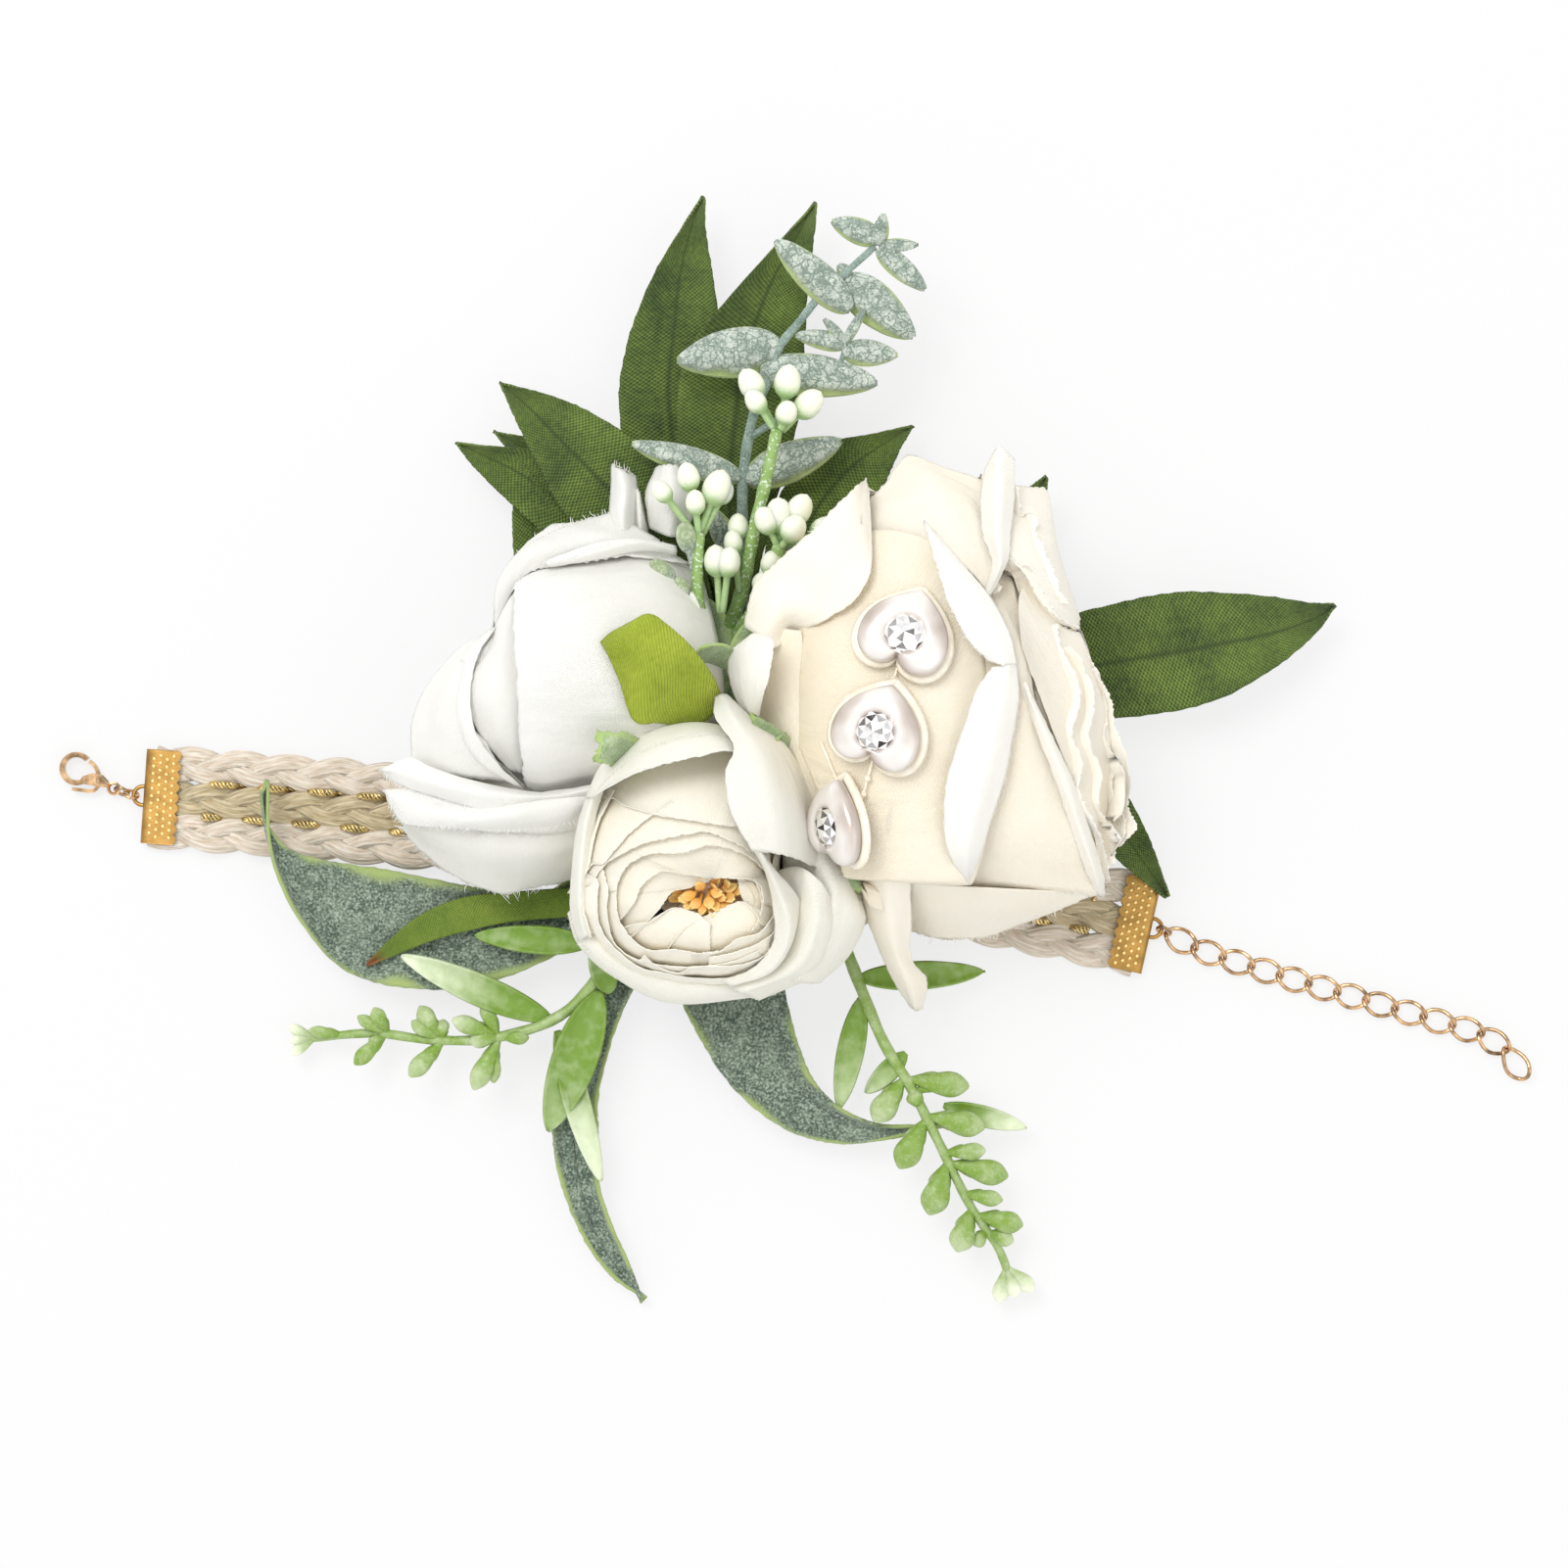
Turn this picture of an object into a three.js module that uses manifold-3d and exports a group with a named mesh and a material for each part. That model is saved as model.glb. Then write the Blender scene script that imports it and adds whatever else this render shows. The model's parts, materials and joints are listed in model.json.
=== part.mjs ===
// Wrist corsage: three silk flowers and their foliage on a braided cotton band,
// with a lobster clasp at one end and an extender chain at the other.
// Millimetres, +Z up. The origin is the centre of the wrist face of the felt backing.

import * as THREE from 'three';
import { mergeVertices } from 'three/addons/utils/BufferGeometryUtils.js';
import Module from 'manifold-3d';

const wasm = await Module();
wasm.setup();

// Fits, used wherever one piece lies on, or runs in, another
const restGap = 0.3;
const hookGap = 0.15;
const pinFit = 0.1;
const cutOverrun = 1;
const facetTolerance = 0.1;
const weldTolerance = 0.004;

// Felt backing that the flowers are glued to
const feltLength = 62;
const feltWidth = 40;
const feltThickness = 1.6;

// Braided band: three braids side by side between the two crimps
const bandSpan = 160;
const braidWidth = 5.3;
const braidThickness = 3.2;
const braidChamfer = 1;
const braidGap = 0.3;
const braidTaper = 4;
const tableClearance = 0.05;
const goldCordDiameter = 0.9;
const bandHeading = -7.4;
const claspEndHeading = -4;
const chainEndHeading = -12.5;
const bandMiddleShares = [-0.18, -0.045];
const bandRiseShares = { claspStart: 0.1, claspEnd: 0.38, chainStart: 0.84, chainEnd: 0.98 };

// Ribbon crimps: folded sheet with a toothed mouth and a wire loop on the fold
const crimpWidth = 16;
const crimpDepth = 6.3;
const crimpThickness = 2.6;
const crimpSheet = 0.5;
const crimpToothPitch = 1.7;
const crimpToothDepth = 0.7;
const crimpLoopRadius = 1.6;
const crimpLoopWire = 0.7;
const crimpLoopPlaceShare = 0.1;

// Jump rings
const ringRadius = 1.2;
const ringWire = 0.56;
const ringTilt = 62;

// Curb chain
const linkPitch = 5.08;
const linkWire = 0.7;
const linkWidth = 4.5;
const linkTwist = 45;
const endLinkLength = 7;
const endLinkWidth = 4.4;
const endLinkFlareShare = 0.2;
const chainHeadings = [-30, -20, -17, -17, -17, -16, -16, -16, -16, -16, -16, -30];
const firstRingHeading = -24;
const endLinkHeading = -55;

// Lobster clasp
const claspThickness = 2.6;
const claspSlot = 1.5;
const claspLeverThickness = 0.9;
const claspHeading = 152;
const claspRingHeading = 162;
const claspEyeRadius = 0.95;
const claspEyeWire = 0.6;
const claspRingRadius = 2.4;
const claspRingWire = 0.9;
const claspRingThickness = 1.4;
const claspReach = 7.15;
const claspPivotReach = 2.8;
const claspPinRadius = 0.32;
const claspHubRadius = 0.72;
const claspGateWidth = 0.65;
const claspTabWidth = 0.6;
const claspTabReach = 6.2;
const claspTabSpread = 3.35;
const springStrip = 0.22;
const springWidth = 0.8;
const springArm = 0.62;
const hookSpanDegrees = { start: -112, end: 148 };

// Bouquet layout: places are shares of this reach, measured from the origin
const posyReach = 100;

// Silk sheets
const petalThickness = 0.8;
const leafThickness = 0.7;

// Flowers: reach along the axis and greatest radius
const roseReach = 50;
const roseRadius = 29;
const ranunculusReach = 27;
const ranunculusRadius = 24.5;
const peonyReach = 52;
const peonyRadius = 38;
const stemRadius = 1.5;
const calyxRadius = 5;
const calyxDepth = 5;
const layerPitch = 1.4;

// Pearl hearts and their stones
const heartWidth = 14.6;
const heartThickness = 3.4;
const heartBevel = 1.3;
const stoneDiameter = 6.2;
const stoneHeight = 2.2;
const stoneSink = 0.9;
const strandDiameter = 0.6;

// Stems, berries and small leaves
const berryRadius = 2.3;
const twigRadius = 0.95;
const berryStalkRadius = 0.55;
const budRadius = 1.4;

// Points and small numbers
const v3 = (x, y, z) => new THREE.Vector3(x, y, z);
const up = v3(0, 0, 1);
const radians = THREE.MathUtils.degToRad;
const mix = THREE.MathUtils.lerp;
const ramp = (x, low, high) => THREE.MathUtils.smoothstep(x, low, high);
const bezier = (t, a, b, c) => (1 - t) ** 2 * a + 2 * t * (1 - t) * b + t ** 2 * c;
const heading = (degrees) => v3(Math.cos(radians(degrees)), Math.sin(radians(degrees)), 0);

// A solid from loose points and triangles, turned to face outwards
function solidFrom(points, faces) {
  const geometry = new THREE.BufferGeometry();
  const places = points.flatMap((p) => p.toArray());
  geometry.setAttribute('position', new THREE.Float32BufferAttribute(places, 3));
  geometry.setIndex(faces);
  return solidOf(geometry);
}

function solidOf(source, matrix = new THREE.Matrix4()) {
  const geometry = source.clone().applyMatrix4(matrix);
  geometry.deleteAttribute('normal');
  geometry.deleteAttribute('uv');
  const merged = mergeVertices(geometry);
  const corners = merged.attributes.position;
  let triangles = Array.from(merged.index.array);
  const a = new THREE.Vector3();
  const b = new THREE.Vector3();
  const c = new THREE.Vector3();
  const kept = [];
  let volume = 0;
  for (let i = 0; i < triangles.length; i += 3) {
    const [p, q, r] = triangles.slice(i, i + 3);
    if (p === q || q === r || p === r) continue;
    a.fromBufferAttribute(corners, p);
    b.fromBufferAttribute(corners, q);
    c.fromBufferAttribute(corners, r);
    volume += a.dot(b.cross(c));
    kept.push(p, q, r);
  }
  triangles = volume < 0 ? kept.reverse() : kept;
  const mesh = new wasm.Mesh({
    numProp: 3,
    vertProperties: new Float32Array(corners.array),
    triVerts: new Uint32Array(triangles),
  });
  return new wasm.Manifold(mesh);
}

const join = (solids) => solids.reduce((whole, solid) => whole.add(solid));

// The largest body of a cut solid
function largestBody(solid) {
  const bodies = solid.decompose();
  return bodies.reduce((best, body) => (body.volume() > best.volume() ? body : best));
}

// Rings of points joined into a tube: open tubes get flat ends, loops close on themselves
function loft(rings, loop = false) {
  const count = rings[0].length;
  const points = rings.flat();
  const faces = [];
  const spans = loop ? rings.length : rings.length - 1;
  for (let i = 0; i < spans; i++) {
    const here = i * count;
    const next = ((i + 1) % rings.length) * count;
    for (let j = 0; j < count; j++) {
      const k = (j + 1) % count;
      faces.push(here + j, here + k, next + k, here + j, next + k, next + j);
    }
  }
  if (!loop) {
    const last = (rings.length - 1) * count;
    for (let j = 1; j < count - 1; j++) {
      faces.push(0, j + 1, j);
      faces.push(last, last + j, last + j + 1);
    }
  }
  return solidFrom(points, faces);
}

// A round tube along points; the radius may be a number or a function of the share passed
function tube(points, radius, sides, loop = false) {
  const radiusAt = typeof radius === 'function' ? radius : () => radius;
  const count = points.length;
  let side = null;
  const rings = points.map((point, i) => {
    const before = points[loop ? (i + count - 1) % count : Math.max(i - 1, 0)];
    const after = points[loop ? (i + 1) % count : Math.min(i + 1, count - 1)];
    const along = after.clone().sub(before).normalize();
    if (side === null) {
      const spare = Math.abs(along.z) < Math.SQRT1_2 ? up : v3(1, 0, 0);
      side = spare.clone().cross(along).normalize();
    } else {
      side.addScaledVector(along, -side.dot(along)).normalize();
    }
    const across = along.clone().cross(side);
    const ring = [];
    for (let j = 0; j < sides; j++) {
      const angle = (2 * Math.PI * j) / sides;
      const r = radiusAt(i / (count - 1));
      ring.push(point.clone().addScaledVector(side, r * Math.cos(angle))
        .addScaledVector(across, r * Math.sin(angle)));
    }
    return ring;
  });
  return loft(rings, loop);
}

// Evenly spaced points on a smooth curve through a few given ones
const smooth = (points, steps) => new THREE.CatmullRomCurve3(points, false, 'centripetal').getPoints(steps);

// A closed sheet of even thickness from a grid of points; grow widens it on every side
function sheet(grid, thickness, grow = 0) {
  const rows = grid.length;
  const columns = grid[0].length;
  const wide = grid.map((row) => row.map((point) => point.clone()));
  if (grow > 0) {
    const stretch = (end, inner) => end.addScaledVector(end.clone().sub(inner).normalize(), grow);
    for (let i = 0; i < rows; i++) {
      stretch(wide[i][0], grid[i][1]);
      stretch(wide[i][columns - 1], grid[i][columns - 2]);
    }
    for (let j = 0; j < columns; j++) {
      stretch(wide[0][j], grid[1][j]);
      stretch(wide[rows - 1][j], grid[rows - 2][j]);
    }
  }
  const points = [];
  const offset = thickness / 2 + grow;
  for (const sign of [1, -1]) {
    for (let i = 0; i < rows; i++) {
      for (let j = 0; j < columns; j++) {
        const alongU = wide[Math.min(i + 1, rows - 1)][j].clone().sub(wide[Math.max(i - 1, 0)][j]);
        const alongV = wide[i][Math.min(j + 1, columns - 1)].clone().sub(wide[i][Math.max(j - 1, 0)]);
        const normal = alongU.cross(alongV).normalize();
        points.push(wide[i][j].clone().addScaledVector(normal, sign * offset));
      }
    }
  }
  const top = (i, j) => i * columns + j;
  const bottom = (i, j) => rows * columns + top(i, j);
  const faces = [];
  const quad = (a, b, c, d) => faces.push(a, b, c, a, c, d);
  for (let i = 0; i < rows - 1; i++) {
    for (let j = 0; j < columns - 1; j++) {
      quad(top(i, j), top(i + 1, j), top(i + 1, j + 1), top(i, j + 1));
      quad(bottom(i, j), bottom(i, j + 1), bottom(i + 1, j + 1), bottom(i + 1, j));
    }
    quad(top(i, 0), bottom(i, 0), bottom(i + 1, 0), top(i + 1, 0));
    const edge = columns - 1;
    quad(top(i, edge), top(i + 1, edge), bottom(i + 1, edge), bottom(i, edge));
  }
  for (let j = 0; j < columns - 1; j++) {
    quad(top(0, j), top(0, j + 1), bottom(0, j + 1), bottom(0, j));
    const edge = rows - 1;
    quad(top(edge, j), bottom(edge, j), bottom(edge, j + 1), top(edge, j + 1));
  }
  return solidFrom(points, faces);
}

// Shapes drawn in plan, extruded evenly about a mid height
function plate(shape, thickness, middle = 0, segments = 6) {
  const geometry = new THREE.ExtrudeGeometry(shape,
    { depth: thickness, bevelEnabled: false, curveSegments: segments });
  return solidOf(geometry, new THREE.Matrix4().makeTranslation(0, 0, middle - thickness / 2));
}

function boxSolid(sizeX, sizeY, sizeZ, matrix) {
  return solidOf(new THREE.BoxGeometry(sizeX, sizeY, sizeZ), matrix);
}

function ball(centre, radius, wide = 6, high = 4) {
  return solidOf(new THREE.SphereGeometry(radius, wide, high), new THREE.Matrix4().setPosition(centre));
}

// The finished group, and the shape of each piece for the ones fitted round it
const corsage = new THREE.Group();
const builders = {};

function finish(surface) {
  const { color, roughness, metalness = 0 } = surface;
  return new THREE.MeshStandardMaterial({ color, roughness, metalness });
}

function addMesh(name, solid, surface, place = null) {
  const geometry = geometryOf(solid);
  geometry.computeVertexNormals();
  const piece = new THREE.Mesh(geometry, finish(surface));
  piece.name = name;
  if (place) piece.applyMatrix4(place);
  corsage.add(piece);
}

function geometryOf(solid) {
  const mesh = solid.getMesh();
  const loose = new THREE.BufferGeometry();
  loose.setAttribute('position', new THREE.BufferAttribute(new Float32Array(mesh.vertProperties), 3));
  loose.setIndex(new THREE.BufferAttribute(new Uint32Array(mesh.triVerts), 1));
  return withoutSlivers(mergeVertices(loose, weldTolerance));
}

// Whether every edge lies between exactly two triangles
function edgesPair(geometry) {
  const corners = geometry.index.array;
  const uses = new Map();
  for (let i = 0; i < corners.length; i += 3) {
    for (let k = 0; k < 3; k++) {
      const ends = [corners[i + k], corners[i + ((k + 1) % 3)]].sort((a, b) => a - b).join();
      uses.set(ends, (uses.get(ends) ?? 0) + 1);
    }
  }
  return [...uses.values()].every((count) => count === 2);
}

// Fewer facets after cutting: the coarsest of a few tolerances that leaves a clean skin
function fewerFacets(solid) {
  const finenessShares = [1, 0.5, 0.2, 0.05];
  const coarse = finenessShares.map(
    (share) => () => largestBody(solid.asOriginal().simplify(facetTolerance * share)));
  const clean = coarse.find((make) => edgesPair(geometryOf(make())));
  return clean ? clean() : largestBody(solid);
}

// Triangles whose corners were welded together are dropped
function withoutSlivers(geometry) {
  const corners = geometry.index.array;
  const kept = [];
  for (let i = 0; i < corners.length; i += 3) {
    const [a, b, c] = [corners[i], corners[i + 1], corners[i + 2]];
    if (a !== b && b !== c && a !== c) kept.push(a, b, c);
  }
  geometry.setIndex(kept);
  return geometry;
}

// A soft piece, cut back to a clear gap round the pieces named as its neighbours
function addFitted(name, build, neighbours, surface) {
  let solid = build(0);
  for (const other of neighbours) solid = solid.subtract(builders[other](restGap));
  builders[name] = build;
  addMesh(name, fewerFacets(solid), surface);
}

const surfaces = {
  cotton: { color: 0xe4d3bf, roughness: 0.95 },
  khakiCotton: { color: 0xc4ae86, roughness: 0.95 },
  goldThread: { color: 0xd0a850, roughness: 0.35, metalness: 0.9 },
  antiqueGold: { color: 0xbe9146, roughness: 0.4, metalness: 1 },
  roseGold: { color: 0xd9ad7d, roughness: 0.25, metalness: 1 },
  spring: { color: 0xb9bcc0, roughness: 0.3, metalness: 1 },
  felt: { color: 0xe9e4d8, roughness: 1 },
  whiteSilk: { color: 0xe9e8e3, roughness: 0.85 },
  creamSilk: { color: 0xf0e7d4, roughness: 0.85 },
  stamen: { color: 0xe2a032, roughness: 0.7 },
  calyx: { color: 0x8fa07e, roughness: 0.9 },
  darkLeaf: { color: 0x4f6f2b, roughness: 0.8 },
  sageLeaf: { color: 0x70867a, roughness: 0.95 },
  satin: { color: 0xa0b036, roughness: 0.5 },
  oliveLeaf: { color: 0x7d8f35, roughness: 0.7 },
  eucalyptus: { color: 0xa5b9af, roughness: 0.9 },
  berryStem: { color: 0x8fbf6a, roughness: 0.6 },
  freshStem: { color: 0x86b85a, roughness: 0.6 },
  pearl: { color: 0xf3ece3, roughness: 0.2 },
  crystal: { color: 0xdfe3e6, roughness: 0.1 },
  clear: { color: 0xf0ead8, roughness: 0.2 },
};

// The band's line, from the clasp crimp's mouth to the chain crimp's mouth
const bandMiddle = v3(bandMiddleShares[0], bandMiddleShares[1], 0).multiplyScalar(posyReach);
const bandStart = bandMiddle.clone().addScaledVector(heading(bandHeading), -bandSpan / 2);
const bandEnd = bandMiddle.clone().addScaledVector(heading(bandHeading), bandSpan / 2);
const hardwareHeight = crimpThickness / 2 + tableClearance;
const braidGrip = crimpDepth - 2 * crimpSheet;
const gripThickness = crimpThickness - 2 * crimpSheet - 2 * restGap;
const bandHeight = feltThickness + restGap + braidThickness / 2;
const cordRadius = goldCordDiameter / 2;
const cordRise = braidThickness / 2 - braidChamfer + Math.SQRT2 * (cordRadius + restGap) - braidGap / 2;
const seatTop = bandHeight + cordRise + cordRadius + restGap;

function bandAt(distance) {
  const share = THREE.MathUtils.clamp(distance / bandSpan, 0, 1);
  const startPull = heading(claspEndHeading).multiplyScalar(bandSpan);
  const endPull = heading(chainEndHeading).multiplyScalar(bandSpan);
  const s = share;
  const point = bandStart.clone().multiplyScalar(2 * s ** 3 - 3 * s ** 2 + 1)
    .addScaledVector(bandEnd, 3 * s ** 2 - 2 * s ** 3)
    .addScaledVector(startPull, s ** 3 - 2 * s ** 2 + s)
    .addScaledVector(endPull, s ** 3 - s ** 2);
  if (distance < 0) point.addScaledVector(heading(claspEndHeading), distance);
  if (distance > bandSpan) point.addScaledVector(heading(chainEndHeading), distance - bandSpan);
  const nearest = Math.min(distance, bandSpan - distance);
  const open = ramp(nearest, 0, braidTaper);
  const rise = ramp(share, bandRiseShares.claspStart, bandRiseShares.claspEnd)
    * (1 - ramp(share, bandRiseShares.chainStart, bandRiseShares.chainEnd));
  const low = braidThickness / 2 + tableClearance;
  point.z = mix(hardwareHeight, mix(low, bandHeight, rise), open);
  return { point, thickness: mix(gripThickness, braidThickness, open) };
}

function bandFrame(distance, step) {
  const before = bandAt(distance - step).point;
  const after = bandAt(distance + step).point;
  const along = after.sub(before).normalize();
  const left = up.clone().cross(along).normalize();
  return { ...bandAt(distance), left };
}

function bandStations(from, to, steps) {
  const stations = [];
  for (let i = 0; i <= steps; i++) stations.push(mix(from, to, i / steps));
  return stations;
}

const braidSteps = 16;
const braidChamferShare = 0.6;
const braidPitch = braidWidth + braidGap;

function braid(lane) {
  const stations = [
    -braidGrip, -restGap,
    ...bandStations(braidTaper, bandSpan - braidTaper, braidSteps),
    bandSpan + restGap, bandSpan + braidGrip,
  ];
  const rings = stations.map((distance) => {
    const { point, left, thickness } = bandFrame(distance, braidTaper / 4);
    const half = braidWidth / 2;
    const tall = thickness / 2;
    const chamfer = Math.min(braidChamfer, tall * braidChamferShare);
    const section = [
      [half, -tall + chamfer], [half, tall - chamfer], [half - chamfer, tall], [-half + chamfer, tall],
      [-half, tall - chamfer], [-half, -tall + chamfer], [-half + chamfer, -tall], [half - chamfer, -tall],
    ];
    return section.map(([across, high]) => point.clone()
      .addScaledVector(left, across + lane * braidPitch).addScaledVector(up, high));
  });
  return loft(rings);
}

addMesh('braid_upper', braid(1), surfaces.cotton);
addMesh('braid_middle', braid(0), surfaces.khakiCotton);
addMesh('braid_lower', braid(-1), surfaces.cotton);

// Metallic cords in the grooves between the braids
function goldCord(lane) {
  const start = braidTaper;
  const points = bandStations(start, bandSpan - start, braidSteps).map((distance) => {
    const { point, left } = bandFrame(distance, braidTaper / 4);
    return point.addScaledVector(left, lane * braidPitch / 2).addScaledVector(up, cordRise);
  });
  return tube(points, cordRadius, 5);
}

addMesh('gold_cord_upper', goldCord(1), surfaces.goldThread);
addMesh('gold_cord_lower', goldCord(-1), surfaces.goldThread);

// Felt backing: an oval pad
function feltBacking() {
  const shape = new THREE.Shape();
  shape.absellipse(0, 0, feltLength / 2, feltWidth / 2, 0, 2 * Math.PI);
  return plate(shape, feltThickness, feltThickness / 2, 16);
}

addMesh('felt_backing', feltBacking(), surfaces.felt);

// A ribbon crimp in its own frame: +X from the mouth to the fold, mid thickness at zero
function crimp() {
  const half = crimpThickness / 2;
  const inner = half - crimpSheet;
  const channel = new THREE.Shape([
    new THREE.Vector2(0, -half), new THREE.Vector2(crimpDepth, -half),
    new THREE.Vector2(crimpDepth, half), new THREE.Vector2(0, half),
    new THREE.Vector2(0, inner), new THREE.Vector2(crimpDepth - crimpSheet, inner),
    new THREE.Vector2(crimpDepth - crimpSheet, -inner), new THREE.Vector2(0, -inner),
  ]);
  const geometry = new THREE.ExtrudeGeometry(channel, { depth: crimpWidth, bevelEnabled: false });
  const lay = new THREE.Matrix4().makeRotationX(Math.PI / 2).setPosition(0, crimpWidth / 2, 0);
  let solid = solidOf(geometry, lay);
  const notches = Math.round(crimpWidth / crimpToothPitch);
  const pitch = crimpWidth / notches;
  for (let i = 0; i < notches; i++) {
    const y = -crimpWidth / 2 + (i + 0.5) * pitch;
    const notch = new THREE.Shape([
      new THREE.Vector2(-crimpToothDepth, y - pitch), new THREE.Vector2(crimpToothDepth, y),
      new THREE.Vector2(-crimpToothDepth, y + pitch),
    ]);
    solid = solid.subtract(plate(notch, crimpThickness + cutOverrun));
  }
  const loop = ringPoints(crimpLoopRadius, 12).map((p) => p.add(v3(crimpLoopPlace, 0, 0)));
  const wire = tube(loop, crimpLoopWire / 2, 5, true);
  const inside = boxSolid(crimpDepth, crimpWidth, crimpThickness,
    new THREE.Matrix4().makeTranslation(crimpDepth / 2 - crimpSheet, 0, 0));
  return solid.add(wire.subtract(inside));
}

const crimpLoopPlace = crimpDepth + crimpLoopRadius * crimpLoopPlaceShare;

function ringPoints(radius, steps) {
  const points = [];
  for (let i = 0; i < steps; i++) {
    const angle = (2 * Math.PI * i) / steps;
    points.push(v3(radius * Math.cos(angle), radius * Math.sin(angle), 0));
  }
  return points;
}

// A place on the table: a point, a heading in plan and a tilt about that heading
function placeOf(point, degrees, tilt = 0) {
  const turn = new THREE.Matrix4().makeRotationZ(radians(degrees));
  const lean = new THREE.Matrix4().makeRotationX(radians(tilt));
  return turn.multiply(lean).premultiply(new THREE.Matrix4().makeTranslation(point.x, point.y, point.z));
}

const claspMouth = bandAt(0).point.setZ(hardwareHeight);
const chainMouth = bandAt(bandSpan).point.setZ(hardwareHeight);
const claspSide = claspEndHeading + 180;
addMesh('clasp_crimp', crimp(), surfaces.antiqueGold, placeOf(claspMouth, claspSide));
addMesh('chain_crimp', crimp(), surfaces.antiqueGold, placeOf(chainMouth, chainEndHeading));

// Jump rings hook through each other with a small clearance between the wires
const ring = () => tube(ringPoints(ringRadius, 12), ringWire / 2, 5, true);
const hookOf = (wireA, wireB) => (wireA + wireB) / 2 + hookGap;

function step(from, degrees, distance) {
  return from.clone().addScaledVector(heading(degrees), distance);
}

// Clasp side: crimp loop, two rings, clasp
const claspLoop = step(claspMouth, claspSide, crimpLoopPlace);
const claspLoopEnd = step(claspLoop, claspSide, crimpLoopRadius);
const claspCrimpRing = step(claspLoopEnd, claspRingHeading, ringRadius - hookOf(crimpLoopWire, ringWire));
const claspLinkRing = step(claspCrimpRing, claspRingHeading, 2 * ringRadius - hookOf(ringWire, ringWire));
const linkRingEnd = step(claspLinkRing, claspRingHeading, ringRadius);
const claspEye = step(linkRingEnd, claspHeading, claspEyeRadius - hookOf(ringWire, claspEyeWire));
addMesh('clasp_crimp_ring', ring(), surfaces.roseGold, placeOf(claspCrimpRing, claspRingHeading, ringTilt));
addMesh('clasp_link_ring', ring(), surfaces.roseGold, placeOf(claspLinkRing, claspRingHeading, -ringTilt));

// The clasp in its own frame: eye at the origin, +X towards the hook's head, lever swings in plan
const claspPlace = placeOf(claspEye, claspHeading);

function arcBand(radius, width, fromDegrees, toDegrees, centreX) {
  const shape = new THREE.Shape();
  shape.absarc(centreX, 0, radius + width / 2, radians(fromDegrees), radians(toDegrees), false);
  shape.absarc(centreX, 0, radius - width / 2, radians(toDegrees), radians(fromDegrees), true);
  return shape;
}

function claspBody() {
  const eye = tube(ringPoints(claspEyeRadius, 12), claspEyeWire / 2, 5, true);
  const { start, end } = hookSpanDegrees;
  const arc = arcBand(claspRingRadius, claspRingWire, start, end, claspReach);
  const hook = plate(arc, claspRingThickness, 0, 10);
  const hookRoot = heading(end).multiplyScalar(claspRingRadius + claspRingWire / 2);
  const rootInner = heading(end).multiplyScalar(claspRingRadius - claspRingWire / 2);
  const tail = claspEyeRadius;
  const cheek = new THREE.Shape([
    new THREE.Vector2(tail, -claspHubRadius / 2),
    new THREE.Vector2(claspPivotReach, -claspHubRadius - claspGateWidth / 2),
    new THREE.Vector2(claspPivotReach + 2 * claspHubRadius, -claspHubRadius),
    new THREE.Vector2(claspReach + rootInner.x, rootInner.y - claspRingWire / 2),
    new THREE.Vector2(claspReach + hookRoot.x + claspRingWire, hookRoot.y + claspRingWire / 2),
    new THREE.Vector2(claspReach + hookRoot.x - claspRingWire / 2, hookRoot.y),
    new THREE.Vector2(claspPivotReach, claspHubRadius + claspGateWidth / 2),
    new THREE.Vector2(tail, claspHubRadius / 2),
  ]);
  const slotStart = claspPivotReach - 2 * claspHubRadius;
  const slotLength = claspReach - claspRingRadius - slotStart - claspRingWire / 4;
  const slot = boxSolid(slotLength, 4 * claspHubRadius, claspSlot,
    new THREE.Matrix4().makeTranslation(slotStart + slotLength / 2, -claspHubRadius / 2, 0));
  const bore = pinSolid(claspPinRadius + pinFit, claspThickness + cutOverrun);
  return join([plate(cheek, claspThickness), eye, hook]).subtract(slot).subtract(bore);
}

function pinSolid(radius, length) {
  const lay = new THREE.Matrix4().makeRotationX(Math.PI / 2).setPosition(claspPivotReach, 0, 0);
  return solidOf(new THREE.CylinderGeometry(radius, radius, length, 10), lay);
}

// The lever: gate on one side of the pin, thumb tab on the other
function claspLever() {
  const gap = restGap / 2;
  const tipAngle = hookSpanDegrees.start - (gap * 180) / (Math.PI * claspRingRadius);
  const tip = heading(tipAngle).multiplyScalar(claspRingRadius).add(v3(claspReach, 0, 0));
  const hub = new THREE.Shape();
  hub.absarc(claspPivotReach, 0, claspHubRadius, 0, 2 * Math.PI);
  const gateBow = claspGateWidth / 2;
  const gate = strip([
    [claspPivotReach, -claspHubRadius + claspGateWidth / 2],
    [(claspPivotReach + tip.x) / 2, (tip.y - claspHubRadius) / 2 - gateBow],
    [tip.x - claspGateWidth / 2, tip.y],
  ], claspGateWidth);
  const tab = strip([
    [claspPivotReach - claspHubRadius / 2, claspHubRadius / 2],
    [claspPivotReach, claspHubRadius + 2 * claspTabWidth],
    [(claspPivotReach + claspTabReach) / 2, claspTabSpread - claspTabWidth],
    [claspTabReach, claspTabSpread],
  ], claspTabWidth);
  const bore = pinSolid(claspPinRadius + pinFit, claspThickness);
  const parts = [hub, gate, tab].map((shape) => plate(shape, claspLeverThickness));
  return join(parts).subtract(bore);
}

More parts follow.
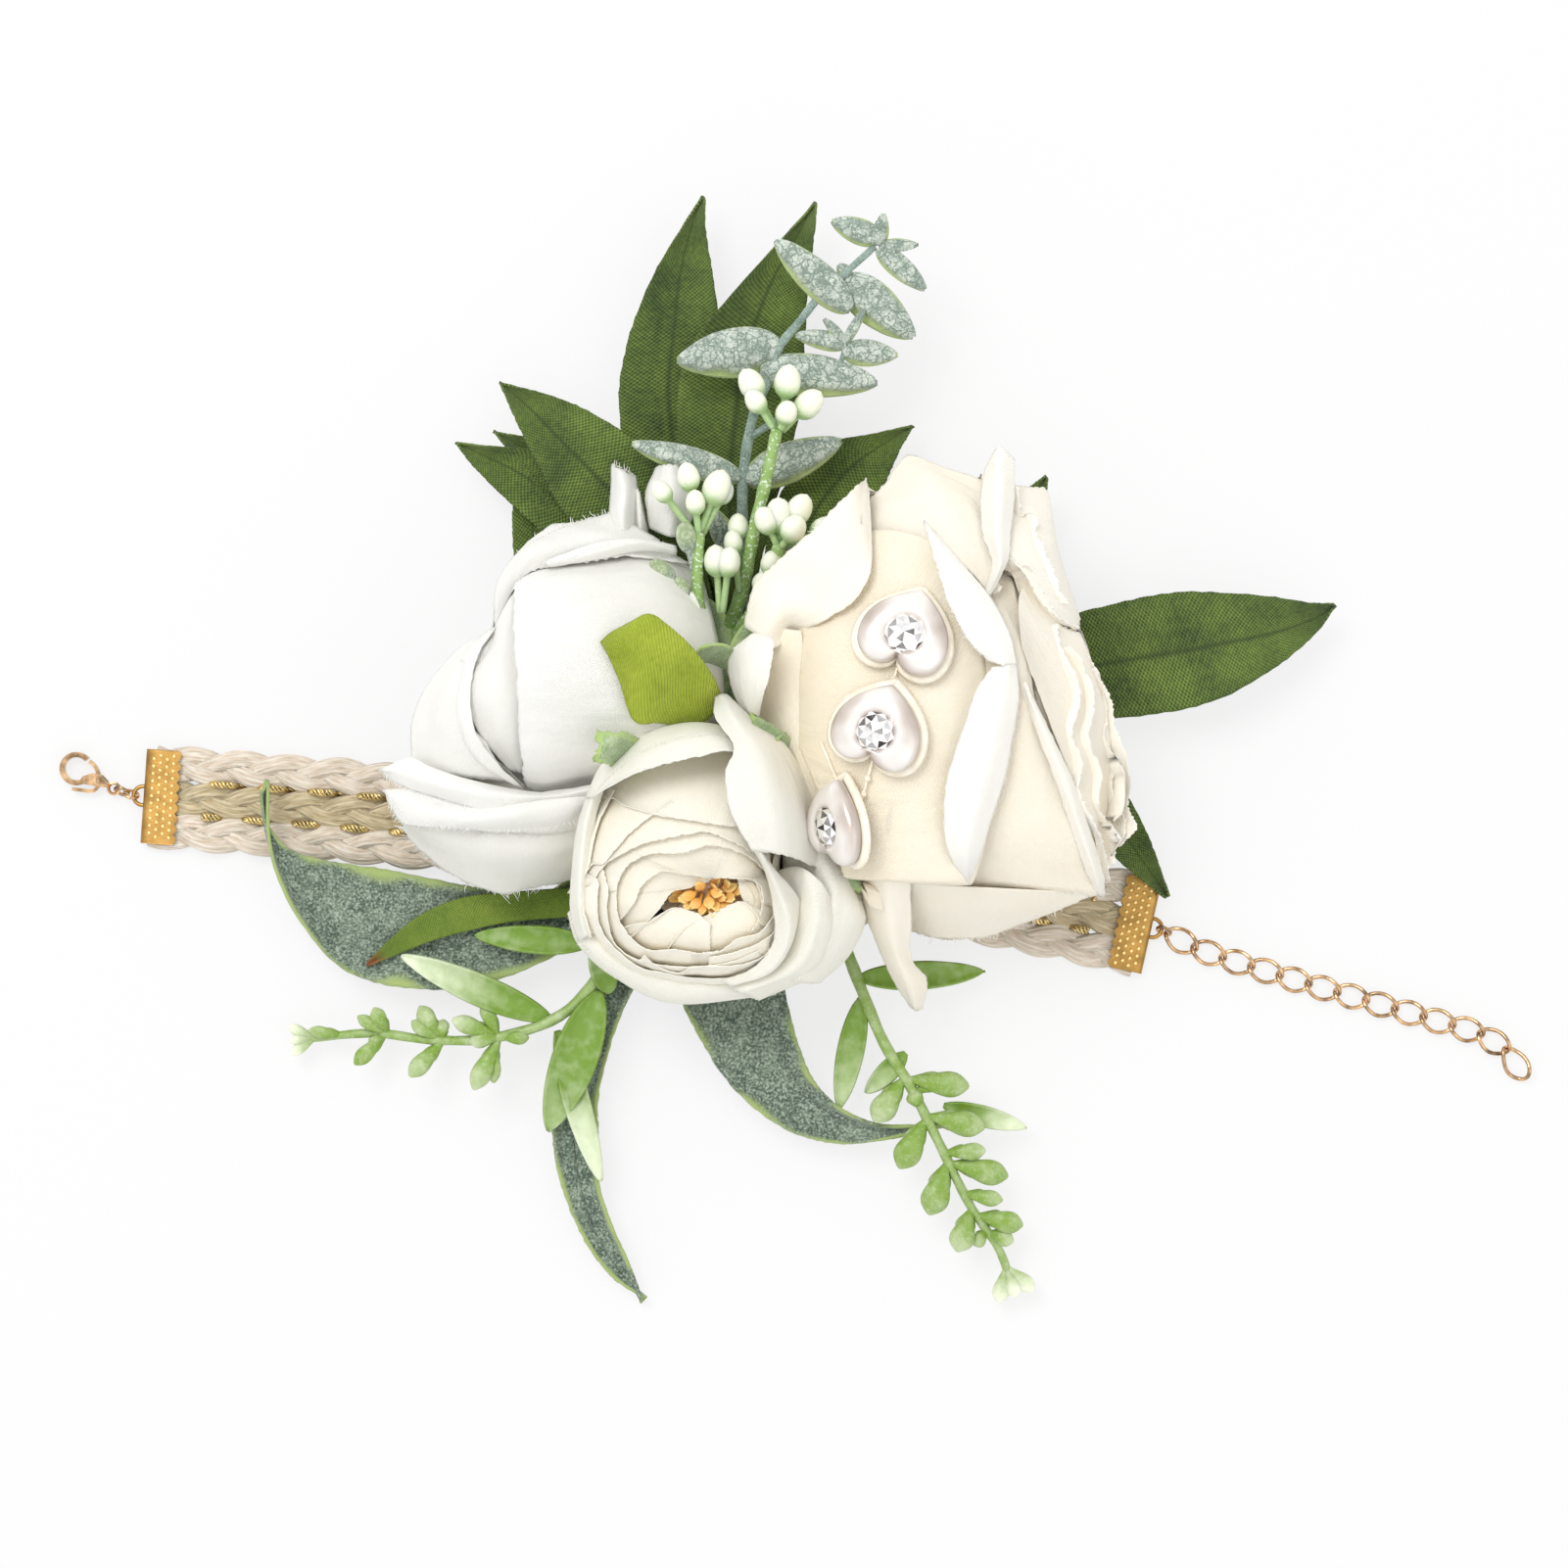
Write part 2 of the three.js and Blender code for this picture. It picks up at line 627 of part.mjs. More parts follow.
// A strip of even width along a smooth line in plan
function strip(places, width) {
  const line = smooth(places.map(([x, y]) => v3(x, y, 0)), 6);
  const sides = [[], []];
  line.forEach((point, i) => {
    const along = line[Math.min(i + 1, line.length - 1)].clone().sub(line[Math.max(i - 1, 0)]).normalize();
    const left = up.clone().cross(along).multiplyScalar(width / 2);
    sides[0].push(new THREE.Vector2(point.x + left.x, point.y + left.y));
    sides[1].unshift(new THREE.Vector2(point.x - left.x, point.y - left.y));
  });
  return new THREE.Shape([...sides[0], ...sides[1]]);
}

// The leaf spring lies bent in the slot behind the lever's hub
function claspSpring() {
  const back = claspPivotReach - 2 * claspHubRadius + springStrip;
  const line = strip([[back, -springArm / 2], [back + springStrip, 0], [back, springArm / 2]], springStrip);
  return plate(line, springWidth);
}

addMesh('clasp_body', claspBody(), surfaces.roseGold, claspPlace);
addMesh('clasp_lever', claspLever(), surfaces.roseGold, claspPlace);
addMesh('clasp_pin', pinSolid(claspPinRadius, claspThickness), surfaces.roseGold, claspPlace);
addMesh('clasp_spring', claspSpring(), surfaces.spring, claspPlace);

// A curb link in its own frame: an oval loop of wire, twisted so that its ends cross the next ones
const linkHalf = (linkPitch + linkWire + hookGap) / 2;

function loopLink(halfLength, halfWidth, twist, flareShare = 0) {
  const points = [];
  const steps = 14;
  for (let i = 0; i < steps; i++) {
    const angle = (2 * Math.PI * i) / steps;
    const x = halfLength * Math.cos(angle);
    const y = halfWidth * Math.sin(angle) * (1 + flareShare * Math.cos(angle));
    const turn = radians(twist) * Math.cos(angle);
    points.push(v3(x, y * Math.cos(turn), y * Math.sin(turn)));
  }
  return tube(points, linkWire / 2, 5, true);
}

// Chain side: crimp loop, ring, links, teardrop end link
const chainLoop = step(chainMouth, chainEndHeading, crimpLoopPlace);
const chainLoopEnd = step(chainLoop, chainEndHeading, crimpLoopRadius);
const chainCrimpRing = step(chainLoopEnd, firstRingHeading, ringRadius - hookOf(crimpLoopWire, ringWire));
addMesh('chain_crimp_ring', ring(), surfaces.roseGold, placeOf(chainCrimpRing, firstRingHeading, ringTilt));

let linkEnd = step(chainCrimpRing, firstRingHeading, ringRadius - hookOf(ringWire, linkWire));
chainHeadings.forEach((degrees, i) => {
  const centre = step(linkEnd, degrees, linkHalf);
  const name = `chain_link_${String(i + 1).padStart(2, '0')}`;
  const link = loopLink(linkHalf, (linkWidth - linkWire) / 2, linkTwist);
  addMesh(name, link, surfaces.roseGold, placeOf(centre, degrees));
  linkEnd = step(centre, degrees, linkHalf - hookOf(linkWire, linkWire));
});

const endLinkHalf = (endLinkLength - linkWire) / 2;
const endLink = loopLink(endLinkHalf, (endLinkWidth - linkWire) / 2, linkTwist, endLinkFlareShare);
const endCentre = step(linkEnd, endLinkHeading, endLinkHalf);
addMesh('chain_end_link', endLink, surfaces.roseGold, placeOf(endCentre, endLinkHeading));

// A flower's frame: its base, its axis, the side to the axis's left and the side towards the viewer
function flowerFrame(flower) {
  const along = heading(flower.headingDegrees).multiplyScalar(Math.cos(radians(flower.riseDegrees)));
  along.addScaledVector(up, Math.sin(radians(flower.riseDegrees)));
  const left = up.clone().cross(heading(flower.headingDegrees));
  const front = along.clone().cross(left);
  return { base: layoutPoint(flower.baseShares), along, left, front };
}

// A layout place: shares of the bouquet's reach, the height counted from the top of the band
function layoutPoint([x, y, z]) {
  return v3(x * posyReach, y * posyReach, seatTop + z * posyReach);
}

// Each flower lies or leans: two angles turn its axis, over and under flatten its upper and lower half
const rose = {
  reach: roseReach, radius: roseRadius, baseShares: [-0.087, 0.245, 0.18],
  headingDegrees: 192, riseDegrees: 0, overShare: 0.72, underShare: 0.52,
};
const ranunculus = {
  reach: ranunculusReach, radius: ranunculusRadius, baseShares: [-0.045, 0.018, 0.075],
  headingDegrees: 259, riseDegrees: 68, overShare: 1, underShare: 1,
};
const peony = {
  reach: peonyReach, radius: peonyRadius, baseShares: [0.034, 0.196, 0.19],
  headingDegrees: 3.5, riseDegrees: 0, overShare: 0.55, underShare: 0.4,
};

// Petals by layer: at is the angle round the axis, span half the petal's angle; the other values are
// shares of the flower's reach and radius. Foot, belly and rim shape the side, low sets the belly's height,
// corner rounds the rim, lap lifts one edge over the next petal and ruffle waves the rim.
const rosePetalShares = {
  outer: [
    { at: 95, span: 58, reach: 0.64, foot: 0.16,
      belly: 1.2, rim: 0.84, low: 0.3, corner: 0.12, lap: 0.04, ruffle: 0 },
    { at: 8, span: 40, reach: 0.98, foot: 0.16,
      belly: 0.95, rim: 1.08, low: 0.5, corner: 0.2, lap: 0.06, ruffle: 0.02 },
    { at: 172, span: 50, reach: 0.6, foot: 0.16,
      belly: 1.35, rim: 1, low: 0.25, corner: 0.15, lap: 0.05, ruffle: 0.02 },
    { at: 248, span: 50, reach: 0.8, foot: 0.16,
      belly: 1.1, rim: 0.95, low: 0.4, corner: 0.2, lap: 0.05, ruffle: 0.02 },
    { at: 310, span: 45, reach: 0.86, foot: 0.16,
      belly: 1.1, rim: 0.95, low: 0.4, corner: 0.2, lap: 0.05, ruffle: 0.02 },
  ],
  inner: [
    { at: 60, span: 58, reach: 0.9, foot: 0.12,
      belly: 1.06, rim: 0.72, low: 0.3, corner: 0.15, lap: 0.06, ruffle: 0 },
    { at: 160, span: 58, reach: 0.86, foot: 0.12,
      belly: 1.06, rim: 0.66, low: 0.3, corner: 0.15, lap: 0.06, ruffle: 0 },
    { at: 280, span: 60, reach: 0.86, foot: 0.12,
      belly: 0.98, rim: 0.72, low: 0.3, corner: 0.15, lap: 0.06, ruffle: 0 },
  ],
  bud: [
    { at: 30, span: 75, reach: 0.84, foot: 0.1,
      belly: 0.72, rim: 0.3, low: 0.35, corner: 0.1, lap: 0.12, ruffle: 0 },
    { at: 150, span: 75, reach: 0.84, foot: 0.1,
      belly: 0.72, rim: 0.3, low: 0.35, corner: 0.1, lap: 0.12, ruffle: 0 },
    { at: 270, span: 75, reach: 0.84, foot: 0.1,
      belly: 0.72, rim: 0.3, low: 0.35, corner: 0.1, lap: 0.12, ruffle: 0 },
  ],
};
const ranunculusPetalShares = {
  outer: [
    { at: 72, span: 52, reach: 1.02, foot: 0.18,
      belly: 1.42, rim: 0.72, low: 0.12, corner: 0.3, lap: 0.05, ruffle: 0 },
    { at: 150, span: 46, reach: 0.92, foot: 0.18,
      belly: 1.4, rim: 0.8, low: 0.12, corner: 0.2, lap: 0.05, ruffle: 0.01 },
    { at: 222, span: 46, reach: 0.8, foot: 0.18,
      belly: 1.3, rim: 0.92, low: 0.12, corner: 0.2, lap: 0.05, ruffle: 0.01 },
    { at: 292, span: 46, reach: 0.78, foot: 0.18,
      belly: 1.3, rim: 0.95, low: 0.12, corner: 0.2, lap: 0.05, ruffle: 0.01 },
    { at: 355, span: 44, reach: 0.8, foot: 0.18,
      belly: 1.3, rim: 1.04, low: 0.14, corner: 0.2, lap: 0.05, ruffle: 0.01 },
  ],
  middle: [
    { at: 60, span: 58, reach: 0.86, foot: 0.14,
      belly: 1.2, rim: 0.6, low: 0.14, corner: 0.15, lap: 0.05, ruffle: 0 },
    { at: 150, span: 58, reach: 0.84, foot: 0.14,
      belly: 1.16, rim: 0.6, low: 0.14, corner: 0.15, lap: 0.05, ruffle: 0 },
    { at: 240, span: 58, reach: 0.74, foot: 0.14,
      belly: 1.1, rim: 0.64, low: 0.14, corner: 0.15, lap: 0.05, ruffle: 0 },
    { at: 330, span: 58, reach: 0.76, foot: 0.14,
      belly: 1.12, rim: 0.66, low: 0.14, corner: 0.15, lap: 0.05, ruffle: 0 },
  ],
  heart: [
    { at: 20, span: 58, reach: 0.7, foot: 0.12,
      belly: 0.85, rim: 0.42, low: 0.16, corner: 0.15, lap: 0.08, ruffle: 0 },
    { at: 110, span: 58, reach: 0.72, foot: 0.12,
      belly: 0.85, rim: 0.42, low: 0.16, corner: 0.15, lap: 0.08, ruffle: 0 },
    { at: 200, span: 58, reach: 0.64, foot: 0.12,
      belly: 0.8, rim: 0.44, low: 0.16, corner: 0.15, lap: 0.08, ruffle: 0 },
    { at: 290, span: 58, reach: 0.6, foot: 0.12,
      belly: 0.8, rim: 0.46, low: 0.16, corner: 0.15, lap: 0.08, ruffle: 0 },
  ],
};
const peonyPetalShares = {
  guard: [
    { at: 96, span: 56, reach: 0.66, foot: 0.14,
      belly: 1.34, rim: 0.98, low: 0.22, corner: 0.12, lap: 0.04, ruffle: 0.01 },
    { at: 22, span: 42, reach: 0.7, foot: 0.14,
      belly: 1.4, rim: 1, low: 0.22, corner: 0.2, lap: 0.05, ruffle: 0.02 },
    { at: 168, span: 42, reach: 0.72, foot: 0.14,
      belly: 1.4, rim: 0.96, low: 0.22, corner: 0.2, lap: 0.05, ruffle: 0.02 },
    { at: 236, span: 46, reach: 0.75, foot: 0.14,
      belly: 1.3, rim: 0.95, low: 0.25, corner: 0.2, lap: 0.05, ruffle: 0.02 },
    { at: 308, span: 46, reach: 0.75, foot: 0.14,
      belly: 1.3, rim: 0.95, low: 0.25, corner: 0.2, lap: 0.05, ruffle: 0.02 },
  ],
  inner: [
    { at: 62, span: 56, reach: 0.98, foot: 0.12,
      belly: 1.12, rim: 0.8, low: 0.26, corner: 0.15, lap: 0.06, ruffle: 0.02 },
    { at: 150, span: 56, reach: 0.96, foot: 0.12,
      belly: 1.12, rim: 0.78, low: 0.26, corner: 0.15, lap: 0.06, ruffle: 0.02 },
    { at: 240, span: 56, reach: 0.94, foot: 0.12,
      belly: 1.05, rim: 0.78, low: 0.26, corner: 0.15, lap: 0.06, ruffle: 0.02 },
    { at: 330, span: 56, reach: 0.98, foot: 0.12,
      belly: 1.08, rim: 0.8, low: 0.26, corner: 0.15, lap: 0.06, ruffle: 0.02 },
  ],
  heart: [
    { at: 30, span: 60, reach: 0.98, foot: 0.1,
      belly: 0.72, rim: 0.56, low: 0.3, corner: 0.15, lap: 0.1, ruffle: 0.06 },
    { at: 120, span: 60, reach: 1, foot: 0.1,
      belly: 0.72, rim: 0.5, low: 0.3, corner: 0.15, lap: 0.1, ruffle: 0.06 },
    { at: 210, span: 60, reach: 0.96, foot: 0.1,
      belly: 0.72, rim: 0.54, low: 0.3, corner: 0.15, lap: 0.1, ruffle: 0.06 },
    { at: 300, span: 60, reach: 1, foot: 0.1,
      belly: 0.72, rim: 0.5, low: 0.3, corner: 0.15, lap: 0.1, ruffle: 0.06 },
  ],
};

// The blooms lean on each other: the side ones are dented by the middle one's rounded body
const leanOn = {
  centreShares: [-0.055, -0.02, 0.14],
  radiusShares: [0.285, 0.28, 0.24],
};

function pressAway(point, level) {
  const centre = layoutPoint(leanOn.centreShares);
  const [wide, deep, tall] = leanOn.radiusShares.map((share) => share * posyReach + level * layerPitch);
  const offset = point.clone().sub(centre);
  const inside = Math.hypot(offset.x / wide, offset.y / deep, offset.z / tall);
  if (inside >= 1) return point;
  const across = Math.max(Math.hypot(offset.x / wide, offset.y / deep), inside / 2);
  const wanted = Math.sqrt(Math.max(1 - (offset.z / tall) ** 2, 0));
  const push = wanted / across;
  return centre.add(v3(offset.x * push, offset.y * push, offset.z));
}

// Petals and sepals lie no lower than the foliage under them
const bloomFloorShare = 0.045;
const sagShare = 0.08;
const sepalFloorShare = 0.02;

function keepAbove(point, floorShare, level = 0) {
  const floor = seatTop + floorShare * posyReach + level * layerPitch;
  return point.z < floor ? point.setZ(mix(floor, point.z, sagShare)) : point;
}

// A point of a petal: u runs from foot to rim, v from edge to edge, and the petal is widest past its middle
const petalGirthShares = { foot: 0.3, rim: 0.72 };

function petalPoint(flower, petal, level, u, v) {
  const { base, along, left, front } = flowerFrame(flower);
  const t = u * (1 - petal.corner * Math.abs(v) ** 3);
  const wave = 1 + petal.ruffle * Math.sin(3 * Math.PI * v + petal.at) * t ** 2;
  const radius = bezier(t, petal.foot, petal.belly, petal.rim) * (1 + petal.lap * v) * wave * flower.radius;
  const height = level * layerPitch + bezier(t, 0, petal.low, 1) * petal.reach * flower.reach;
  const girth = Math.sin(Math.PI * mix(petalGirthShares.foot, petalGirthShares.rim, t));
  const angle = radians(petal.at + petal.span * v * girth);
  const depth = Math.sin(angle) * (Math.sin(angle) > 0 ? flower.overShare : flower.underShare);
  const point = base.addScaledVector(along, height)
    .addScaledVector(left, Math.cos(angle) * radius)
    .addScaledVector(front, depth * radius);
  const pressed = flower === ranunculus ? point : pressAway(point, level);
  return keepAbove(pressed, bloomFloorShare, level);
}

// One stamped layer: its petals and the small cupped disc that joins them
function petalLayer(flower, petals, level, rows = 3, columns = 3) {
  return (grow) => {
    const { base, along, left, front } = flowerFrame(flower);
    const sheets = petals.map((petal) => {
      const grid = [];
      for (let i = 0; i <= rows; i++) {
        const row = [];
        for (let j = 0; j <= columns; j++) {
          row.push(petalPoint(flower, petal, level, i / rows, (2 * j) / columns - 1));
        }
        grid.push(row);
      }
      return sheet(grid, petalThickness, grow);
    });
    const foot = Math.max(...petals.map((petal) => petal.foot)) * flower.radius + grow;
    const thick = petalThickness / 2 + grow;
    const centre = base.clone().addScaledVector(along, level * layerPitch + petalThickness / 4);
    const rings = [-thick, thick].map((height) => {
      const ringAt = [];
      for (let k = 0; k < 10; k++) {
        const angle = (2 * Math.PI * k) / 10;
        const depth = Math.sin(angle) * (Math.sin(angle) > 0 ? flower.overShare : flower.underShare);
        ringAt.push(centre.clone().addScaledVector(along, height)
          .addScaledVector(left, Math.cos(angle) * foot).addScaledVector(front, depth * foot));
      }
      return ringAt;
    });
    return join([loft(rings), ...sheets]);
  };
}

// Pointed leaves and sepals: a smooth spine, a width, a fold along the midrib
const leafTipShares = { foot: 0.15, tip: 0.07 };

// The half width of a leaf, as a share, at a share of its length
function leafWidthShare(u) {
  const blade = Math.sin(Math.PI * u ** 0.9) ** 0.75;
  return Math.max(blade, mix(leafTipShares.foot, leafTipShares.tip, u));
}

function leafSheet(spine, width, fold, rows = 5, columns = 2) {
  return (grow) => {
    const line = smooth(spine, rows);
    const grid = line.map((point, i) => {
      const along = line[Math.min(i + 1, rows)].clone().sub(line[Math.max(i - 1, 0)]).normalize();
      const side = along.clone().cross(up).normalize();
      const normal = side.clone().cross(along);
      const u = i / rows;
      const half = (width / 2) * leafWidthShare(u);
      const row = [];
      for (let j = 0; j <= columns; j++) {
        const v = (2 * j) / columns - 1;
        const raised = fold * Math.abs(v) * half;
      row.push(point.clone().addScaledVector(side, v * half).addScaledVector(normal, raised));
      }
      return row;
    });
    return sheet(grid, leafThickness, grow);
  };
}

// A calyx: a cupped cone behind the bloom, its sepals, and the stem down to the band
const calyxProfileShares = [[0, 1], [0.5, 0.7], [1, stemRadius / calyxRadius]];
const sepalRootShares = { down: 0.2, out: 0.4, sag: 0.1 };
const stemBendShares = { start: 0.9, drop: 0.6 };

function calyx(flower, footShares, sepals) {
  return (grow) => {
    const { base, along, left, front } = flowerFrame(flower);
    const top = base.clone().addScaledVector(along, -petalThickness - restGap);
    const rings = calyxProfileShares.map(([down, wide]) => {
      const ringAt = [];
      for (let k = 0; k < 8; k++) {
        const angle = (2 * Math.PI * k) / 8;
        const r = wide * calyxRadius + grow;
        ringAt.push(top.clone().addScaledVector(along, -down * calyxDepth + (down === 0 ? grow : 0))
          .addScaledVector(left, r * Math.cos(angle)).addScaledVector(front, r * Math.sin(angle)));
      }
      return ringAt;
    });
    const foot = layoutPoint(footShares).setZ(seatTop - grow);
    const bend = top.clone().addScaledVector(along, -calyxDepth * stemBendShares.start);
    const lower = foot.clone().setZ(mix(bend.z, foot.z, stemBendShares.drop));
    const stem = tube(smooth([bend, mixPoint(bend, lower, 0.5), lower, foot], 6), stemRadius + grow, 6);
    const leaves = sepals.map(({ at, reach, spread }) => {
      const outwards = left.clone().multiplyScalar(Math.cos(radians(at)))
        .addScaledVector(front, Math.sin(radians(at)));
      const near = top.clone().addScaledVector(along, -calyxDepth * sepalRootShares.down)
        .addScaledVector(outwards, calyxRadius * sepalRootShares.out);
      const tip = near.clone().addScaledVector(outwards, reach * flower.radius);
      const middle = mixPoint(near, tip, 0.5).addScaledVector(along, -calyxDepth * sepalRootShares.sag);
      const spine = [near, middle, tip].map((point) => keepAbove(point, sepalFloorShare));
      return leafSheet(spine, spread * flower.radius, sepalRootShares.sag, 3)(grow);
    });
    return join([loft(rings), stem, ...leaves]);
  };
}

const mixPoint = (a, b, share) => a.clone().lerp(b, share);

// Stamens: a core with short blunt filaments, as shares of the flower's radius and reach
const stamenShares = { root: 0.09, tip: 0.2, height: 0.4, core: 0.12, thin: 0.5 };

function stamens() {
  return (grow) => {
    const { base, along, left, front } = flowerFrame(ranunculus);
    const heartTop = 2 * layerPitch + petalThickness / 4 + petalThickness / 2;
    const foot = base.clone().addScaledVector(along, heartTop + restGap + grow);
    const count = 9;
    const rootRadius = ranunculusRadius * stamenShares.root;
    const tipRadius = ranunculusRadius * stamenShares.tip;
    const tall = ranunculusReach * stamenShares.height;
    const filaments = [];
    for (let k = 0; k < count; k++) {
      const angle = (2 * Math.PI * k) / count;
      const outwards = left.clone().multiplyScalar(Math.cos(angle)).addScaledVector(front, Math.sin(angle));
      const root = foot.clone().addScaledVector(outwards, rootRadius)
        .addScaledVector(along, petalThickness / 4);
      const tip = foot.clone().addScaledVector(outwards, tipRadius).addScaledVector(along, tall);
      const width = (s) => twigRadius * mix(stamenShares.thin, 1, s) + grow;
      filaments.push(tube([root, mixPoint(root, tip, stamenShares.thin), tip], width, 4));
    }
    const core = tube([foot, foot.clone().addScaledVector(along, ranunculusReach * stamenShares.core)],
      rootRadius + twigRadius + grow, 8);
    return join([core, ...filaments]);
  };
}

// Evenly turned sepals: the first one's angle, and length and width as shares of the flower's radius
const fullTurnDegrees = 360;
const sepalRings = {
  ranunculus: { count: 5, startDegrees: 34, reachShare: 0.92, spreadShare: 0.34 },
  rose: { count: 4, startDegrees: 20, reachShare: 0.5, spreadShare: 0.3 },
  peony: { count: 4, startDegrees: 20, reachShare: 0.4, spreadShare: 0.24 },
};

function sepalRing({ count, startDegrees, reachShare, spreadShare }) {
  const turns = Array.from({ length: count }, (_, k) => startDegrees + (fullTurnDegrees * k) / count);
  return turns.map((at) => ({ at, reach: reachShare, spread: spreadShare }));
}

const stemFootShares = { ranunculus: [-0.045, 0.018, 0], rose: [-0.035, 0.085, 0], peony: [0.02, 0.07, 0] };

addFitted('ranunculus_calyx',
  calyx(ranunculus, stemFootShares.ranunculus, sepalRing(sepalRings.ranunculus)), [], surfaces.calyx);
addFitted('ranunculus_outer_petals', petalLayer(ranunculus, ranunculusPetalShares.outer, 0),
  ['ranunculus_calyx'], surfaces.creamSilk);
addFitted('ranunculus_middle_petals', petalLayer(ranunculus, ranunculusPetalShares.middle, 1),
  ['ranunculus_outer_petals'], surfaces.creamSilk);
addFitted('ranunculus_heart_petals', petalLayer(ranunculus, ranunculusPetalShares.heart, 2),
  ['ranunculus_middle_petals', 'ranunculus_outer_petals'], surfaces.creamSilk);
addFitted('ranunculus_stamens', stamens(),
  ['ranunculus_heart_petals', 'ranunculus_middle_petals'], surfaces.stamen);

const ranunculusNodes = ['ranunculus_calyx', 'ranunculus_outer_petals', 'ranunculus_middle_petals'];
addFitted('rose_calyx', calyx(rose, stemFootShares.rose, sepalRing(sepalRings.rose)),
  ranunculusNodes, surfaces.calyx);
addFitted('rose_outer_petals', petalLayer(rose, rosePetalShares.outer, 0),
  ['rose_calyx', ...ranunculusNodes], surfaces.whiteSilk);
addFitted('rose_inner_petals', petalLayer(rose, rosePetalShares.inner, 1),
  ['rose_outer_petals', ...ranunculusNodes], surfaces.whiteSilk);
addFitted('rose_bud', petalLayer(rose, rosePetalShares.bud, 2),
  ['rose_inner_petals', 'rose_outer_petals', ...ranunculusNodes], surfaces.whiteSilk);

addFitted('peony_calyx', calyx(peony, stemFootShares.peony, sepalRing(sepalRings.peony)),
  [...ranunculusNodes, 'rose_calyx', 'rose_outer_petals'], surfaces.calyx);
addFitted('peony_guard_petals', petalLayer(peony, peonyPetalShares.guard, 0),
  ['peony_calyx', 'rose_outer_petals', 'rose_calyx', ...ranunculusNodes], surfaces.creamSilk);
addFitted('peony_inner_petals', petalLayer(peony, peonyPetalShares.inner, 1),
  ['peony_guard_petals', ...ranunculusNodes], surfaces.creamSilk);
addFitted('peony_heart', petalLayer(peony, peonyPetalShares.heart, 2),
  ['peony_inner_petals', 'peony_guard_petals', ...ranunculusNodes], surfaces.creamSilk);

// Everything that the foliage is fitted round
const bloomNodes = [
  ...ranunculusNodes,
  'rose_calyx', 'rose_outer_petals', 'rose_inner_petals',
  'peony_calyx', 'peony_guard_petals', 'peony_inner_petals',
];

// Pearl hearts on the peony's front petal: the place is the petal's u and v, the turn is in its plane
const heartPlaceShares = [
  { u: 0.75, v: -0.42, turn: -16 },
  { u: 0.63, v: -0.02, turn: -20 },
  { u: 0.5, v: 0.42, turn: 8 },
];
const frontPetal = peonyPetalShares.guard[0];
const heartLift = petalThickness / 2 + strandDiameter + 2 * restGap;

function petalFrame(u, v, lift) {
  const nudge = 0.02;
  const point = petalPoint(peony, frontPetal, 0, u, v);
  const at = (du, dv) => petalPoint(peony, frontPetal, 0, u + du, v + dv);
  const alongU = at(nudge, 0).sub(at(-nudge, 0));
  const alongV = at(0, nudge).sub(at(0, -nudge));
  const normal = alongU.clone().cross(alongV).normalize();
  if (normal.z < 0) normal.negate();
  const side = alongU.normalize();
  const across = normal.clone().cross(side).normalize();
  return { point: point.addScaledVector(normal, lift), normal, side, across };
}

function heartPlace({ u, v, turn }) {
  const { point, normal, side, across } = petalFrame(u, v, heartLift);
  const place = new THREE.Matrix4().makeBasis(side, across, normal).setPosition(point);
  return place.multiply(new THREE.Matrix4().makeRotationZ(radians(turn)));
}

// A heart lying on its back, point towards +Y, with a round seat for its stone
const heartCurveShares = [
  [0.55, 0.72, 1.05, 0.3, 1, -0.3],
  [0.95, -0.95, 0.12, -1, 0, -0.55],
  [-0.12, -1, -0.95, -0.95, -1, -0.3],
  [-1.05, 0.3, -0.55, 0.72, 0, 1],
];

function pearlHeart() {
  const half = heartWidth / 2 - heartBevel;
  const outline = new THREE.Shape();
  outline.moveTo(0, half);
  for (const curve of heartCurveShares) outline.bezierCurveTo(...curve.map((share) => share * half));
  const geometry = new THREE.ExtrudeGeometry(outline, {
    depth: heartThickness - 2 * heartBevel, bevelThickness: heartBevel, bevelSize: heartBevel,
    bevelSegments: 1, curveSegments: 4,
  });
  const lift = new THREE.Matrix4().makeTranslation(0, 0, heartBevel);
  const floor = heartThickness - stoneSink;
  const seat = uprightCylinder(stoneDiameter / 2 + restGap, floor, heartThickness + cutOverrun, 10);
  return solidOf(geometry, lift).subtract(seat);
}

function uprightCylinder(radius, low, high, sides, topRadius = radius) {
  const lay = new THREE.Matrix4().makeRotationX(Math.PI / 2).setPosition(0, 0, (low + high) / 2);
  return solidOf(new THREE.CylinderGeometry(topRadius, radius, high - low, sides), lay);
}

// A brilliant stone: a girdle and a flat table
const stoneShares = { girdle: 0.4, table: 0.3 };

function rhinestone() {
  const low = heartThickness - stoneSink + restGap;
  const girdle = low + stoneHeight * stoneShares.girdle;
  const top = low + stoneHeight;
  const crown = uprightCylinder(stoneDiameter / 2, girdle, top, 10, stoneDiameter * stoneShares.table);
  return uprightCylinder(stoneDiameter / 2, low, girdle, 10).add(crown);
}

function heartShape(i) {
  return (grow) => {
    const scale = 1 + (2 * grow) / heartThickness;
    const fat = new THREE.Matrix4().makeTranslation(0, 0, -grow).scale(v3(scale, scale, scale));
    return pearlHeart().transform(heartPlace(heartPlaceShares[i]).multiply(fat).elements);
  };
}

heartPlaceShares.forEach((place, i) => {
  addFitted(`pearl_heart_${i + 1}`, heartShape(i), ['ranunculus_outer_petals'], surfaces.pearl);
  const stone = () => rhinestone().transform(heartPlace(place).elements);
  addFitted(`rhinestone_${i + 1}`, stone, ['ranunculus_outer_petals'], surfaces.crystal);
});

// The clear line that the hearts are strung on, close over the petal
const strandEndShares = { u: 0.36, v: 0.06 };

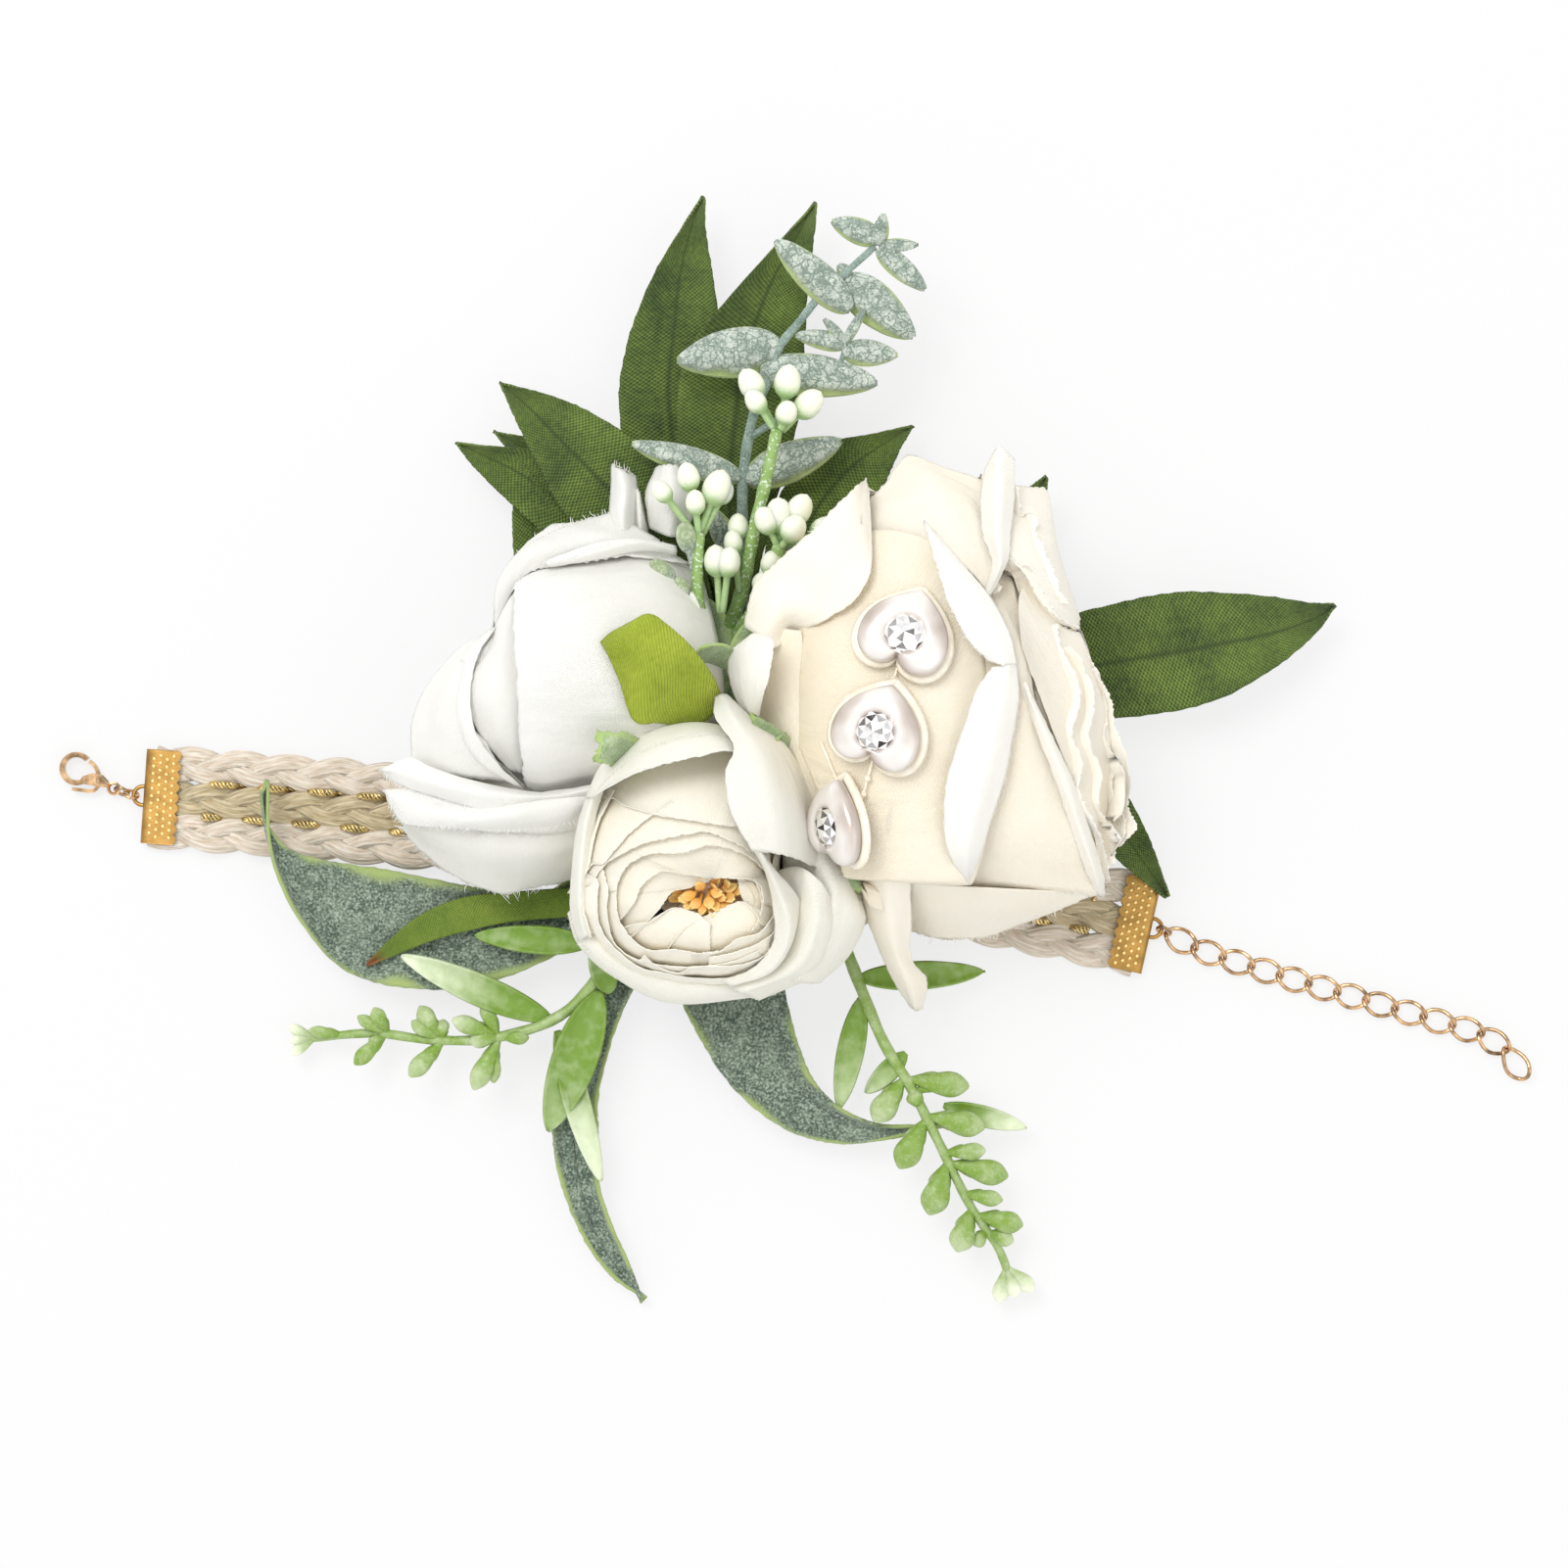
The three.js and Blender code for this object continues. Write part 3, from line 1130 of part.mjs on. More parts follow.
function pearlStrand() {
  return (grow) => {
    const lift = petalThickness / 2 + restGap + strandDiameter / 2;
    const stops = [strandEndShares, ...heartPlaceShares.toReversed()];
    const points = [];
    for (let i = 0; i < stops.length - 1; i++) {
      for (let k = 0; k < 4; k++) {
        const u = mix(stops[i].u, stops[i + 1].u, k / 4);
        const v = mix(stops[i].v, stops[i + 1].v, k / 4);
        points.push(petalFrame(u, v, lift).point);
      }
    }
    return tube(points, strandDiameter / 2 + grow, 5);
  };
}

addFitted('pearl_strand_line', pearlStrand(),
  ['peony_guard_petals', 'pearl_heart_1', 'pearl_heart_2', 'pearl_heart_3', 'ranunculus_outer_petals'],
  surfaces.clear);

// How far leaves arch over their chord, and fold up at their edges, as shares of length and half width
const leafArches = { eucalyptus: 0.15, lavender: 0.06 };
const leafFolds = { small: 0.2, satin: 0.05, olive: 0.1, sage: 0.12, dark: 0.18 };

// Twigs that taper towards their ends
const twigEndShare = 0.6;

function twig(placeShares, grow, steps = 5) {
  const width = (s) => twigRadius * mix(1, twigEndShare, s) + grow;
  return tube(smooth(placeShares.map(layoutPoint), steps), width, 5);
}

function smallLeaf([fromShares, toShares, widthShare], arch, grow) {
  const start = layoutPoint(fromShares);
  const end = layoutPoint(toShares);
  const middle = mixPoint(start, end, 0.5).addScaledVector(up, arch * start.distanceTo(end));
  return leafSheet([start, middle, end], widthShare * posyReach, leafFolds.small, 3)(grow);
}

// Eucalyptus sprig: a curved stem with paired oval leaves
const eucalyptusStemShares = [
  [-0.03, 0.3, 0.03], [-0.02, 0.473, 0.1], [0.001, 0.668, 0.13], [0.009, 0.733, 0.14], [0.05, 0.814, 0.145],
  [0.107, 0.879, 0.15], [0.164, 0.952, 0.15], [0.196, 0.976, 0.15],
];
const eucalyptusLeafShares = [
  [[-0.012, 0.6, 0.12], [-0.19, 0.64, 0.13], 0.075], [[-0.008, 0.6, 0.12], [0.14, 0.655, 0.12], 0.07],
  [[0.01, 0.735, 0.14], [-0.13, 0.785, 0.15], 0.085], [[0.012, 0.735, 0.14], [0.19, 0.76, 0.13], 0.08],
  [[0.055, 0.82, 0.145], [0.21, 0.79, 0.13], 0.045], [[0.11, 0.885, 0.15], [0.03, 0.975, 0.16], 0.075],
  [[0.112, 0.885, 0.15], [0.26, 0.83, 0.13], 0.075], [[0.165, 0.95, 0.15], [0.28, 0.88, 0.14], 0.05],
  [[0.17, 0.955, 0.15], [0.27, 0.965, 0.14], 0.045], [[0.19, 0.97, 0.15], [0.12, 1.02, 0.16], 0.05],
];

function eucalyptus(grow) {
  const leaves = eucalyptusLeafShares.map((row) => smallLeaf(row, leafArches.eucalyptus, grow));
  return join([twig(eucalyptusStemShares, grow, 9), ...leaves]);
}

// Berry sprig: forked stems ending in round berries
const berryStemShares = [
  [
    [-0.05, 0.2, 0.05], [-0.059, 0.277, 0.16], [-0.035, 0.385, 0.2], [0.008, 0.539, 0.21],
    [0.036, 0.631, 0.2],
  ],
  [[-0.055, 0.262, 0.15], [-0.032, 0.329, 0.2], [0.026, 0.406, 0.235], [0.06, 0.45, 0.24]],
  [[-0.058, 0.262, 0.15], [-0.09, 0.34, 0.22], [-0.102, 0.4, 0.23], [-0.085, 0.5, 0.22]],
];
const berryShares = [
  [0.036, 0.631, 0.2, 0.005, 0.74, 0.2], [0.036, 0.631, 0.2, 0.06, 0.745, 0.2],
  [0.036, 0.631, 0.2, 0.065, 0.69, 0.21], [0.036, 0.631, 0.2, 0.11, 0.705, 0.2],
  [0.03, 0.61, 0.2, 0.018, 0.7, 0.21], [-0.087, 0.49, 0.22, -0.05, 0.57, 0.22],
  [-0.087, 0.49, 0.22, -0.088, 0.545, 0.23], [-0.087, 0.49, 0.22, -0.14, 0.56, 0.22],
  [-0.087, 0.49, 0.22, -0.115, 0.595, 0.22], [-0.1, 0.42, 0.23, -0.065, 0.45, 0.23],
  [0.06, 0.45, 0.24, 0.03, 0.53, 0.24], [0.06, 0.45, 0.24, 0.083, 0.525, 0.24],
  [0.06, 0.45, 0.24, 0.125, 0.495, 0.24], [0.055, 0.44, 0.24, 0.075, 0.485, 0.25],
  [0.02, 0.4, 0.235, 0.005, 0.49, 0.24],
];

function berries(grow) {
  const parts = berryStemShares.map((places) => twig(places, grow));
  for (const row of berryShares) {
    const from = layoutPoint(row.slice(0, 3));
    const to = layoutPoint(row.slice(3));
    parts.push(tube([from, to], berryStalkRadius + grow, 4));
    parts.push(ball(to, berryRadius + grow, 5, 4));
  }
  return join(parts);
}

// Lavender-like sprigs: a stem, whorls of fleshy lobes, and long leaves near the foot
const lobeEndShare = 0.35;

function lobe(fromShares, toShares, grow) {
  const a = layoutPoint(fromShares);
  const b = layoutPoint(toShares);
  const width = (s) => budRadius * mix(lobeEndShare, 1, Math.sin(Math.PI * s)) + grow;
  return tube([a, mixPoint(a, b, 1 / 3), mixPoint(a, b, 2 / 3), b], width, 5);
}

const lavenderLeftShares = {
  stem: [
    [-0.15, -0.1, 0.02], [-0.214, -0.164, 0.035], [-0.28, -0.266, 0.04], [-0.345, -0.317, 0.04],
    [-0.444, -0.345, 0.035], [-0.543, -0.348, 0.02], [-0.642, -0.338, 0], [-0.754, -0.348, -0.02],
  ],
  leaves: [
    [[-0.3, -0.285, 0.045], [-0.585, -0.2, 0.05], 0.07], [[-0.3, -0.28, 0.05], [-0.25, -0.53, 0.03], 0.05],
    [[-0.26, -0.24, 0.045], [-0.29, -0.43, 0.04], 0.075],
    [[-0.22, -0.17, 0.04], [-0.46, -0.185, 0.045], 0.055],
  ],
  lobes: [
    [-0.36, -0.325, 0.04, -0.4, -0.28, 0.06], [-0.36, -0.325, 0.04, -0.4, -0.39, 0.04],
    [-0.444, -0.345, 0.035, -0.5, -0.29, 0.06], [-0.444, -0.345, 0.035, -0.47, -0.42, 0.04],
    [-0.543, -0.348, 0.02, -0.6, -0.3, 0.04], [-0.543, -0.348, 0.02, -0.58, -0.41, 0.02],
    [-0.642, -0.338, 0, -0.7, -0.3, 0.01], [-0.642, -0.338, 0, -0.68, -0.39, 0],
  ],
};
const lavenderRightShares = {
  stem: [
    [0.1, -0.1, 0.02], [0.132, -0.131, 0.03], [0.165, -0.221, 0.035], [0.215, -0.345, 0.04],
    [0.264, -0.427, 0.035], [0.314, -0.526, 0.03], [0.363, -0.625, 0.01], [0.412, -0.7, -0.01],
    [0.43, -0.745, -0.02],
  ],
  leaves: [
    [[0.165, -0.215, 0.035], [0.383, -0.235, 0.02], 0.04],
    [[0.165, -0.24, 0.035], [0.15, -0.455, 0.02], 0.045],
    [[0.26, -0.42, 0.035], [0.45, -0.485, 0.01], 0.04],
  ],
  lobes: [
    [0.235, -0.38, 0.04, 0.34, -0.42, 0.06], [0.24, -0.39, 0.04, 0.21, -0.48, 0.05],
    [0.29, -0.48, 0.035, 0.36, -0.49, 0.05], [0.29, -0.48, 0.035, 0.26, -0.56, 0.04],
    [0.33, -0.56, 0.025, 0.4, -0.575, 0.04], [0.33, -0.56, 0.025, 0.3, -0.63, 0.03],
    [0.37, -0.64, 0.01, 0.44, -0.66, 0.03], [0.37, -0.64, 0.01, 0.35, -0.7, 0.01],
  ],
};

function lavender(sprig) {
  return (grow) => join([
    twig(sprig.stem, grow, 9),
    ...sprig.leaves.map((row) => smallLeaf(row, leafArches.lavender, grow)),
    ...sprig.lobes.map((row) => lobe(row.slice(0, 3), row.slice(3), grow)),
  ]);
}

// Dark leaves: spine points, width as a share of the bouquet's reach
const leftSprayShares = [
  [[[-0.05, 0.12, 0.006], [-0.14, 0.52, 0.03], [-0.15, 0.85, 0.05], [-0.087, 1.069, 0.02]], 0.165],
  [[[-0.05, 0.12, 0.006], [-0.05, 0.54, 0.05], [0.01, 0.85, 0.07], [0.103, 1.057, 0.04]], 0.17],
  [[[-0.05, 0.12, 0.006], [-0.13, 0.45, 0.05], [-0.28, 0.64, 0.05], [-0.425, 0.754, 0.02]], 0.15],
  [[[-0.05, 0.12, 0.006], [-0.17, 0.4, 0.04], [-0.34, 0.54, 0.03], [-0.499, 0.655, 0.01]], 0.14],
];
const rightSprayShares = [
  [[[0.08, 0.05, 0.006], [0.36, 0.2, 0.02], [0.68, 0.31, 0.06], [0.976, 0.382, 0.02]], 0.21],
  [[[0.08, 0.05, 0.006], [0.25, 0.3, 0.02], [0.38, 0.48, 0.04], [0.492, 0.597, 0.04]], 0.12],
  [[[0.08, 0.05, 0.006], [0.36, 0.08, 0.01], [0.56, 0.02, 0.02], [0.696, -0.105, -0.02]], 0.12],
  [[[0.08, 0.05, 0.006], [0.03, 0.4, 0.03], [0.13, 0.6, 0.05], [0.266, 0.681, 0.03]], 0.1],
];

function leafSpray(rows) {
  const leaves = rows.map(([spine, widthShare]) => leafSheet(
    spine.map(layoutPoint), widthShare * posyReach, leafFolds.dark));
  return (grow) => join(leaves.map((leaf) => leaf(grow)));
}

const sageShares = [
  [[
    [-0.16, -0.05, 0.008], [-0.3, -0.1, 0.01], [-0.45, -0.16, 0.02],
    [-0.6, -0.17, 0.01], [-0.73, -0.1, 0.01], [-0.822, 0.087, 0.03],
  ], 0.19],
  [[
    [0, -0.06, 0.008], [-0.03, -0.2, 0.01], [0, -0.34, 0.01],
    [0.07, -0.45, 0], [0.18, -0.49, 0], [0.314, -0.495, 0.02],
  ], 0.13],
  [[
    [-0.09, -0.08, 0.008], [-0.22, -0.25, 0.005], [-0.3, -0.43, 0],
    [-0.3, -0.545, -0.01], [-0.26, -0.669, -0.02], [-0.188, -0.784, -0.03],
  ], 0.085],
];
const satinShares = [[-0.06, 0.2, 0.2], [-0.07, 0.23, 0.235], [-0.15, 0.27, 0.25], [-0.215, 0.33, 0.235]];
const satinWidthShare = 0.12;
const oliveShares = [
  [-0.2, -0.08, 0.03], [-0.33, -0.105, 0.045], [-0.45, -0.115, 0.04], [-0.55, -0.14, 0.03],
  [-0.649, -0.221, 0.02],
];
const oliveWidthShare = 0.055;

const sprigNodes = ['eucalyptus_sprig', 'berry_sprig', 'lavender_sprig_left', 'lavender_sprig_right'];
addFitted('berry_sprig', berries, bloomNodes, surfaces.berryStem);
addFitted('eucalyptus_sprig', eucalyptus, [...bloomNodes, 'berry_sprig'], surfaces.eucalyptus);
addFitted('lavender_sprig_left', lavender(lavenderLeftShares), [...bloomNodes], surfaces.freshStem);
addFitted('lavender_sprig_right', lavender(lavenderRightShares), [...bloomNodes], surfaces.freshStem);
const satinLeaf = leafSheet(satinShares.map(layoutPoint), satinWidthShare * posyReach, leafFolds.satin, 4);
const oliveLeaf = leafSheet(oliveShares.map(layoutPoint), oliveWidthShare * posyReach, leafFolds.olive);
addFitted('satin_leaf', satinLeaf, [...bloomNodes, ...sprigNodes], surfaces.satin);
addFitted('olive_leaf', oliveLeaf, [...bloomNodes, ...sprigNodes], surfaces.oliveLeaf);
const fittedLeaves = [...bloomNodes, ...sprigNodes, 'satin_leaf', 'olive_leaf'];
sageShares.forEach(([spine, width], i) => {
  const name = `sage_leaf_${i + 1}`;
  addFitted(name, leafSheet(spine.map(layoutPoint), width * posyReach, leafFolds.sage, 8),
    fittedLeaves, surfaces.sageLeaf);
  fittedLeaves.push(name);
});
addFitted('leaf_spray_left', leafSpray(leftSprayShares), fittedLeaves, surfaces.darkLeaf);
addFitted('leaf_spray_right', leafSpray(rightSprayShares),
  [...fittedLeaves, 'leaf_spray_left'], surfaces.darkLeaf);

export default corsage;
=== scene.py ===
"""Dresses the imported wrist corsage: silk petals, foliage, plaits and fine hardware over the fixed frame."""
import json
import math

import bpy
import numpy as np
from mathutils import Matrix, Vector, noise

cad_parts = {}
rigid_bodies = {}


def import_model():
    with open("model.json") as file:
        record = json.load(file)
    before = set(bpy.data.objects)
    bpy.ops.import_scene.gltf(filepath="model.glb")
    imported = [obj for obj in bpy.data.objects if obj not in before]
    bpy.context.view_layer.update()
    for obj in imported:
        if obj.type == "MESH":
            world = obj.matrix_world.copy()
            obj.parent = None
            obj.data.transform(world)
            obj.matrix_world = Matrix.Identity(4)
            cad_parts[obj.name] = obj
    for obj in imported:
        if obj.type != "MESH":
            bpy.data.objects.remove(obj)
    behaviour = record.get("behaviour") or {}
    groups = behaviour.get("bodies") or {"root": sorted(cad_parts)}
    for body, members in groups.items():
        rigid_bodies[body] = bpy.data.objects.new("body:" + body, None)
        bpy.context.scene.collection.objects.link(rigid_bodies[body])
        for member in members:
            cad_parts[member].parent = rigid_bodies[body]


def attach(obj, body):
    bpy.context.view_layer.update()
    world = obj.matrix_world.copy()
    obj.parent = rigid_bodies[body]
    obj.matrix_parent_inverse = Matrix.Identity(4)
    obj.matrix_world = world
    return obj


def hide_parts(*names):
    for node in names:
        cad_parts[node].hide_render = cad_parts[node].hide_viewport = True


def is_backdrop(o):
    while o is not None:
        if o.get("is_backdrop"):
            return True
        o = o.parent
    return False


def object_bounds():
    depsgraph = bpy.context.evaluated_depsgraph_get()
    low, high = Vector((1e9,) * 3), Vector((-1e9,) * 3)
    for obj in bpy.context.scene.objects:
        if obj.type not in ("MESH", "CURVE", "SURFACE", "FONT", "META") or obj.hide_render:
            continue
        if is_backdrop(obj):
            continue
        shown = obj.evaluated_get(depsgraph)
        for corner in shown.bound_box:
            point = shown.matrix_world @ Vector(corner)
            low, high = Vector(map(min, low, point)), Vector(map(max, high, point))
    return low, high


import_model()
cad_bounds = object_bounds()

MM = 0.001
UP = np.array([0.0, 0.0, 1.0])
SEAT_TOP = 5.76
REACH = 100.0
CAMERA = np.array([5.08, 8.25, 700.0])
PIXELS_PER_MM = 6.0
FRAME_MIDDLE = 800.5
GOLDEN_ANGLE = 137.5
TINY = 1e-9


# Places and curves, all in millimetres

def at_px(px, py, z):
    """The points at height z that the photograph shows at those pixels."""
    shrink = (1 - z / CAMERA[2]) / PIXELS_PER_MM
    x = CAMERA[0] + (px - FRAME_MIDDLE) * shrink
    y = CAMERA[1] + (FRAME_MIDDLE - py) * shrink
    return np.stack([x, y, z], -1)


def to_px(points):
    """Where the photograph shows those points."""
    shrink = (1 - points[..., 2] / CAMERA[2]) / PIXELS_PER_MM
    right, up = points[..., 0] - CAMERA[0], points[..., 1] - CAMERA[1]
    return FRAME_MIDDLE + right / shrink, FRAME_MIDDLE - up / shrink


def layout(x, y, z):
    """A place over the band, from shares of the reach."""
    return np.array([x * REACH, y * REACH, SEAT_TOP + z * REACH])


def unit(a):
    return a / np.maximum(np.linalg.norm(a, axis=-1, keepdims=True), TINY)


def ramp(x, low, high):
    """0 below low, 1 above high and a smooth step between them."""
    t = np.clip((x - low) / (high - low), 0, 1)
    return t * t * (3 - 2 * t)


def spline(points, count):
    """Catmull-Rom through the points along the first axis, sampled evenly by parameter."""
    p = np.asarray(points, float)
    n = len(p)
    ext = np.concatenate([[2 * p[0] - p[1]], p, [2 * p[-1] - p[-2]]])
    s = np.linspace(0, n - 1, count)
    i = np.minimum(s.astype(int), n - 2)
    t = (s - i).reshape((-1,) + (1,) * (p.ndim - 1))
    a, b, c, d = ext[i], ext[i + 1], ext[i + 2], ext[i + 3]
    square, cube = 2 * a - 5 * b + 4 * c - d, 3 * b - a - 3 * c + d
    return 0.5 * (2 * b + (c - a) * t + square * t ** 2 + cube * t ** 3)


def distances(path):
    """How far along the path each of its points is."""
    return np.concatenate([[0], np.cumsum(np.linalg.norm(np.diff(path, axis=0), axis=1))])


def even(points, count):
    """The same curve with evenly spaced points."""
    fine = spline(points, 12 * len(points))
    gone = distances(fine)
    want = np.linspace(0, gone[-1], count)
    return np.stack([np.interp(want, gone, fine[:, k]) for k in range(3)], axis=1)


def px_line(places):
    """The points that the photograph shows at (pixel x, pixel y, height)."""
    return [at_px(*p) for p in places]


def normals_of(grid):
    return unit(np.cross(np.gradient(grid, axis=0), np.gradient(grid, axis=1)))


def patch(rows, nu, nv):
    """A smooth surface through rows of (pixel x, pixel y, height), facing the camera."""
    grid = np.array([px_line(row) for row in rows])
    across = spline(np.swapaxes(grid, 0, 1), nv)
    grid = spline(np.swapaxes(across, 0, 1), nu)
    return grid[:, ::-1] if normals_of(grid)[nu // 2, nv // 2, 2] < 0 else grid


def lengths(grid):
    """Arc lengths along both ways of a grid, as texture coordinates in millimetres."""
    du = np.linalg.norm(np.diff(grid, axis=0), axis=2).mean(axis=1)
    dv = np.linalg.norm(np.diff(grid, axis=1), axis=2).mean(axis=0)
    u = np.concatenate([[0], np.cumsum(du)])
    v = np.concatenate([[0], np.cumsum(dv)])
    return np.stack(np.meshgrid(v - v.mean(), u), axis=-1)


def noise_grid(x, y, seed):
    """Smooth noise at each pair of places."""
    out = np.empty(x.shape)
    flat = out.ravel()
    for k, (a, b) in enumerate(zip(x.ravel(), y.ravel())):
        flat[k] = noise.noise(Vector((a, b, seed * 7.31)))
    return out


def wrinkle(grid, depth, pitch, seed, lengthwise=4.0):
    """Soft folds that run from foot to rim and grow towards the rim."""
    uv = lengths(grid)
    nu = grid.shape[0]
    grow = np.linspace(0.15, 1, nu)[:, None] ** 1.4
    folds = noise_grid(uv[..., 0] / pitch, uv[..., 1] / (pitch * lengthwise), seed)
    fine = noise_grid(uv[..., 0] / (pitch * 0.35), uv[..., 1] / (pitch * 1.2), seed + 3)
    return grid + normals_of(grid) * ((folds + 0.3 * fine) * grow * depth)[..., None]


def fray(grid, size, seed):
    """Uneven cut edges at the rim and, less, at both sides."""
    out = grid.copy()
    local = np.random.default_rng(seed)
    away = unit(grid[-1] - grid[-2])
    out[-1] += away * (local.random(grid.shape[1])[:, None] * size)
    for edge, inner in ((0, 1), (-1, -2)):
        away = unit(grid[:, edge] - grid[:, inner])
        out[:, edge] += away * (local.random(grid.shape[0])[:, None] * size * 0.7)
    return out


# Meshes

def numbering(rows, cols):
    return np.arange(rows * cols).reshape(rows, cols)


def open_faces(index):
    """Quads over a grid of vertex numbers."""
    return np.stack([index[:-1, :-1], index[1:, :-1], index[1:, 1:], index[:-1, 1:]], -1).reshape(-1, 4)


def round_faces(here, there):
    """Quads between rows of vertex numbers, where each row's last joins its first."""
    return np.stack([here, np.roll(here, -1, 1), np.roll(there, -1, 1), there], -1).reshape(-1, 4)


class Bag:
    """Vertices, faces and their attributes, gathered for one object."""

    def __init__(self):
        self.verts, self.faces, self.uvs, self.tones, self.count = [], [], [], [], 0

    def add(self, verts, faces, uv, tone):
        verts = np.asarray(verts, float).reshape(-1, 3)
        self.faces.append(np.asarray(faces, int) + self.count)
        self.verts.append(verts)
        self.uvs.append(np.asarray(uv, float).reshape(-1, 2))
        self.tones.append(np.broadcast_to(np.asarray(tone, float).ravel(), (len(verts),)))
        self.count += len(verts)

    def sheet(self, grid, thickness, tone=0.0):
        """A cloth sheet with two faces and a thin edge."""
        rows, cols = grid.shape[:2]
        normal = normals_of(grid)
        verts = np.concatenate([(grid + normal * thickness / 2).reshape(-1, 3),
                                (grid - normal * thickness / 2).reshape(-1, 3)])
        index, half = numbering(rows, cols), rows * cols
        top = open_faces(index)
        ring = np.concatenate([index[:, 0], index[-1, 1:], index[-2::-1, -1], index[0, -2:0:-1]])
        nxt = np.roll(ring, -1)
        edge = np.stack([ring, ring + half, nxt + half, nxt], -1)
        tone = np.broadcast_to(tone, (rows, cols)).astype(float)
        faces = np.concatenate([top, top[:, ::-1] + half, edge])
        self.add(verts, faces, np.concatenate([lengths(grid).reshape(-1, 2)] * 2), np.tile(tone.ravel(), 2))

    def tube(self, path, radius, sides=8, closed=False, tone=0.0, flat=1.0):
        """A round tube; radius may be one number or one for each point."""
        path = np.asarray(path, float)
        n = len(path)
        radius = np.broadcast_to(radius, (n,)).astype(float)
        if closed:
            along = unit(np.roll(path, -1, 0) - np.roll(path, 1, 0))
        else:
            along = unit(np.gradient(path, axis=0))
        side = np.cross(UP if abs(along[0][2]) < 0.8 else np.array([1.0, 0, 0]), along[0])
        side /= np.linalg.norm(side)
        sides_at = []
        for a in along:
            side = side - a * side.dot(a)
            side /= max(np.linalg.norm(side), TINY)
            sides_at.append(side)
        sides_at = np.array(sides_at)
        if closed:
            # the frame's leftover turn is spread over the loop
            start, end = sides_at[0], sides_at[-1] - along[0] * sides_at[-1].dot(along[0])
            end /= np.linalg.norm(end)
            lag = math.atan2(np.cross(end, start).dot(along[0]), end.dot(start))
        else:
            lag = 0.0
        across = np.cross(along, sides_at)
        turn = np.linspace(0, 2 * math.pi, sides, endpoint=False)
        twist = np.linspace(0, lag, n)[:, None]
        angle = turn[None, :] + twist
        ring = (path[:, None] + sides_at[:, None] * (np.cos(angle) * radius[:, None])[..., None]
                + across[:, None] * (np.sin(angle) * radius[:, None] * flat)[..., None])
        index, first = numbering(n, sides), self.count
        faces = round_faces(index, np.roll(index, -1, 0)) if closed else round_faces(index[:-1], index[1:])
        uv = np.stack(np.broadcast_arrays(turn * radius.mean(), distances(path)[:, None]), -1)
        tone = np.broadcast_to(np.asarray(tone, float).reshape(-1, 1), (n, sides))
        self.add(ring, faces, uv, tone)
        if closed:
            return
        for end, way in ((0, -1), (-1, 1)):
            tip = np.full(sides, self.count)
            ids = index[end] + first
            self.verts.append((path[end] + way * along[end] * radius[end] * 0.4).reshape(1, 3))
            self.uvs.append(np.zeros((1, 2)))
            self.tones.append(tone[end, :1])
            self.faces.append(np.stack([*(ids, np.roll(ids, -1))[::way], tip, tip], -1))
            self.count += 1

    def ball(self, centre, radius, wide=12, high=8, stretch=(1, 1, 1), tone=0.0):
        """A ball, stretched along x, y and z."""
        lat = np.linspace(0, math.pi, high + 1)
        lon = np.linspace(0, 2 * math.pi, wide, endpoint=False)
        x = np.sin(lat)[:, None] * np.cos(lon)[None]
        y = np.sin(lat)[:, None] * np.sin(lon)[None]
        z = np.broadcast_to(np.cos(lat)[:, None], x.shape)
        pts = np.stack([x * stretch[0], y * stretch[1], z * stretch[2]], -1) * radius
        index = numbering(high + 1, wide)
        here, there = index[:-1], index[1:]
        faces = np.stack([here, there, np.roll(there, -1, 1), np.roll(here, -1, 1)], -1).reshape(-1, 4)
        uv = np.stack(np.broadcast_arrays(lon * radius, lat[:, None] * radius), -1)
        self.add(pts + centre, faces, uv, tone)

    def object(self, name, material, node, slot, body="root", smooth=True):
        """The gathered mesh as a piece that stands for one CAD node."""
        mesh = bpy.data.meshes.new(name)
        verts = np.concatenate(self.verts) * MM
        faces = np.concatenate(self.faces)
        polys = [tuple(f) if f[2] != f[3] else tuple(f[:3]) for f in faces.tolist()]
        mesh.from_pydata(verts.tolist(), [], polys)
        uvs, tones = np.concatenate(self.uvs), np.concatenate(self.tones)
        loops = np.empty(len(mesh.loops), np.int32)
        mesh.loops.foreach_get("vertex_index", loops)
        layer = mesh.uv_layers.new(name="cloth")
        layer.data.foreach_set("uv", uvs[loops].astype(np.float32).ravel())
        tone = mesh.attributes.new("tone", "FLOAT", "POINT")
        tone.data.foreach_set("value", tones.astype(np.float32))
        mesh.validate(clean_customdata=False)
        if smooth:
            mesh.polygons.foreach_set("use_smooth", [True] * len(mesh.polygons))
        mesh.update()
        piece = bpy.data.objects.new(name, mesh)
        bpy.context.scene.collection.objects.link(piece)
        mesh.materials.append(material)
        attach(piece, body)
        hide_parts(node)
        return piece


# Materials

def linear(rgb):
    """A screen colour of 0 to 255 as a linear one."""
    c = np.array(rgb, float) / 255
    low = c <= 0.04045
    return tuple(np.where(low, c / 12.92, ((c + 0.055) / 1.055) ** 2.4)) + (1.0,)


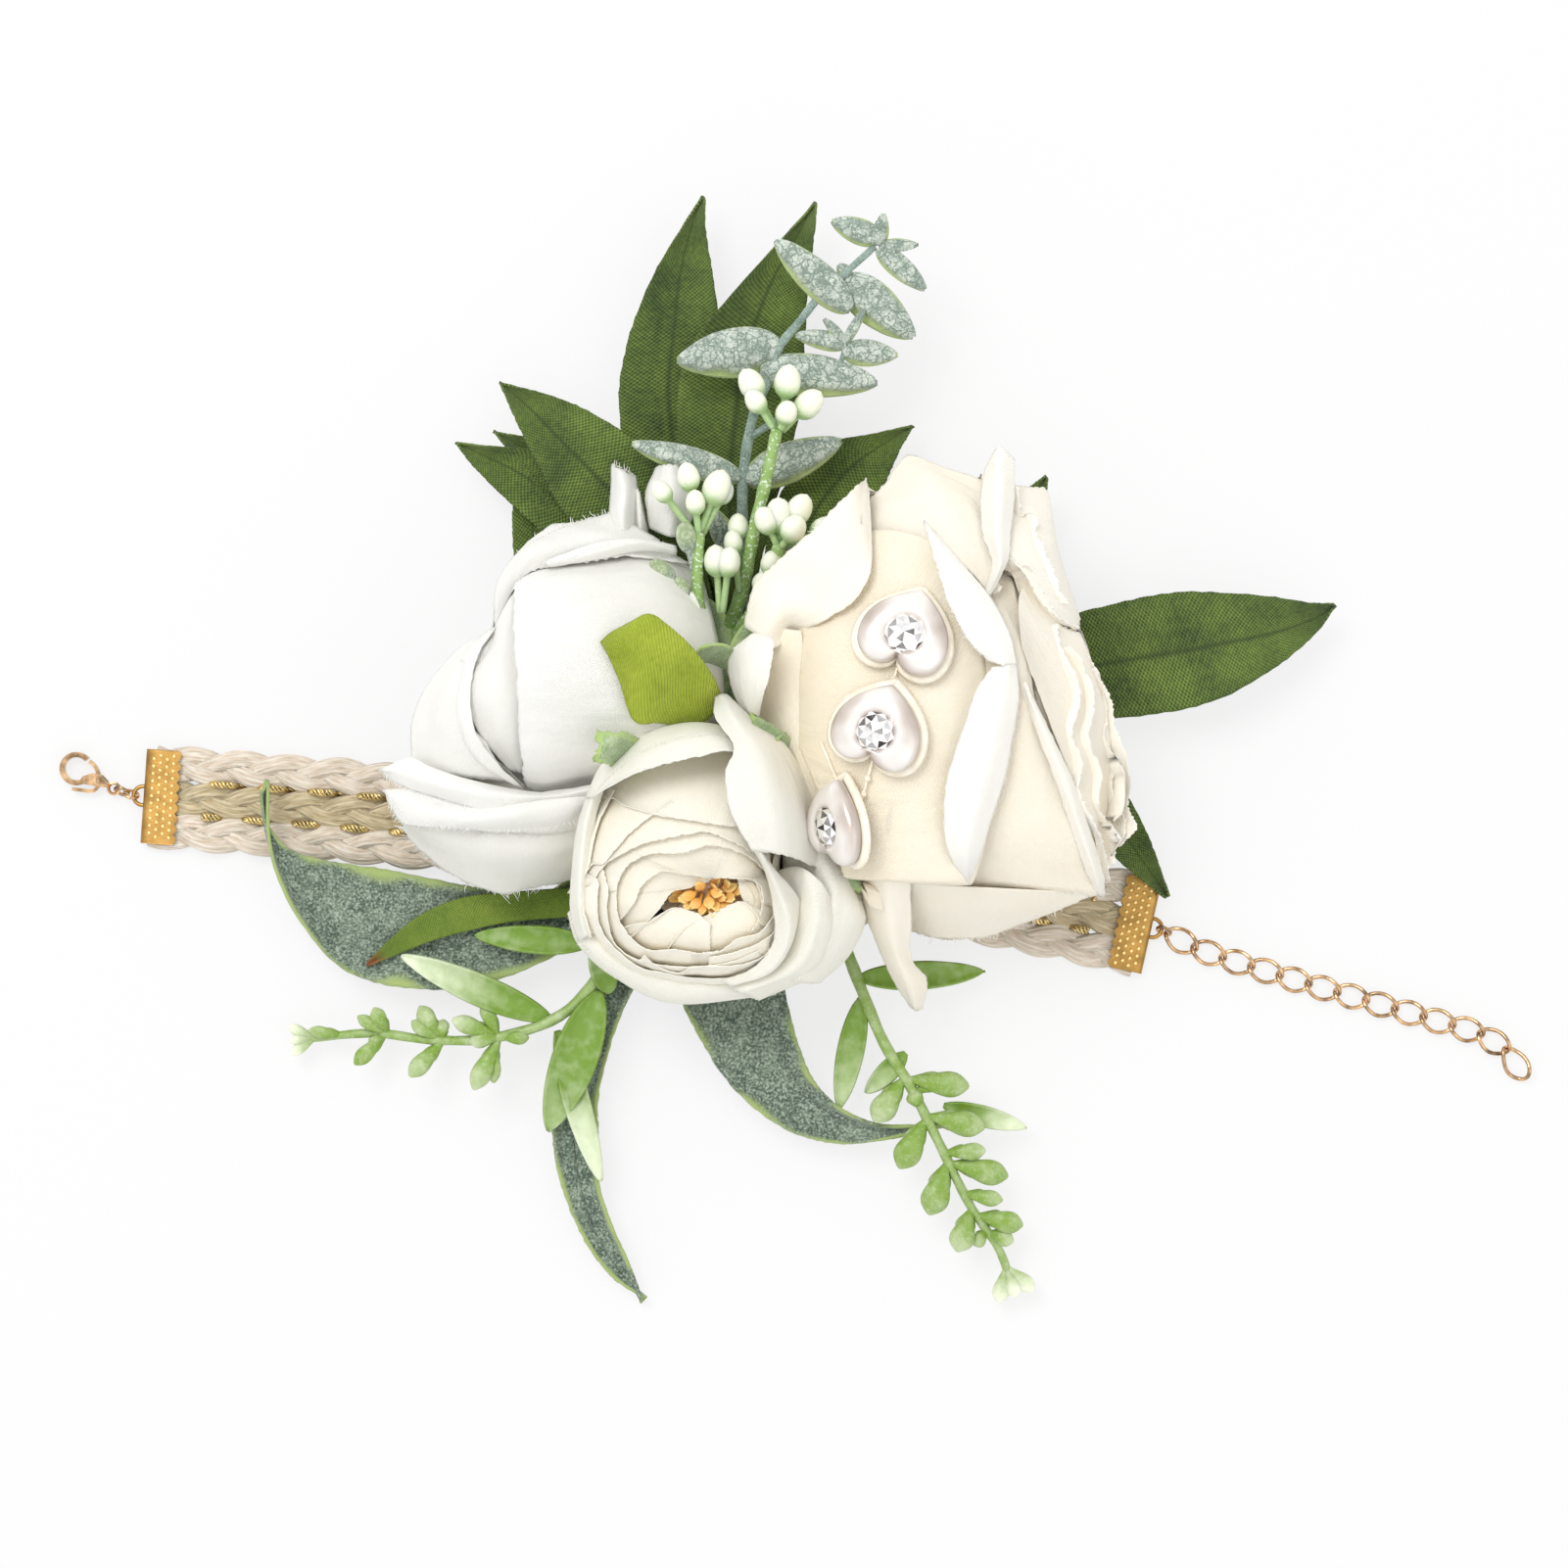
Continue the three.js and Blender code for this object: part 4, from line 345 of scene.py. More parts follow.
class Nodes:
    """Short names for building one material's nodes."""

    def __init__(self, name, roughness=0.8, metallic=0.0, **shader):
        self.material = bpy.data.materials.new(name)
        self.material.use_nodes = True
        self.tree = self.material.node_tree
        self.shader = self.tree.nodes["Principled BSDF"]
        self.shader.inputs["Roughness"].default_value = roughness
        self.shader.inputs["Metallic"].default_value = metallic
        for key, value in shader.items():
            self.shader.inputs[key.replace("_", " ")].default_value = value

    def node(self, kind, **settings):
        made = self.tree.nodes.new(kind)
        for key, value in settings.items():
            if hasattr(made, key):
                setattr(made, key, value)
            else:
                made.inputs[key.replace("_", " ")].default_value = value
        return made

    def link(self, out, into):
        self.tree.links.new(out, into)

    def coords(self, scale=1.0, kind="Object"):
        if kind == "Object":
            source = self.node("ShaderNodeTexCoord").outputs["Object"]
        else:
            source = self.node("ShaderNodeUVMap", uv_map="cloth").outputs["UV"]
        mapping = self.node("ShaderNodeMapping")
        mapping.inputs["Scale"].default_value = (scale, scale, scale) if np.ndim(scale) == 0 else scale
        self.link(source, mapping.inputs["Vector"])
        return mapping.outputs["Vector"]

    def noise(self, size_mm, detail=2.0, kind="Object", rough=0.5):
        """Noise with features of about that size."""
        scale = 1 / (size_mm * (MM if kind == "Object" else 1))
        tex = self.node("ShaderNodeTexNoise", Scale=1.0, Detail=detail, Roughness=rough)
        self.link(self.coords(scale, kind), tex.inputs["Vector"])
        return tex.outputs["Fac"]

    def math(self, operation, a, b=None, c=None, clamp=False):
        made = self.node("ShaderNodeMath", operation=operation, use_clamp=clamp)
        for socket, value in zip(made.inputs, (a, b, c)):
            if value is None:
                continue
            if isinstance(value, (int, float)):
                socket.default_value = value
            else:
                self.link(value, socket)
        return made.outputs[0]

    def attribute(self):
        """The tone that the mesh carries."""
        return self.node("ShaderNodeAttribute", attribute_name="tone").outputs["Fac"]

    def blend(self, fac, a, b, mode="MIX"):
        made = self.node("ShaderNodeMix", data_type="RGBA", blend_type=mode)
        for socket, value in ((made.inputs[0], fac), (made.inputs[6], a), (made.inputs[7], b)):
            if isinstance(value, (int, float, tuple)):
                socket.default_value = value
            else:
                self.link(value, socket)
        return made.outputs[2]

    def ramp(self, fac, stops):
        made = self.node("ShaderNodeValToRGB")
        elements = made.color_ramp.elements
        while len(elements) < len(stops):
            elements.new(0.5)
        for element, (place, color) in zip(elements, stops):
            element.position = place
            element.color = color
        self.link(fac, made.inputs["Fac"])
        return made.outputs["Color"]

    def weave(self, pitch_mm):
        """A plain weave's relief, from -1 to 1."""
        xyz = self.node("ShaderNodeSeparateXYZ")
        self.link(self.coords(2 * math.pi / pitch_mm, "UV"), xyz.inputs[0])
        across = self.math("SINE", xyz.outputs[0])
        along = self.math("SINE", xyz.outputs[1])
        return self.math("MULTIPLY", across, along)

    def twill(self, pitch_mm):
        """Slanting ridges, from -1 to 1."""
        xyz = self.node("ShaderNodeSeparateXYZ")
        self.link(self.coords(2 * math.pi / pitch_mm, "UV"), xyz.inputs[0])
        return self.math("SINE", self.math("MULTIPLY_ADD", xyz.outputs[1], 0.6, xyz.outputs[0]))

    def shade(self, color, by, depth, middle):
        """Darkens a colour by a small share of a value."""
        level = self.math("MULTIPLY_ADD", by, depth, middle)
        grey = self.node("ShaderNodeCombineColor")
        for socket in grey.inputs[:3]:
            self.link(level, socket)
        return self.blend(1.0, color, grey.outputs[0], "MULTIPLY")

    def bumps(self, *layers):
        """Bump from (height, strength, distance in mm) layers, one on the other."""
        normal = None
        for height, strength, distance in layers:
            made = self.node("ShaderNodeBump", Strength=strength, Distance=distance * MM)
            self.link(height, made.inputs["Height"])
            if normal is not None:
                self.link(normal, made.inputs["Normal"])
            normal = made.outputs["Normal"]
        self.link(normal, self.shader.inputs["Normal"])

    def color(self, socket):
        self.link(socket, self.shader.inputs["Base Color"])

    def rough(self, socket):
        self.link(socket, self.shader.inputs["Roughness"])


def silk(name, light, deep, weave_depth=0.12, pitch=0.42, through=(1.0, 0.92, 0.8)):
    """Thin woven polyester with random blotches; the mesh tone is painted shade, blending the light colour
    into the deep one.
    """
    m = Nodes(name, roughness=0.75, Subsurface_Weight=0.2, Subsurface_Scale=0.0008, Sheen_Weight=0.08,
              Sheen_Roughness=0.5, Specular_IOR_Level=0.18)
    m.shader.inputs["Subsurface Radius"].default_value = through
    blotch = m.math("MULTIPLY", m.noise(9.0, 2), 0.35)
    # the tone paints shade; the blotch is random unevenness in the dye
    shade_and_blotch = m.math("ADD", m.attribute(), m.math("SUBTRACT", blotch, 0.17), clamp=True)
    body = m.blend(shade_and_blotch, linear(light), linear(deep))
    threads = m.weave(pitch)
    creases = m.node("ShaderNodeTexNoise", Scale=1.0, Detail=3.0)
    m.link(m.coords((0.42, 0.075, 1.0), "UV"), creases.inputs["Vector"])
    m.color(m.shade(body, threads, 0.045, 0.98))
    m.bumps((m.noise(7.0, 3), 0.4, 0.9), (creases.outputs["Fac"], 0.5, 0.8), (m.noise(1.6, 3), 0.35, 0.25),
            (threads, 0.7, weave_depth * 0.5))
    return m.material


def leaf_cloth(name, dark, light, vein, pitch=0.62, show=0.3, twill=False):
    """Printed cloth: woven threads, mottled dye and a midrib of its own colour; tone is 1 on the rib."""
    m = Nodes(name, roughness=0.62, Sheen_Weight=0.12, Specular_IOR_Level=0.3)
    threads = m.twill(pitch) if twill else m.weave(pitch)
    fleck = m.math("MULTIPLY_ADD", m.math("SUBTRACT", m.noise(0.8, 2, "UV"), 0.5), 0.6, m.noise(7.0, 3))
    body = m.ramp(fleck, [(0.22, linear(dark)), (0.78, linear(light))])
    woven = m.shade(body, threads, show, 0.95)
    m.color(m.blend(m.attribute(), woven, linear(vein)))
    m.bumps((threads, 0.8, 0.12), (m.noise(5.0, 2), 0.3, 0.5))
    return m.material


def flocked(name, dark, pale, edge, speck=0.7, coarse=0.8, blotch=1.0, grain_size=0.3, cracks=0.0):
    """Flocked plastic: a velvety mottle with white specks; tone is 1 at the bare, curled margin."""
    m = Nodes(name, roughness=0.92, Sheen_Weight=0.35, Sheen_Roughness=0.5, Specular_IOR_Level=0.2)
    grain = m.noise(grain_size, 3)
    cloud = m.math("MULTIPLY_ADD", m.math("SUBTRACT", m.noise(2.6, 4), 0.5), blotch, 0.5)
    level = m.math("MULTIPLY_ADD", m.math("SUBTRACT", grain, 0.5), coarse, cloud)
    if cracks:
        cells = m.node("ShaderNodeTexVoronoi", feature="DISTANCE_TO_EDGE", Scale=1.0)
        warped = m.node("ShaderNodeVectorMath", operation="ADD")
        m.link(m.coords(1 / (1.7 * MM)), warped.inputs[0])
        m.link(m.noise(1.5, 2), warped.inputs[1])
        m.link(warped.outputs[0], cells.inputs["Vector"])
        gap = m.math("MULTIPLY_ADD", cells.outputs["Distance"], -9.0, 1.0, clamp=True)
        level = m.math("MULTIPLY_ADD", gap, -cracks, level)
    mottle = m.ramp(level, [(0.3, linear(dark)), (0.7, linear(pale))])
    specks = m.math("GREATER_THAN", grain, 0.6)
    frosted = m.blend(m.math("MULTIPLY", specks, speck), mottle, linear((214, 224, 214)))
    m.color(m.blend(m.attribute(), frosted, linear(edge)))
    m.bumps((grain, 0.9, 0.2), (m.noise(3.0, 2), 0.4, 0.5))
    return m.material


def soft_plastic(name, low, high, roughness=0.45, subsurface=0.25, frost=0.0, size=2.0):
    """Moulded soft plastic; tone runs from the base colour to the tip colour."""
    m = Nodes(name, roughness=roughness, Subsurface_Weight=subsurface, Subsurface_Scale=0.002)
    m.shader.inputs["Subsurface Radius"].default_value = (1.0, 1.0, 0.6)
    wobble = m.math("MULTIPLY", m.math("SUBTRACT", m.noise(size, 3), 0.5), 0.7)
    body = m.blend(m.math("ADD", m.attribute(), wobble, clamp=True), linear(low), linear(high))
    if frost:
        grain = m.math("GREATER_THAN", m.noise(0.5, 3), 0.6)
        body = m.blend(m.math("MULTIPLY", grain, frost), body, linear((232, 240, 230)))
    m.color(body)
    m.bumps((m.noise(0.7, 3), 0.35, 0.15), (m.noise(2.5, 2), 0.25, 0.3))
    return m.material


def cotton(name, light, dark):
    """Soft-spun cotton: fibres run along each strand; the tone paints shade in the grooves between them."""
    m = Nodes(name, roughness=0.95, Sheen_Weight=0.4, Sheen_Roughness=0.6, Subsurface_Weight=0.1,
              Subsurface_Scale=0.001, Specular_IOR_Level=0.1)
    tex = m.node("ShaderNodeTexNoise", Scale=1.0, Detail=3.0)
    m.link(m.coords((3.2, 0.35, 1.0), "UV"), tex.inputs["Vector"])
    fibres = tex.outputs["Fac"]
    body = m.ramp(fibres, [(0.3, linear(dark)), (0.62, linear(light))])
    m.color(m.blend(m.math("MULTIPLY", m.attribute(), 0.55), body, linear(dark)))
    m.bumps((fibres, 0.9, 0.35), (m.noise(0.4, 3), 0.3, 0.1))
    return m.material


def metal(name, rgb, roughness, bump=0.0, size=1.0, wear_and_reflection_dimming=0.12, raised=None):
    """Metal dimmed in noise patches, partly wear and partly painted reflection; tone brings in a painted
    highlight colour on raised places.
    """
    m = Nodes(name, roughness=roughness, metallic=1.0)
    cloud = m.noise(size * 2.5, 3)
    deeper = tuple(int(c * (1 - wear_and_reflection_dimming)) for c in rgb)
    # painted reflection and wear: noise patches dim the colour
    worn = m.ramp(cloud, [(0.3, linear(deeper)), (0.7, linear(rgb))])
    m.color(m.blend(m.attribute(), worn, linear(raised or rgb)))
    m.rough(m.math("MULTIPLY_ADD", m.noise(size, 3), 0.12, roughness - 0.05))
    m.bumps((m.noise(size * 0.4, 3), bump + 0.02, 0.06))
    return m.material


# each silk's second colour is the deep one that its tone paints in as shade
WHITE_SILK = silk("white_silk", (244, 243, 238), (226, 224, 210), through=(1.0, 1.0, 0.95))
CREAM_SILK = silk("cream_silk", (244, 242, 231), (240, 230, 200))
WARM_SILK = silk("warm_silk", (252, 248, 234), (254, 238, 206))
PEONY_SILK = silk("peony_silk", (254, 252, 245), (250, 234, 202))
STAMEN = soft_plastic("stamen_yellow", (242, 166, 50), (255, 230, 156), 0.6, 0.1, size=0.9)
CALYX = flocked("calyx_green", (130, 155, 110), (175, 190, 150), (170, 195, 120), 0.3)
DARK_LEAF = leaf_cloth("dark_leaf", (56, 76, 32), (106, 128, 54), (46, 62, 26), 0.66, 0.6)
SAGE = flocked("sage_leaf", (74, 90, 78), (142, 156, 138), (160, 178, 112), 0.2, 1.5, 0.6, 0.42)
SATIN = leaf_cloth("satin_green", (142, 160, 36), (178, 194, 62), (190, 204, 90), 0.52, 0.08, twill=True)
OLIVE = leaf_cloth("olive_leaf", (96, 126, 40), (130, 150, 56), (138, 84, 40), 0.5)
EUCALYPTUS = flocked("eucalyptus", (126, 142, 130), (208, 215, 204), (172, 190, 116), 0.5, cracks=0.36)
EUCALYPTUS_STEM = flocked("eucalyptus_stem", (110, 128, 124), (156, 172, 166), (120, 150, 116), 0.4)
BERRY = soft_plastic("berry_green", (168, 196, 140), (236, 238, 220), 0.4, 0.35, 0.25)
BERRY_STEM = soft_plastic("berry_stem", (124, 160, 78), (184, 206, 148), 0.5, 0.15, 0.7)
FRESH = soft_plastic("fresh_green", (124, 156, 58), (234, 238, 214), 0.45, 0.15, 0.1)
FRESH_LEAF = soft_plastic("fresh_leaf", (114, 148, 50), (220, 230, 198), 0.5, 0.15, 0.0)
COTTON = cotton("natural_cotton", (240, 230, 216), (194, 176, 152))
KHAKI = cotton("khaki_cotton", (220, 206, 172), (160, 140, 102))
# The strongly dimmed patches of gold thread and rose gold are mostly painted reflection; antique gold's last
# colour is a painted highlight for raised dots.
GOLD_THREAD = metal("gold_thread", (246, 220, 156), 0.25, 0.6, 0.5, 0.4)
ANTIQUE_GOLD = metal("antique_gold", (190, 148, 82), 0.36, 0.25, 0.9, 0.2, (250, 222, 150))
ROSE_GOLD = metal("rose_gold", (238, 196, 150), 0.18, 0.05, 0.7, 0.45)
STEEL = metal("spring_steel", (190, 192, 196), 0.25, 0.05, 1.0)


def felt_material():
    m = Nodes("felt", roughness=0.98, Sheen_Weight=0.5, Specular_IOR_Level=0.1)
    fibres = m.noise(0.7, 5, rough=0.7)
    m.color(m.ramp(fibres, [(0.3, linear((214, 208, 194))), (0.7, linear((240, 236, 226)))]))
    m.bumps((fibres, 0.9, 0.4), (m.noise(4.0, 2), 0.3, 0.4))
    return m.material


def pearl_material():
    m = Nodes("pearl", roughness=0.24, metallic=0.25, Coat_Weight=0.25, Coat_Roughness=0.08)
    # the tone paints shade and highlight bands on the pearl, with some noise
    level = m.math("MULTIPLY_ADD", m.math("SUBTRACT", m.noise(4.0, 1), 0.5), 0.7, m.attribute())
    m.color(m.ramp(level, [(0.0, linear((233, 228, 223))), (0.4, linear((206, 195, 187))),
                           (1.0, linear((162, 147, 134)))]))
    m.bumps((m.noise(6.0, 1), 0.15, 0.3))
    return m.material


def crystal_material():
    m = Nodes("crystal", roughness=0.04, metallic=1.0)
    # the tone and noise paint the facets' reflections, from dark grey to white
    sparkle = m.math("MULTIPLY_ADD", m.noise(0.6, 2), 0.3, m.attribute())
    m.color(m.ramp(sparkle, [(0.2, linear((78, 72, 70))), (0.5, linear((196, 192, 190))),
                             (0.72, linear((254, 254, 254)))]))
    m.bumps((m.noise(2.0, 1), 0.05, 0.1))
    return m.material


def line_material():
    m = Nodes("clear_line", roughness=0.12, Coat_Weight=0.5)
    m.color(m.ramp(m.noise(2.0, 2), [(0.3, linear((240, 228, 204))), (0.7, linear((252, 246, 232)))]))
    m.bumps((m.noise(1.0, 1), 0.1, 0.05))
    return m.material


FELT, PEARL, CRYSTAL, CLEAR = felt_material(), pearl_material(), crystal_material(), line_material()


# Flowers

class Flower:
    """A bloom's frame: base, axis, the side to its left and the side towards the viewer."""

    def __init__(self, base, heading, rise, reach, radius, over, under, pressed=True):
        h, r = math.radians(heading), math.radians(rise)
        flat = np.array([math.cos(h), math.sin(h), 0])
        self.base = layout(*base)
        self.along = flat * math.cos(r) + UP * math.sin(r)
        self.left = np.cross(UP, flat)
        self.front = np.cross(self.along, self.left)
        self.reach, self.radius, self.over, self.under, self.pressed = reach, radius, over, under, pressed

    def point(self, height, angle, radius):
        """Points by height along the axis, angle round it in radians, and radius, in millimetres."""
        sine = np.sin(angle)
        depth = np.where(sine > 0, self.over, self.under) * sine
        return (self.base + self.along * height[..., None] + self.left * (np.cos(angle) * radius)[..., None]
                + self.front * (depth * radius)[..., None])


ROSE = Flower((-0.087, 0.245, 0.18), 192, 0, 50, 29, 0.72, 0.52)
RANUNCULUS = Flower((-0.045, 0.018, 0.075), 259, 68, 27, 24.5, 1, 1, pressed=False)
PEONY = Flower((0.034, 0.196, 0.19), 3.5, 0, 52, 38, 0.55, 0.4)
LAYER_PITCH = 1.4
MIDDLE_BODY = layout(-0.055, -0.02, 0.14)
MIDDLE_HALF = np.array([28.5, 28.0, 24.0])
PETAL_FLOOR = SEAT_TOP + 4.5
SPREAD_LOW, SPREAD_HIGH = 0.3, 0.72
THIN = 0.16
CELL, CELLS = 4, 401


def press_away(points, level):
    """Keeps the side blooms clear of the middle one's rounded body."""
    centre = MIDDLE_BODY
    half = MIDDLE_HALF + level * LAYER_PITCH
    off = (points - centre) / half
    inside = np.linalg.norm(off, axis=-1)
    flat = np.maximum(np.linalg.norm(off[..., :2], axis=-1), inside / 2)
    push = np.sqrt(np.maximum(1 - off[..., 2] ** 2, 0)) / np.maximum(flat, 1e-6)
    moved = points.copy()
    near = inside < 1
    for k in (0, 1):
        moved[..., k] = np.where(near, centre[k] + off[..., k] * half[k] * push, points[..., k])
    return moved


def keep_above(points, floor):
    """Squeezes what lies under a height to a thin layer there."""
    out = points.copy()
    out[..., 2] = np.where(points[..., 2] < floor, floor + (points[..., 2] - floor) * 0.08, points[..., 2])
    return out


def bezier(t, a, b, c):
    """From a to c, bent towards b."""
    return (1 - t) ** 2 * a + 2 * t * (1 - t) * b + t ** 2 * c


def petal(flower, at, span, reach, foot, belly, rim, low, level, corner=0.15, lap=0.05, ruffle=0.01,
          roll=0.0, roll_turn=200, seed=0, depth=0.6, pitch=9.0, nu=26, nv=56, fray_size=0.45):
    """A cupped petal; at and span are degrees round the flower's axis, and level counts layers.

    reach is a share of the flower's reach; foot, belly and rim are shares of its radius; low bends the rise.
    roll is the rim's curl in millimetres. The lists of far petals give the values from at to level.
    """
    u = np.linspace(0, 1, nu)[:, None] * np.ones((1, nv))
    v = np.ones((nu, 1)) * np.linspace(-1, 1, nv)[None]
    t = u * (1 - corner * np.abs(v) ** 3)
    wave = 1 + ruffle * np.sin(3 * math.pi * v + at) * t ** 2
    radius = bezier(t, foot, belly, rim) * (1 + lap * v) * wave * flower.radius
    height = level * LAYER_PITCH + bezier(t, 0, low, 1) * reach * flower.reach
    spread = np.sin(math.pi * (SPREAD_LOW + (SPREAD_HIGH - SPREAD_LOW) * t))
    angle = math.radians(at) + math.radians(span) * v * spread
    grid = flower.point(height, angle, radius)
    if flower.pressed:
        grid = press_away(grid, level)
    grid = keep_above(grid, PETAL_FLOOR + level * LAYER_PITCH)
    grid = wrinkle(grid, depth, pitch, seed)
    if roll:
        grid = roll_rim(grid, flower, roll, roll_turn, seed)
    return fray(grid, fray_size, seed)


def roll_rim(grid, flower, size, turn, seed):
    """Adds a rim that curls away from the flower's axis."""
    steps = 9
    rim = grid[-1]
    forward = unit(grid[-1] - grid[-3])
    spoke = rim - flower.base
    spoke = spoke - flower.along * (spoke @ flower.along)[:, None]
    away = unit(spoke - forward * np.sum(spoke * forward, axis=1, keepdims=True))
    cols = grid.shape[1]
    v = np.linspace(-1, 1, cols)
    vary = 0.65 + 0.35 * np.sin(2.1 * math.pi * v + seed) + 0.25 * np.sin(5.3 * math.pi * v + 2 * seed)
    radius = size * np.clip(vary, 0.15, 1.4) * (1 - 0.6 * np.abs(v) ** 4)
    rows = []
    for k in range(1, steps + 1):
        a = math.radians(turn) * k / steps
        ahead, aside = radius * math.sin(a), radius * (1 - math.cos(a))
        rows.append(rim + forward * ahead[:, None] + away * aside[:, None])
    return np.concatenate([grid, np.array(rows)])


def foot_shade_tone(grid, foot=0.9, rim=0.1):
    """Painted shade from foot to rim: the tone is deepest at the foot, down in the bloom, and falls towards
    the rim.
    """
    rows, cols = grid.shape[:2]
    u = np.linspace(0, 1, rows)[:, None]
    return np.clip(rim + (foot - rim) * (1 - ramp(u, 0.1, 0.95)), 0, 1) * np.ones((1, cols))


def fringe(bag, rim, away, size, seed, every=0.55):
    """Single loose threads that stand out of a cut rim."""
    tangent = unit(np.gradient(rim, axis=0))
    gone = distances(rim)
    local = np.random.default_rng(seed)
    for d in np.arange(0.2, gone[-1] - 0.2, every):
        k = min(int(np.searchsorted(gone, d + every * local.random())), len(rim) - 1)
        lean = away[k] + tangent[k] * local.normal(0, 0.45)
        reach = size * (0.25 + local.random() ** 3)
        foot = rim[k] - away[k] * 0.15
        bend = tangent[k] * local.normal(0, 0.12) * reach
        bag.tube(np.array([foot, foot + lean * reach * 0.55 + bend, foot + lean * reach]),
                 [0.075, 0.06, 0.03], 5)


def loose_edge(bag, places, toward, size, seed):
    """Threads along a line of photographed places, leaning towards that side of it."""
    rim = even(px_line(places), 160)
    away = np.broadcast_to(unit(np.array([toward[0], -toward[1], 0.0])), rim.shape)
    fringe(bag, rim, away, size, seed, 0.4)


def cloth_patch(rows, nu=30, nv=30, seed=0, depth=0.35, pitch=10.0, fray_size=0.4):
    """A petal drawn through a few photographed places, with folds and frayed edges."""
    return fray(wrinkle(patch(rows, nu, nv), depth, pitch, seed, 3.0), fray_size, seed)


def cells(x, y):
    """The cover's rows and columns at those pixels."""
    return tuple(np.clip(place / CELL, 0, CELLS - 1).astype(int) for place in (y, x))


class Outline:
    """A closed line round a centre, in pixels of the photograph."""

    def __init__(self, places, centre):
        off = np.array(places, float) - centre
        angle = np.arctan2(off[:, 1], off[:, 0])
        order = np.argsort(angle)
        self.centre = np.array(centre)
        self.angle, self.radius = angle[order], np.hypot(off[:, 0], off[:, 1])[order]

    def limit(self, off):
        """How far the line is from the centre, in the directions of those offsets."""
        return np.interp(np.arctan2(off[..., 1], off[..., 0]), self.angle, self.radius, period=2 * math.pi)


class Cover(Outline):
    """The photographed petals of one bloom, which its other petals stay under and inside."""

    def __init__(self, outline, centre):
        super().__init__(outline, centre)
        self.low = np.full((CELLS, CELLS), np.inf)

    def add(self, grid):
        """Takes a petal into the cover, a cell wider than it is."""
        fine = spline(np.swapaxes(spline(grid, 3 * grid.shape[0]), 0, 1), 3 * grid.shape[1])
        x, y = to_px(fine)
        for dx in (-CELL, 0, CELL):
            for dy in (-CELL, 0, CELL):
                np.minimum.at(self.low, cells(x + dx, y + dy), fine[..., 2])
        return grid

    def tuck(self, grid, gap=0.9, inset=0.97):
        """Moves points inside the outline and below the cover."""
        off = np.stack(to_px(grid), -1) - self.centre
        away = np.hypot(off[..., 0], off[..., 1])
        limit = self.limit(off) * inset
        pull = np.where(away > limit, limit / np.maximum(away, 1e-6), 1.0)
        x, y = np.moveaxis(self.centre + off * pull[..., None], -1, 0)
        out = at_px(x, y, grid[..., 2])
        out[..., 2] = np.minimum(out[..., 2], self.low[cells(x, y)] - gap)
        return out


def draw(bag, cover, rows, tone, seed, nu=34, nv=44, depth=0.3, pitch=9.0, fray_size=0.5, threads=0.0):
    """One photographed petal, kept in the cover."""
    grid = cover.add(cloth_patch(rows, nu, nv, seed, depth, pitch, fray_size))
    bag.sheet(grid, THIN, tone)
    if threads:
        away = grid[-1] - grid[-6]
        away[:, 2] *= 0.3
        fringe(bag, grid[-1], unit(away), threads, seed)
    return grid


ROSE_OUTLINE = [(587, 533), (550, 540), (527, 566), (505, 602), (502, 642), (475, 660), (449, 688),
                (426, 722), (420, 774), (390, 786), (392, 808), (405, 838), (434, 867), (467, 893),
                (513, 910), (556, 906), (585, 898), (640, 880), (730, 800), (748, 700), (745, 600),
                (712, 500), (690, 472), (640, 478), (622, 520)]
BUD_LIFT, BUD_EDGE, BUD_FADE = 6.5, 590, 90


